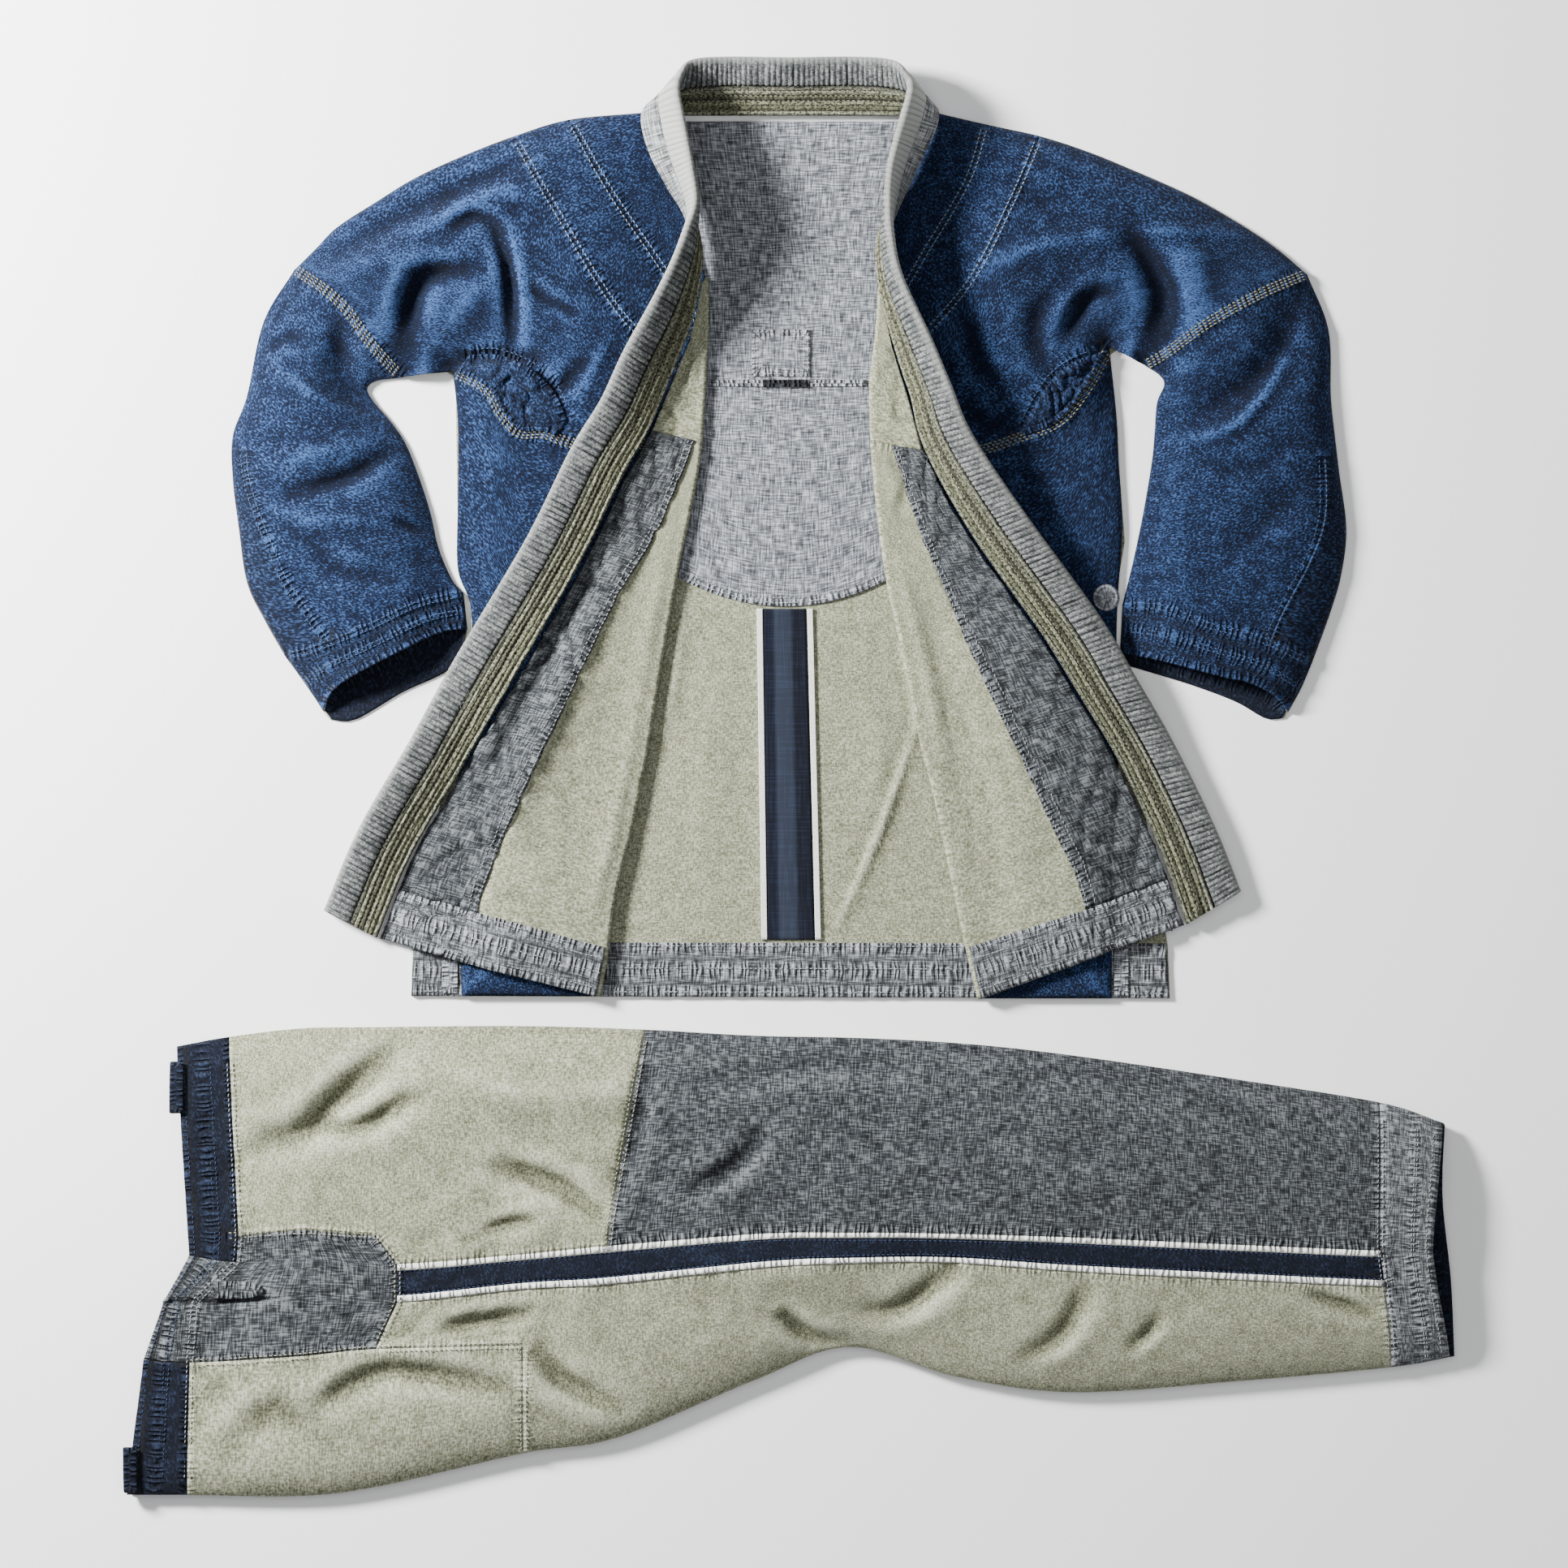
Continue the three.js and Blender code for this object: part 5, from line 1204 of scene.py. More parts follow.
# %% The lapel's line
# Columns: x and y of the seam, x and y of the rim, from the left hem round the neck.
LAPEL = [
    [-346, -133, -391, -110], [-318, -65, -360, -41], [-274, 10, -317, 33],
    [-237, 73, -281, 100], [-177, 177, -221, 199], [-140, 252, -183, 275],
    [-118, 292, -157, 316], [-101, 333, -138, 355], [-84, 377, -115, 394],
    [-76, 415, -97, 426], [-75, 445, -84, 456], [-84, 475, -76, 479], [-100, 499, -79, 507],
    [-114, 524, -83, 530], [-121, 547, -87, 551], [-119, 559, -91, 574], [-106, 557, -88, 590],
    [-84, 556, -79, 600], [-50, 556, -50, 603], [0, 556, 0, 602], [50, 556, 49, 603],
    [84, 556, 80, 600], [106, 557, 92, 591], [119, 559, 97, 576], [119, 547, 91, 552],
    [108, 524, 85, 530], [96, 500, 80, 507], [85, 479, 79, 483], [74, 449, 81, 454],
    [76, 408, 89, 418], [89, 357, 114, 366], [101, 320, 131, 327], [113, 275, 151, 284],
    [152, 204, 196, 220], [212, 118, 259, 136], [242, 69, 291, 82], [274, 16, 323, 27],
    [308, -56, 356, -40], [332, -122, 378, -94]]
# Columns: name, first and last row of the table above. Neighbours stop short of each other.
LAPEL_PARTS = [("lapel_left", 0, 12.999), ("collar", 13.001, 24.999),
               ("lapel_right", 25.001, 38)]


def lapel_heights(rows):
    """Height of the band's seam and rim. The seam's foot clears what lies below; the rim stands
    over it by the third side of a triangle whose longest side is the band's width."""
    seam, rim = rows[:, :2], rows[:, 2:]
    near = np.clip(np.arange(len(rows))[:, None] + [-1, 1], 0, len(rows) - 1)
    along = (seam + rim)[near[:, 1]] - (seam + rim)[near[:, 0]]
    gap = rim - seam
    wide = np.hypot(*gap.T)
    up = np.sign(along[:, 0] * gap[:, 1] - along[:, 1] * gap[:, 0]) * np.minimum(
        wide / LAPEL_WIDTH, 1)
    rest = np.zeros(len(rows))
    rim_rest = np.zeros(len(rows))
    for side in (LEFT, RIGHT):
        here = (rows[:, 0] < 0) == (side["sign"] < 0)
        first = rest_top(seam[:, 0], seam[:, 1], side)
        second = rest_top(seam[:, 0] + 8 * side["sign"], seam[:, 1], side)
        rest = np.where(here, np.maximum(first, second), rest)
        rim_rest = np.where(here, rest_top(rim[:, 0], rim[:, 1], side), rim_rest)
    foot = rest + 1.5 + 3.6 * (1 - np.abs(up)) + np.maximum(LAPEL_OUTSIDE * up,
                                                          -LAPEL_INSIDE * up)
    rise = np.sqrt(np.maximum(LAPEL_WIDTH ** 2 - wide ** 2, 4))
    lying = rim_rest + 2.5 + LAPEL_OUTSIDE * np.maximum(up, 0)
    return foot, np.maximum(foot + rise, lying)


lapel = np.array(LAPEL, float)
foot, top = lapel_heights(lapel)
lapel_rows = np.column_stack([lapel[:, :2], foot, lapel[:, 2:], top])


def lapel_frame(row):
    """Seam point, the way across to the rim, and the direction square to the band."""
    last = len(lapel_rows) - 1
    here = smooth(lapel_rows, row / last)
    ahead = smooth(lapel_rows, np.minimum(row + 0.2, last) / last)
    behind = smooth(lapel_rows, np.maximum(row - 0.2, 0) / last)
    along = (ahead - behind)[:, :3] + (ahead - behind)[:, 3:]
    across = here[:, 3:] - here[:, :3]
    square = np.cross(along, across)
    return here[:, :3], across, square / np.linalg.norm(square, axis=1, keepdims=True)


print("lapel's highest point:", round(float(top.max()), 1), "mm")

# %% Lapel rows at even steps
def lapel_steps(start, end, step):
    """Row numbers that lie step mm apart along the middle of the band, and the length to each."""
    fine = np.linspace(start, end, 2000)
    seam, across, _ = lapel_frame(fine)
    middle = seam + across * 0.6
    run = np.concatenate([[0], np.cumsum(np.linalg.norm(np.diff(middle, axis=0), axis=1))])
    want = np.linspace(0, run[-1], int(run[-1] / step) + 1)
    return np.interp(want, run, fine), want


def lofted(name, row, run, share, height, raised, materials, shown=99):
    """A closed band: the section (share of the way to the rim, height over the band's middle
    face) is set square to the band at each row, and both ends are filled with a fan. Raised says
    how far each point stands up. Columns from shown on carry the last material."""
    seam, across, square = lapel_frame(row)
    grid = seam[:, None] + across[:, None] * share[..., None] + square[:, None] * height[..., None]
    rows, columns = grid.shape[:2]
    i, j = (part.ravel() for part in np.mgrid[0:rows - 1, 0:columns])
    r = np.stack([i, i + 1, i + 1, i], axis=1)
    c = np.stack([j, j, j + 1, j + 1], axis=1)
    steps = np.linalg.norm(np.diff(np.concatenate([grid[:1], grid[:1, :1]], axis=1), axis=1),
                           axis=2)[0]
    u = np.concatenate([[0], np.cumsum(steps)])
    uv = np.stack([u[c], run[r]], axis=2)
    corner = r * columns + c % columns
    hidden = j >= shown
    faces = [(corner[~hidden], uv[~hidden], 0, True),
             (corner[hidden], uv[hidden], len(materials) - 1, True)]
    points = np.concatenate([grid.reshape(-1, 3), grid[:1].mean(1), grid[-1:].mean(1)])
    ring = np.arange(columns)
    for start, centre, turned in ((0, rows * columns, 1), ((rows - 1) * columns,
                                                          rows * columns + 1, -1)):
        fan = np.stack([np.full(columns, centre), start + (ring + 1) % columns, start + ring],
                       axis=1)[:, ::-turned]
        faces.append((fan, np.zeros((columns, 3, 2)), 0, False))
    stand = np.concatenate([raised.ravel(), [0, 0]])
    piece = write_mesh(name, points, faces, materials, without_seams(stand))
    print(f"{name}: {len(piece.data.polygons)} faces, {run[-1]:.0f} mm long")
    return piece


# %% Finish of the ribbed rim, with painted shade and a painted highlight
def rib_painted_light_and_shade(tree, shade):
    """Painted shade darkens the grooves between the ribs, by how far each point stands up, and the
    outer edge is painted pale as a painted highlight.
    """
    ribbed = put(tree, "MapRange", Value=run_across(tree), i1=0.023, i2=0.033).outputs[0]
    # Painted highlight: the rolled outer edge is painted pale.
    shade = blend(tree, ribbed, colour(148, 150, 146), shade)
    rib = put(tree, "Attribute", attribute_name="stand").outputs["Fac"]
    # Painted shade: the grooves between the ribs turn near black.
    deep = put(tree, "MapRange", Value=rib, i1=0.1, i2=-0.6).outputs[0]
    return blend(tree, deep, shade, colour(14, 15, 16))


# A strong relief share here gives the rib crests a painted highlight and the grooves painted
# shade.
RIBBED = woven("ribbed_rim", (34, 36, 36), (74, 77, 77), (140, 143, 141), None, 900.0, 0.3,
               fleck=0.6, wear_and_shade_by=0.9, crest=0.0, bump=0.2, stripes=rib_painted_light_and_shade)
LAPEL_BACK = woven("lapel_outside", (48, 50, 52), (108, 111, 112), (164, 166, 166), None, 700.0,
                   0.05, fleck=1.1, wear_and_shade_by=0.2, crest=0.0)
RIB_PITCH = 4.6
RIB_STEPS = 5                  # rows of cells for each rib
RIB_DEPTH = 1.25
RIM_CENTRE = np.array([0.77, -2.2])
RIM_SHARE = 0.531              # share of the way to the rim where the ribbed part begins
# Section of the rim. Columns: share of the way to the rim, height, how deep the ribs are there.
RIM_SECTION = np.array([
    [0.533, -7, 0.2], [0.64, -7.1, 0.4], [0.74, -7, 0.5], [0.84, -6.9, 0.4], [0.92, -6.3, 0.3],
    [0.975, -5, 0.2], [1.0, -3.2, 0.15], [0.998, -1.2, 0.2], [0.97, 0.5, 0.35],
    [0.92, 1.8, 0.6], [0.85, 2.5, 0.8], [0.77, 2.9, 1.0], [0.69, 3.0, 1.0], [0.61, 2.8, 1.1],
    [0.555, 2.2, 1.1], [0.533, 1.2, 0.7], [0.533, -1.5, 0.0], [0.533, -4.5, 0.0]])


def closed_curve(rows, count):
    """Catmull-Rom curve through the rows and back to the first one."""
    loop = np.concatenate([rows[-2:], rows, rows[:3]])
    spots = np.linspace(2, 2 + len(rows), count, endpoint=False)
    return smooth(loop, spots / (len(loop) - 1))


rim = closed_curve(RIM_SECTION, 26)
for name, start, end in LAPEL_PARTS:
    row, run = lapel_steps(start, end, RIB_PITCH / RIB_STEPS)
    jitter = 0.5 * lumps(run, run * 0, 23, 41)
    rib = np.abs(np.cos(np.pi * (run / RIB_PITCH + jitter))) ** 0.6 - 0.6
    rib = RIB_DEPTH * rib * (1 + 0.25 * lumps(run, run * 0, 5, 42))
    depth = rib[:, None] * rim[None, :, 2]
    out = (rim[:, :2] - RIM_CENTRE) * [LAPEL_WIDTH, 1]
    out = out / np.linalg.norm(out, axis=1, keepdims=True)
    share = rim[None, :, 0] + depth * out[None, :, 0] / LAPEL_WIDTH
    height = rim[None, :, 1] + depth * out[None, :, 1]
    piece = lofted(f"{name}_rim_cloth", row, run, np.maximum(share, RIM_SHARE), height, depth,
                   [RIBBED])
    finish_padded(piece, f"{name}_rim")

# %% Sewn rows of the lapel's inner part
# Columns: share of the way to the rim where the row starts, colour.
SEWN_ROWS = [(0.0, (12, 13, 10)), (0.03, (142, 144, 122)), (0.115, (96, 97, 76)),
             (0.2, (136, 137, 112)), (0.285, (66, 67, 54)), (0.37, (104, 105, 84)),
             (0.45, (146, 148, 128)), (0.507, (18, 19, 16))]
STRIPED_SHARE = 0.527          # share of the way to the rim where the inner part ends
CORDS = 6
CORD_STEP = 2.9                # mm between rows of points along the cords
CORD_HIGH = 1.6
k = np.linspace(0, 1, 61)
top_share = mix(0.008, STRIPED_SHARE, k)
top_height = 0.5 + CORD_HIGH * np.abs(np.sin(np.pi * CORDS * k)) ** 0.6
ROWS_RUN = length_of(np.column_stack([top_share * LAPEL_WIDTH, top_height])) / STRIPED_SHARE


def rows_with_painted_shade(tree, shade):
    """Colour bands by the run over the cords, over the weave's own shade, and painted shade where
    the cords dip between them.
    """
    part = sum_of(tree, "DIVIDE", run_across(tree), ROWS_RUN * MM)
    ramp = put(tree, "ValToRGB", Fac=part)
    ramp.color_ramp.elements[0].color = colour(*SEWN_ROWS[0][1])
    ramp.color_ramp.elements[1].position = 0.999
    ramp.color_ramp.elements[1].color = colour(*SEWN_ROWS[4][1])
    for share, tint in SEWN_ROWS[1:]:
        ramp.color_ramp.elements.new(share + 0.02).color = colour(*tint)
    tinted = blend(tree, 1.0, shade, ramp.outputs["Color"], blend_type="MULTIPLY")
    # Painted shade: low points between the cords turn near black.
    rib = put(tree, "Attribute", attribute_name="stand").outputs["Fac"]
    deep = put(tree, "MapRange", Value=rib, i1=-0.3, i2=-1.1).outputs[0]
    return blend(tree, deep, tinted, colour(16, 17, 14))


SEWN = woven("sewn_rows", (96, 96, 96), (196, 196, 196), (250, 250, 250), None, 620.0, 0.45,
             fleck=1.3, wear_and_shade_by=0.2, crest=0.0, bump=0.4, stripes=rows_with_painted_shade)
low_share = np.array([STRIPED_SHARE, 0.4, 0.2, 0.06, 0.008])
low_height = np.array([-7.0, -7.0, -7.0, -7.0, -5.4])
for name, start, end in LAPEL_PARTS:
    row, run = lapel_steps(start, end, CORD_STEP)
    uneven = 1 + 0.22 * lumps(run[:, None] + 0 * k, 400 * k[None, :] + 0 * run[:, None], 14, 51)
    height = np.concatenate([top_height * uneven, np.tile(low_height, (len(run), 1))], axis=1)
    share = np.tile(np.concatenate([top_share, low_share]), (len(run), 1))
    raised = np.concatenate([top_height * uneven - CORD_HIGH, np.zeros((len(run), 5))], axis=1)
    piece = lofted(f"{name}_striped_cloth", row, run, share, height, raised, [SEWN, LAPEL_BACK],
                   shown=len(k))
    finish_padded(piece, f"{name}_striped")

# %% [markdown]
# The back lies under everything, with its inside up. Its outline is drawn as a left and a right
# edge for each height, which makes it a simple grid. Between the fronts it shows cream cloth
# with two soft creases, the lining, the stripe and the hem band.

# %% Back panel
BACK_FOLDS = [([106, 44], [76, -41], [40, -122], 3.4, 4.2, 0),
              ([94, 112], [103, 75], [106, 40], 3.2, 3.6, 0),
              ([62, 60], [74, 20], [66, -30], 14, 2.0, 0),
              ([-60, 100], [-72, 0], [-66, -110], 18, 1.6, 0),
              ([-88, 150], [-96, 90], [-104, 40], 6, 2.0, 0)]
BACK_TOP, BACK_HEM = 550.0, -182.0


def back_edges(side):
    """x of the back's edge for a height y, a little inside the CAD outline at the shoulder."""
    low = side["back_side"][:0:-1]
    arm = [[x - side["sign"] * 4, y] for x, y in side["sleeve_seam"][::-1]
           if y > side["armpit"][1][1]]
    top = [[x, y - 4] for x, y in side["shoulder"][-2::-1]]
    line = np.array([*low, *side["armpit"], *arm, *top], float)
    return lambda y: np.interp(y, line[:, 1], line[:, 0])


def back_height(x, y):
    """Height of the back's inside: flat but for soft creases between the fronts."""
    soft = folds(x, y, BACK_FOLDS) + 0.35 * lumps(x, y, 30, 61) + 0.15 * lumps(x, y, 11, 62)
    middle = ease(170, 90, np.abs(x)) * ease(-150, -120, y)
    return CLOTH + np.maximum(soft, 0) * middle


# Narrower steps where the creases are.
u = np.unique(np.concatenate([np.linspace(0, 1, 58), np.linspace(0.3, 0.7, 86)]))
u, v = np.meshgrid(u, np.linspace(0, 1, 118))
y = mix(BACK_HEM, BACK_TOP, v)
x = mix(back_edges(LEFT)(y), back_edges(RIGHT)(y), u)
y = y - 2.0 * u * ease(20, -182, y)
piece = shell("back_panel_cloth", np.dstack([x, y, back_height(x, y)]), 1.8, [CREAM, DENIM],
              flip=True)
finish_cloth(piece, ["back_panel"])

# %% Lining, hem band and stripe of the back
def panel_between(name, left, right, rows, columns, low, thick, materials, relief=None,
                  seams=None):
    """A sheet between a left and a right line that run from its top to its bottom."""
    u, v = np.meshgrid(np.linspace(0, 1, columns + 1), np.linspace(0, 1, rows + 1))
    xy = mix(by_length(left)(v), by_length(right)(v), u[..., None])
    x, y = xy[..., 0], xy[..., 1]
    z = low + thick + np.maximum(back_height(x, y) - CLOTH, 0)
    if relief is not None:
        z = z + relief(x, y)
    return shell(name, np.dstack([xy, z]), thick, materials, seams=seams)


def lining_grid():
    """The lining: straight sides down to its corners, and a bowed lower edge between them."""
    u, v = np.meshgrid(np.linspace(0, 1, 66), np.linspace(0, 1, 132))
    left = by_length([[-99, 552], [-84, 470], [-80, 420], [-80, 300], [-94, 169]])(v)
    right = by_length([[99, 552], [84, 470], [84, 420], [79, 300], [90, 171]])(v)
    xy = mix(left, right, u[..., None])
    bow = 25 * (1 - (2 * u - 1) ** 2) * ease(0.55, 1, v)
    return xy[..., 0], xy[..., 1] - bow


x, y = lining_grid()
wave = 0.35 * lumps(x * 2.2, y, 26, 63) + 0.15 * lumps(x, y, 8, 64)
grid = np.dstack([x, y, LINING_TOP + 0.2 + wave])
lining_edge = [grid[-1, :, :2]]
piece = shell("back_lining_cloth", grid, 1.2, [GREY], seams=lining_edge)
finish_cloth(piece, ["back_lining"])
HEM_TOP = -137.0               # y of the hem band's upper edge
hem_relief = lambda x, y: 0.5 * lumps(x, y, 9, 65) * ease(HEM_TOP + 1, HEM_TOP - 5, y)
hem_lines = [[[-317, level], [317, level - 2]] for level in (HEM_TOP - 2, -160, -179)]
piece = panel_between("back_hem_band_cloth", [[-316, HEM_TOP], [-318, -182]],
                      [[316, HEM_TOP - 1], [318, -184]], 18, 250, LINING_LOW, TAPE, [GREY_BAND],
                      hem_relief, [np.array(line, float) for line in hem_lines])
finish_cloth(piece, ["back_hem_band"])


def stripe_shade(tree, shade):
    """A paler ribbon down the middle of the stripe, by the distance across it."""
    ramp = put(tree, "ValToRGB", Fac=sum_of(tree, "DIVIDE", run_across(tree), 0.04))
    ends = ramp.color_ramp.elements
    ends[0].color = ends[1].color = colour(8, 11, 20)
    ends[1].position = 0.999
    for position, tint in ((0.2, (12, 16, 28)), (0.27, (40, 46, 58)), (0.58, (36, 42, 54)),
                           (0.66, (9, 12, 20))):
        ends.new(position).color = colour(*tint)
    return blend(tree, 0.75, shade, ramp.outputs["Color"])


STRIPE = woven("stripe_navy", (6, 8, 15), (15, 19, 32), (44, 52, 74), None, 700.0, 0.04,
               fleck=0.9, wear_and_shade_by=0.25, crest=0.3, stripes=stripe_shade)
for name, x_top, x_low, wide, high, cloth in (
        ("back_piping_left", -28, -24, 4.8, 1.9, WHITE),
        ("back_stripe", -22.9, -18.9, 38, 1.3, STRIPE),
        ("back_piping_right", 14.2, 21.2, 4.8, 1.9, WHITE)):
    widen = 1.7 if name == "back_stripe" else 0
    piece = panel_between(f"{name}_cloth", [[x_top, 143], [x_low, -134.8]],
                          [[x_top + wide - widen, 143], [x_low + wide + widen, -134.8]], 110,
                          16 if name == "back_stripe" else 8, LINING_LOW, high, [cloth])
    finish_cloth(piece, [name])

# %% Small pieces on the back
flat_base = LINING_TOP + SEAM
for name, left, right, top, bottom, low, high, cloth, slot_name in (
        ("side_vent_tape_left", -292, -279, -148, -180, flat_base, 1.0, GREY, "ribbed_grey"),
        ("side_vent_tape_right", 272, 284, -138, -182, flat_base, 1.0, GREY, "ribbed_grey"),
        ("name_patch", -32, 17, 377, 338, flat_base, 0.8, GREY, "grey_weave"),
        ("lining_seam_fold", -66, 64, 335, 329.5, flat_base, 0.9, GREY, "grey_weave"),
        ("hanger_loop", -23, 15, 335, 329, flat_base + 1.3, 1.2, BLACK, "black_tape")):
    edge = np.array([[left, top], [left, bottom]], float)
    border = np.array([[left, top], [right, top], [right, bottom], [left, bottom], [left, top]],
                      float)
    piece = panel_between(f"{name}_cloth", edge, edge + [right - left, 0], 22, 26, low, high,
                          [cloth], seams=[border])
    finish_cloth(piece, [name])

# %% Round badge on the right front
BADGE = (265.0, 152.0)
BADGE_RADIUS = 10.5
BADGE_SPOKES, BADGE_RINGS = 72, 15
turn, ring = np.meshgrid(np.linspace(0, 2 * np.pi, BADGE_SPOKES + 1)[:-1],
                         np.linspace(0, 1, BADGE_RINGS))
x = BADGE[0] + BADGE_RADIUS * ring * np.cos(turn)
y = BADGE[1] + BADGE_RADIUS * ring * np.sin(turn)
raised = 1.0 * np.exp(-((ring - 0.9) / 0.07) ** 2) + 0.5 * np.exp(-((ring - 0.5) / 0.05) ** 2)
z = jacket_face(x, y, RIGHT) + 1.6 + raised - 0.8 * ease(0.95, 1, ring)
piece = shell("round_badge_cloth", np.dstack([x, y, z]), 1.0, [GREY], ring=True, flip=True)
finish_cloth(piece, ["round_badge"])

# %% [markdown]
# Trousers. The upper leg is a flat tube that lies on the hidden half. Its pattern is a table
# with a row for each line across the leg. Piece borders are columns of that table: the upper
# edge, the patch, the stripe with its pipings, the lower patch and the lower edge.

# %% Pattern of the trousers
# Columns: upper edge, hip patch above, stripe above, stripe below, hip patch below, lower edge.
LEG = np.array([
    [[-514, -224], [-504, -382], [-503, -399], [-524, -437], [-541, -486], [-556, -600]],
    [[-470, -216], [-461, -382], [-463, -404], [-498, -437], [-502, -488], [-505, -600]],
    [[-410, -209], [-406, -377], [-401, -402], [-404, -437], [-408, -482], [-412, -601]],
    [[-352, -208], [-346, -381], [-328, -405], [-328, -437], [-346, -476], [-345, -593]],
    [[-226, -207], [-224, -375], [-223, -397], [-223, -426], [-223, -473], [-223, -565]],
    [[-121, -210], [-150, -370], [-152, -390], [-153, -422], [-150, -470], [-145, -552]],
    [[-30, -215], [-28, -361], [-26, -380], [-26, -408], [-24, -446], [-30, -504]],
    [[60, -217], [56, -360], [55, -379], [55, -404], [52, -440], [50, -476]],
    [[150, -222], [140, -361], [137, -380], [137, -404], [138, -447], [140, -501]],
    [[240, -232], [238, -363], [236, -383], [236, -411], [237, -455], [237, -514]],
    [[370, -251], [372, -370], [372, -389], [372, -418], [372, -460], [372, -505]],
    [[494, -271], [493, -374], [493, -394], [497, -424], [502, -462], [504, -493]],
    [[547, -288], [538, -374], [537, -395], [541, -425], [549, -463], [553, -484]]], float)
LEG_HEM_BELOW = [[549, -289], [547, -350], [554, -419], [557, -484]]
WAISTBAND, PATCH_END, SEAT_END, KNEE, HEM_BAND, HEM = 1, 3, 4, 5, 11, 12
STRIPE_WIDTH, PIPING = 29.0, 5.0
LEG_BASE = HALF_THICK + SEAM
LEG_STEP = 4.4                 # mm between rows of points along the leg


def leg_lines(s):
    """The six columns of the pattern at each s, which counts rows of the table."""
    return np.stack([smooth(LEG[:, k], s / HEM) for k in range(6)], axis=1)


def leg_grid(s, t):
    """Points for rows s of the table and columns t, straight between the six lines."""
    lines = leg_lines(s)
    k = np.minimum(t.astype(int), 4)
    return mix(lines[:, k], lines[:, k + 1], (t - k)[None, :, None])


outline = leg_lines(np.linspace(0, HEM, 61))
print("leg length along its upper edge:", round(length_of(outline[:, 0])), "mm")

# %% Folds of the trousers
# Columns as for the jacket's folds.
TROUSER_FOLDS = [
    ([-438, -303], [-400, -289], [-330, -220], 13, -7, 0.5),
    ([-393, -292], [-356, -289], [-319, -267], 8, -5, 0.6),
    ([-239, -325], [-193, -340], [-164, -360], 10, -6, 0.5),
    ([-254, -377], [-234, -371], [-213, -369], 6, -3, 0.6),
    ([-288, -460], [-254, -452], [-220, -447], 7, -4, 0.6),
    ([-206, -481], [-190, -503], [-145, -526], 11, -7, -0.5),
    ([-395, -524], [-336, -496], [-236, -508], 10, -5, 0.5),
    ([132, -413], [93, -442], [56, -446], 10, -6, 0.5),
    ([-3, -451], [21, -469], [48, -475], 8, -9, 0.5),
    ([132, -236], [25, -235], [-79, -255], 12, -3.5, 0.5),
    ([-25, -298], [-50, -326], [-84, -341], 9, -4, 0.6),
    ([195, -244], [304, -252], [396, -286], 12, -4.5, 0.5),
    ([246, -427], [229, -462], [198, -483], 9, -4.5, 0.6),
    ([308, -449], [300, -462], [286, -475], 6, -3.5, 0.6),
    ([437, -432], [460, -439], [487, -447], 6, -3.5, 0.6),
    ([-300, -240], [-220, -262], [-120, -262], 18, 3, 0),
    ([-90, -400], [-20, -412], [60, -398], 20, 3, 0),
    ([-470, -560], [-430, -530], [-380, -560], 14, -3, 0.5),
    ([-120, -235], [-132, -300], [-150, -352], 9, -2.5, 0.5),
    ([170, -300], [230, -330], [300, -330], 20, 2.5, 0),
]
SLIT = np.array([[-521, -437], [-498, -437], [-470, -436], [-434, -434]], float)
POCKET = np.array([[-495, -486], [-407, -483], [-346, -478], [-224, -462], [-224, -470],
                   [-226, -520], [-227, -560]], float)
PATCH_SEAM = np.array([[-470, -382], [-406, -377], [-346, -381], [-328, -405], [-328, -437],
                       [-346, -476]], float)


def leg_edge(s_from, s_to, column, count=60):
    """A stretch of one of the six lines that run along the leg."""
    return leg_lines(np.linspace(s_from, s_to, count))[:, column]


def cross_line(s, t_from=0.0, t_to=5.0):
    """A line across the leg at row s of the table."""
    return leg_grid(np.array([float(s)]), np.linspace(t_from, t_to, 40))[0]


# Columns: line, half width of the felled band, how far it stands up, seed.
LEG_BANDS = [
    (cross_line(WAISTBAND), 3.0, 0.9, 71), (cross_line(0.5), 1.2, 0.3, 72),
    (PATCH_SEAM, 2.6, 0.6, 73), (cross_line(SEAT_END, 4, 5), 3.0, 0.8, 74),
    (leg_edge(WAISTBAND, SEAT_END, 4), 3.0, 0.8, 75), (cross_line(KNEE, 0, 2), 3.0, 0.8, 76),
    (leg_edge(PATCH_END, HEM_BAND, 2), 2.4, 0.5, 77),
    (leg_edge(PATCH_END, HEM_BAND, 3), 2.4, 0.5, 78), (cross_line(HEM_BAND), 2.6, 0.9, 79),
    (cross_line((HEM_BAND + HEM) / 2), 1.2, 0.3, 80)]
LEG_SEAMS = [line for line, *_ in LEG_BANDS] + [cross_line(HEM), cross_line(0)]


def leg_top(x, y):
    """Edge height + loft x (1 - e^(-distance to the edge / 24)) + folds, as on the jacket."""
    away = away_from(x, y, [outline[:, 0], outline[:, 5]])
    waist = along_line(x, y, LEG[0])[0]
    rise = 1 - np.exp(-away / 24)
    loft = TROUSER_LOFT * mix(0.5, 1, ease(0, 110, waist))
    hip = ease(-440, -470, x)
    small = 1.0 * lumps(x, y, 36, 81) + 0.5 * lumps(x, y, 14, 82)
    small = small + hip * 1.6 * creases(x * 0.5, y, 15, 83)
    crumpled = ease(-500, -480, x) * ease(-230, -260, x) * ease(-376, -386, y) * ease(
        -476, -466, y)
    small = small + crumpled * (1.8 * creases(x, y * 1.4, 21, 86) + 0.4)
    shape = loft * rise + (1.8 * folds(x, y, TROUSER_FOLDS) + small) * rise
    return LEG_BASE + 3.4 + np.maximum(shape, 0.15 * shape)


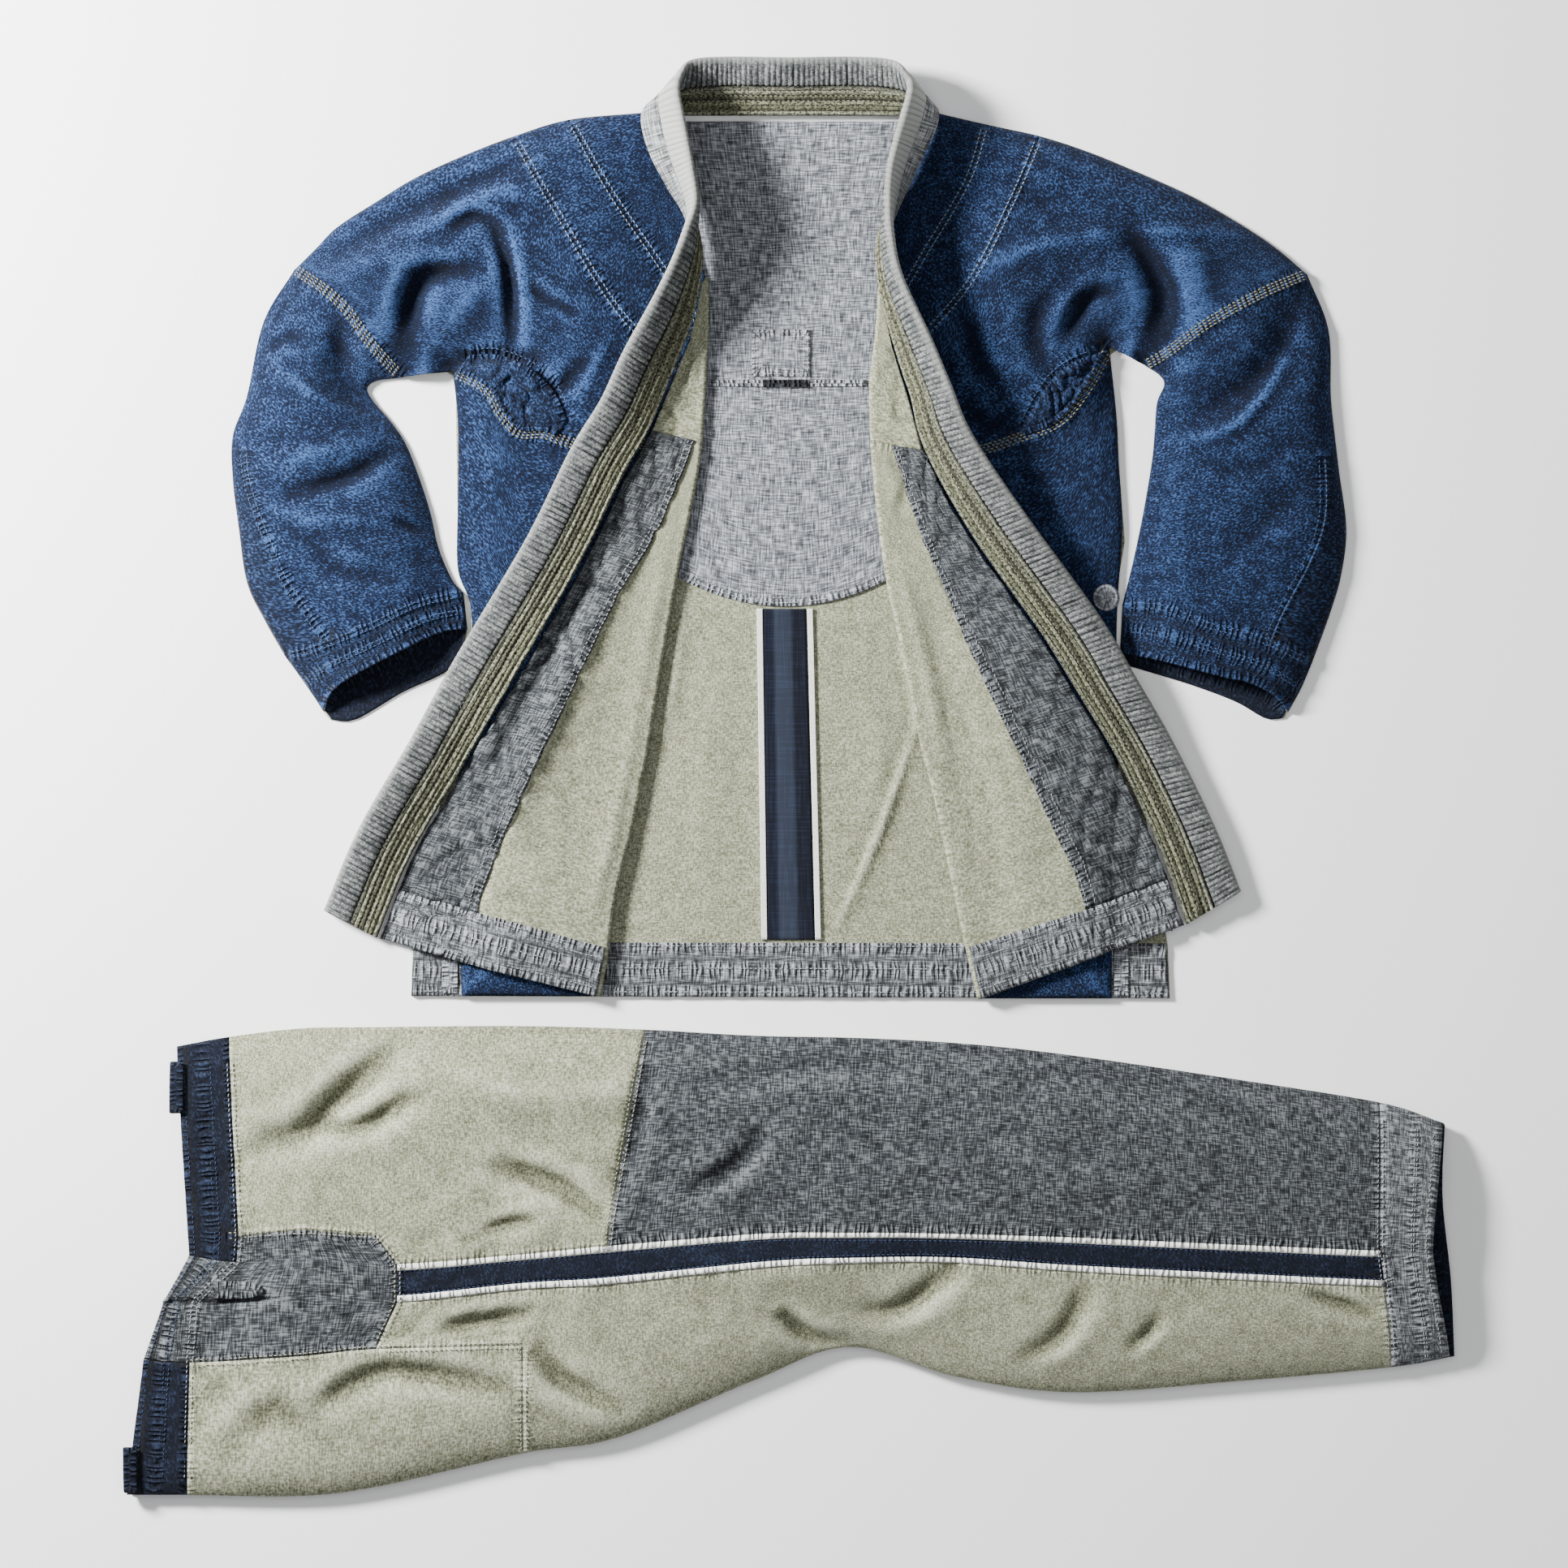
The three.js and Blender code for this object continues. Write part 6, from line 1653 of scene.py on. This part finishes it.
def leg_face(x, y):
    """Upper face of the leg with its felled bands, the side slit and the pocket's outline."""
    z = leg_top(x, y)
    for line, half, high, seed in LEG_BANDS:
        z = z + band(x, y, line, half, high, seed)
    slit = along_line(x, y, SLIT)[0]
    pocket = along_line(x, y, POCKET)[0]
    z = z - 2.6 * np.exp(-(slit / 1.9) ** 2) + 1.2 * np.exp(-((slit - 4.5) / 2.6) ** 2)
    return z - 0.9 * np.exp(-(pocket / 1.6) ** 2) + 0.5 * np.exp(-((pocket - 4) / 2.4) ** 2)


print("height of the leg in mm:", leg_top(np.array([-200.0]), np.array([-420.0])).round(1))

# %% The upper leg as one ring grid
steps = [np.linspace(k, k + 1, max(2, int(np.linalg.norm(LEG[k + 1, 2] - LEG[k, 2]) / LEG_STEP)))
         for k in range(HEM)]
leg_s = np.unique(np.concatenate(steps).round(6))
front_steps = spaced(50, (0.004, 0.01, 0.018))
shares = [front_steps[front_steps < 0.985], np.linspace(0, 1, 8)[:-1],
          np.array([0, 0.09, PIPING / STRIPE_WIDTH, 0.3, 0.44, 0.56, 0.7,
                    1 - PIPING / STRIPE_WIDTH, 0.91]), np.linspace(0, 1, 15)[:-1],
          np.unique(np.concatenate([np.linspace(0, 1, 29), [0.97, 0.982, 0.991, 0.997]]))]
leg_t = np.concatenate([zone + part for zone, part in enumerate(shares)])
xy = leg_grid(leg_s, leg_t)
below = xy.copy()
hem_rows = leg_s >= HEM_BAND
reach = ((leg_s[hem_rows] - HEM_BAND) / (HEM - HEM_BAND))[:, None, None]
under_edge = by_length(LEG_HEM_BELOW)(leg_t / 5)
below[hem_rows] = xy[hem_rows] + (under_edge - xy[-1])[None] * reach
run = np.cumsum(np.linalg.norm(np.diff(xy, axis=1, prepend=xy[:, :1]), axis=2), axis=1)
top_z = leg_face(xy[..., 0], xy[..., 1]) - LEG_BASE
upper_leg = flat_ring(xy, below, top_z, np.minimum(run, run[:, -1:] - run))
upper_leg[..., 2] += LEG_BASE
columns = upper_leg.shape[1]
t_of = np.concatenate([leg_t, np.full(columns - len(leg_t), 9.0)])[None, :]
s_of = leg_s[:-1, None]
under = np.broadcast_to(np.arange(columns)[None, :] >= len(leg_t) - 1, (len(s_of), columns))
half = np.arange(columns)[None, :] >= len(leg_t) + (columns - len(leg_t)) // 2
print("upper leg:", upper_leg.shape[0], "rows,", columns, "columns")

# %% Pieces of the upper leg
ALMOST = 1e-6
in_band, in_patch = s_of < WAISTBAND - ALMOST, s_of < PATCH_END - ALMOST
in_seat, before_knee = s_of < SEAT_END - ALMOST, s_of < KNEE - ALMOST
in_leg = s_of < HEM_BAND - ALMOST
first_piping = (t_of >= 2 - ALMOST) & (t_of < 2 + PIPING / STRIPE_WIDTH - ALMOST)
last_piping = (t_of >= 3 - PIPING / STRIPE_WIDTH - ALMOST) & (t_of < 3 - ALMOST)
ribbon = (t_of >= 2 + PIPING / STRIPE_WIDTH - ALMOST) & (t_of < 3 - PIPING / STRIPE_WIDTH - ALMOST)
past_two, past_three, past_four = (t_of >= value - ALMOST for value in (2, 3, 4))
past_one = t_of >= 1 - ALMOST
LEG_PIECES = [
    ("waistband_front", in_band & ((~past_two & ~under) | (under & half)), NAVY, "navy"),
    ("waistband_back", in_band & ((past_four & ~under) | (under & ~half)), NAVY, "navy"),
    ("hip_patch", ~past_four & ~under & ((in_band & past_two) | (~in_band & in_patch & past_one)),
     GREY_DARK, "grey_weave_dark"),
    ("seat_patch", ~in_band & in_seat & past_four & ~under, CREAM, "cream"),
    ("trouser_front", ~in_band & before_knee & ~under & (~past_one | (~past_two & ~in_patch)),
     CREAM, "cream"),
    ("knee_panel", ~before_knee & in_leg & ~past_two & ~under, GREY_DARK, "grey_weave_dark"),
    ("side_stripe", ~in_patch & in_leg & ribbon & ~under, NAVY, "navy"),
    ("side_piping_above", ~in_patch & in_leg & first_piping & ~under, WHITE, "white_piping"),
    ("side_piping_below", ~in_patch & in_leg & last_piping & ~under, WHITE, "white_piping"),
    ("trouser_back", in_leg & ((under & ~in_band) | (~under & past_three & ~in_patch
                                                    & ~(in_seat & past_four))), CREAM, "cream"),
    ("leg_hem_band", np.broadcast_to(~in_leg, under.shape), GREY_BAND, "grey_weave"),
]
for name, wanted, outside, slot_name in LEG_PIECES:
    raised = 0.9 if "piping" in name else 0.0
    inner = NAVY if name == "leg_hem_band" else CREAM
    piece = shell(f"{name}_cloth", upper_leg, 1.4 + raised, [outside, inner],
                  np.broadcast_to(wanted, under.shape), ring=True, flip=True, seams=LEG_SEAMS,
                  lift=raised)
    finish_cloth(piece, [name])

# %% [markdown]
# The hidden half of the trousers lies below. Only its edges show, as two rounded layers. Rings
# round the outline carry the layers, and a grid of cells closes them above and below.

# %% Hidden half with a layered edge
def moved_in(loop, inset):
    """A closed loop moved inwards by inset, square to its own direction."""
    along = np.roll(loop, -1, 0) - np.roll(loop, 1, 0)
    square = np.stack([along[:, 1], -along[:, 0]], axis=1)
    square = square / np.linalg.norm(square, axis=1, keepdims=True)
    return loop + square * np.reshape(inset, (-1, 1))


# Columns: height, how far the outline is drawn in there.
LAYERS = [(0.2, 4.0), (0.3, 3.1), (0.9, 2.3), (1.7, 1.9), (2.5, 2.3), (3.1, 3.3), (3.4, 4.4),
          (3.7, 3.3), (4.3, 2.3), (5.1, 1.9), (5.9, 2.3), (6.5, 3.1), (6.6, 4.0)]
flat = leg_grid(np.linspace(0, HEM, 120), np.linspace(0, 5, 38))
high, wide = flat.shape[:2]
loop_i = np.concatenate([np.arange(high), np.full(wide - 2, high - 1), np.arange(high)[::-1],
                         np.zeros(wide - 2, int)])
loop_j = np.concatenate([np.zeros(high, int), np.arange(1, wide - 1), np.full(high, wide - 1),
                         np.arange(1, wide - 1)[::-1]])
loop = flat[loop_i, loop_j]
size = len(loop)
rings = [np.column_stack([moved_in(loop, inset + 0.5 * lumps(loop[:, 0], loop[:, 1], 21,
                                                           91 + k // 7)),
                          np.full(size, level)]) for k, (level, inset) in enumerate(LAYERS)]
sheets = [np.dstack([flat, np.full(flat.shape[:2], level)]).reshape(-1, 3)
          for level in (LAYERS[0][0], LAYERS[-1][0])]
points = np.concatenate([*rings, *sheets])
numbers = [np.arange(high * wide).reshape(high, wide) + size * len(rings) + k * high * wide
           for k in (0, 1)]
numbers[0][loop_i, loop_j] = np.arange(size)
numbers[1][loop_i, loop_j] = np.arange(size) + size * (len(rings) - 1)
k, m = (part.ravel() for part in np.mgrid[0:len(rings) - 1, 0:size])
around = np.stack([k * size + m, k * size + (m + 1) % size, (k + 1) * size + (m + 1) % size,
                   (k + 1) * size + m], axis=1)
quads = [np.stack([n[:-1, :-1], n[1:, :-1], n[1:, 1:], n[:-1, 1:]], axis=2).reshape(-1, 4)
         for n in numbers]
corner = np.concatenate([around, quads[0], quads[1][:, ::-1]])
used, corner = np.unique(corner, return_inverse=True)
corner = corner.reshape(-1, 4)
points = points[used]


def half_shade(tree, shade):
    """Grey at the hem and navy at the waist, by the place along the leg."""
    spot = put(tree, "TexCoord").outputs["Object"]
    along = put(tree, "SeparateXYZ", Vector=spot).outputs["X"]
    at_hem = sum_of(tree, "GREATER_THAN", along, 0.497)
    at_waist = sum_of(tree, "LESS_THAN", along, -0.47)
    shade = blend(tree, at_hem, shade, colour(60, 62, 66))
    return blend(tree, at_waist, shade, colour(18, 24, 40))


CREAM_HALF = woven("cream_hidden_half", (68, 70, 54), (124, 126, 104), (176, 178, 158), None,
                   800.0, 0.4, fleck=0.75, wear_and_shade_by=0.3, crest=0.2, stripes=half_shade)
piece = write_mesh("trouser_lower_half_cloth", points,
                   [(corner, points[corner][..., :2], 0, True)], [CREAM_HALF],
                   without_seams(np.zeros(len(points))))
finish_cloth(piece, ["trouser_lower_half"])

# %% Tab at the side slit and belt loops
# Columns: name, x and y of the corner, length, height, cloth, slot.
STRIPS = [("waist_tab", -484, -434, 44, 14, GREY_DARK, "grey_weave_dark"),
          ("belt_loop_front", -519, -279, 11, 42, NAVY, "navy"),
          ("belt_loop_back", -558, -597, 11, 38, NAVY, "navy")]
for name, left, low, long, tall, cloth, slot_name in STRIPS:
    u, v = np.meshgrid(np.linspace(0, 1, 34), np.linspace(0, 1, 25))
    narrow = np.sqrt(1 - ease(0.4, 1.08, u) ** 2) if name == "waist_tab" else 1.0
    x = left + long * u
    y = low + tall * (0.5 + (v - 0.5) * narrow)
    border = np.minimum(np.minimum(u, 1 - u) * long, np.minimum(v, 1 - v) * tall)
    bulge = 0.6 * ease(0, 2.2, border) + 0.3 * np.sin(np.pi * v * (1 if tall < 20 else 5)) ** 2
    grid = np.dstack([x, y, leg_top(x, y) + 2.2 + bulge])
    edge = np.concatenate([grid[0, :, :2], grid[:, -1, :2], grid[-1, ::-1, :2],
                           grid[::-1, 0, :2]])
    piece = shell(f"{name}_cloth", grid, 1.4, [cloth], seams=[edge[::3]])
    finish_cloth(piece, [name])

# %% [markdown]
# Stitches. A lockstitch seen from above is a short slanted bar with a small hole at each end.
# Each row of stitches here is a line of such bars, made as one mesh for each thread.

# %% Rows of stitches
STITCH, STITCH_GAP = 3.1, 1.1
STITCH_HIGH = 0.5
stitch_rows = {}


def shifted(line, distance):
    """An open line moved sideways by distance, square to its own direction."""
    along = np.gradient(line[:, :2], axis=0)
    square = np.stack([-along[:, 1], along[:, 0]], axis=1)
    square = square / np.maximum(np.linalg.norm(square, axis=1, keepdims=True), 1e-9)
    return line[:, :2] + square * distance


def sew(thread, line, height=None, offsets=(0.0,), up=0.15, cut=(0.0, 1.0)):
    """Notes rows of stitches along a line. Where a height function is given, each row is laid
    on it; otherwise the line has its own heights."""
    first, last = (int(round(share * (len(line) - 1))) for share in cut)
    line = np.asarray(line, float)[first:last + 1]
    for offset in offsets:
        xy = shifted(line, offset)
        z = line[:, 2] if height is None else height(xy[:, 0], xy[:, 1])
        stitch_rows.setdefault(thread, []).append(np.column_stack([xy, z + up]))


def stitch_mesh(name, lines, material, thick):
    """One mesh with a bar for each stitch: its ends dip into the cloth and its middle stands
    up. Points of a bar: start, three near it, three near the end, end."""
    starts, ends = [], []
    for line in lines:
        run = np.concatenate([[0], np.cumsum(np.linalg.norm(np.diff(line, axis=0), axis=1))])
        begin = np.arange(0.5, run[-1] - STITCH, STITCH + STITCH_GAP)
        for where, found in ((begin, starts), (begin + STITCH, ends)):
            found.append(np.column_stack([np.interp(where, run, line[:, k]) for k in range(3)]))
    start, end = np.concatenate(starts), np.concatenate(ends)
    along = (end - start) / STITCH
    wide = np.column_stack([-along[:, 1], along[:, 0], 0 * along[:, 0]]) * thick / 2
    skew = wide * 0.35
    high = np.array([0, 0, STITCH_HIGH])
    near, far = start + along * 0.7 + skew, end - along * 0.7 - skew
    low = np.array([0, 0, -0.35])
    bars = np.stack([start + skew + low, near - wide, near + high, near + wide, far - wide,
                     far + high, far + wide, end - skew + low], axis=1)
    base = np.arange(len(bars))[:, None] * 8
    threes = np.array([[0, 2, 1], [0, 3, 2], [7, 4, 5], [7, 5, 6], [0, 1, 7], [1, 4, 7],
                       [0, 7, 3], [3, 7, 6]])
    fours = np.array([[1, 2, 5, 4], [2, 3, 6, 5]])
    faces = []
    for rows in (threes, fours):
        corners = (base[:, None] + rows[None]).reshape(-1, rows.shape[1])
        faces.append((corners, np.zeros((*corners.shape, 2)), 0, True))
    piece = write_mesh(name, bars.reshape(-1, 3), faces, [material],
                       without_seams(np.zeros(len(bars) * 8)))
    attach(piece, "root")
    print(f"{name}: {len(bars)} stitches")


# %% Which seams are sewn with which thread
# Columns: colour, slot, width of the thread in mm.
THREADS = {
    "pale_thread": ((128, 140, 152), "white_piping", 0.85),
    "dark_thread": ((8, 12, 24), "denim", 1.1),
    "tan_thread": ((122, 116, 90), "cream", 1.35),
    "blue_thread": ((56, 76, 110), "denim", 0.85),
    "grey_thread": ((136, 140, 144), "grey_weave", 0.85),
    "cream_thread": ((154, 154, 136), "cream", 0.85),
    "navy_thread": ((44, 56, 82), "navy", 0.85),
}
for tag, side in SIDES.items():
    face = lambda x, y, side=side: jacket_face(x, y, side)
    for name in ("yoke_line", "strip_line"):
        sew("pale_thread", side[name], face, (-2.3, 2.3), cut=(0.04, 0.97))
        sew("dark_thread", side[name], face, up=0.0, cut=(0.04, 0.97))
    for name in ("sleeve_line", "chest_line"):
        sew("tan_thread", side[name], face, (-3.6, -1.2, 1.2, 3.6), cut=(0.02, 0.98))
    sew("blue_thread", side["forearm_line"], face, (-4.2, 1.2), cut=(0.02, 0.98))
    sew("blue_thread", side["cuff_top"], face, (-2.2, 2.2), cut=(0.03, 0.97))
    sew("blue_thread", side["cuff_middle"], face, (-1.6, 1.6), cut=(0.03, 0.97))
    sew("blue_thread", side["gusset_line"], face, (-3.2, 3.2), up=0.4, cut=(0.1, 0.95))
    grid, first, shares, v = lower_fronts[tag]
    normal = sheet_normals(grid, False) * (-1 if side["sign"] > 0 else 1)
    base = first + FOLD_STEPS - 1
    on_facing = grid - normal * FACING_FACE
    sew("grey_thread", on_facing[:FRONT_ROWS + 1, base + FACING_COLUMN + 1], None, up=0.1)
    sew("grey_thread", on_facing[:FRONT_ROWS + 1, base + FACING_COLUMN + 4], None, up=0.1)
    for row in (1, 3, 6, 10):      # counted from the top of the hem band
        sew("grey_thread", on_facing[FRONT_ROWS + row, base:], None, up=0.2)

# %% Stitches on the lapel
row, run = lapel_steps(0.02, len(LAPEL) - 1.02, 2.0)
seam, across, square = lapel_frame(row)
for number in range(7):
    share = mix(0.02, 0.515, number / 6)
    line = seam + across * share + square * 0.72
    stitch_rows.setdefault("cream_thread", []).append(line)

# %% Stitches on the trousers and the back
for line, half, _, _ in LEG_BANDS[:1] + LEG_BANDS[-2:]:
    sew("grey_thread", line, leg_face, (-half * 0.8, half * 0.8), cut=(0.02, 0.98))
sew("navy_thread", cross_line(0.12), leg_face, cut=(0.02, 0.98))
sew("navy_thread", cross_line(0.6), leg_face, (-2.0, 2.0), cut=(0.02, 0.98))
sew("cream_thread", PATCH_SEAM, leg_face, (-2.2, 2.2))
sew("cream_thread", cross_line(SEAT_END, 4, 5), leg_face, (-2.2, 2.2), cut=(0, 0.97))
sew("cream_thread", leg_edge(WAISTBAND, SEAT_END, 4), leg_face, (-2.2, 2.2))
sew("cream_thread", cross_line(KNEE, 0, 2), leg_face, (-2.4, 2.4), cut=(0.03, 1))
sew("navy_thread", leg_edge(PATCH_END, HEM_BAND, 2, 300), leg_face, (-6.2,), cut=(0, 0.995))
sew("navy_thread", leg_edge(PATCH_END, HEM_BAND, 3, 300), leg_face, (6.2,), cut=(0, 0.995))
sew("grey_thread", cross_line(11.85), leg_face, cut=(0.02, 0.98))
back_z = LINING_TOP + SEAM
for points in ([[-314, -139.5], [314, -141]], [[-316, -158], [316, -160]],
               [[-316, -178], [316, -180]]):
    line = mix(np.array(points[0], float), np.array(points[1], float),
               np.linspace(0, 1, 300)[:, None])
    sew("grey_thread", line, lambda x, y: back_height(x, y) - CLOTH + back_z)
sew("grey_thread", lining_edge[0], lambda x, y: x * 0 + back_z, (3.0, 7.0))
patch = np.array([[-30, 340], [-30, 375], [15, 375], [15, 340], [-30, 340]], float)
for a, b in zip(patch[:-1], patch[1:]):
    sew("grey_thread", mix(a, b, np.linspace(0, 1, 12)[:, None]),
        lambda x, y: x * 0 + LINING_TOP + SEAM + 0.85)

for name, lines in stitch_rows.items():
    tint, slot_name, thick = THREADS[name]
    tint = np.array(tint)
    thread = woven(name, tuple(tint * 0.6), tuple(tint), tuple(np.minimum(tint * 1.2, 255)),
                   None, 2600.0, 0.2, fleck=0.8, wear_and_shade_by=0.1, crest=0.0, bump=0.3)
    stitch_mesh(f"{name}_stitches", lines, thread, thick)

# %% [markdown]
# The floor is a plain pale sheet, as in the picture. It isn't part of the gi.

# %% Floor
floor_mesh = bpy.data.meshes.new("studio_floor")
floor_mesh.from_pydata([(-6, -6, 0), (6, -6, 0), (6, 6, 0), (-6, 6, 0)], [], [(0, 1, 2, 3)])
floor = bpy.data.objects.new("studio_floor", floor_mesh)
paper = bpy.data.materials.new("pale_paper")
paper.use_nodes = True
paper.node_tree.nodes["Principled BSDF"].inputs["Base Color"].default_value = (0.97, 0.97, 0.97, 1)
paper.node_tree.nodes["Principled BSDF"].inputs["Roughness"].default_value = 0.9
floor_mesh.materials.append(paper)
bpy.context.scene.collection.objects.link(floor)
floor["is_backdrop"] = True

# %% Size of the gi and its number of triangles
low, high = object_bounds()
triangles = sum(len(polygon.vertices) - 2 for thing in bpy.data.objects
                if thing.type == "MESH" and not thing.hide_render for polygon in
                thing.data.polygons)
print("visual box in metres:", [round(value, 3) for value in [*low, *high]])
print("triangles in all:", triangles)
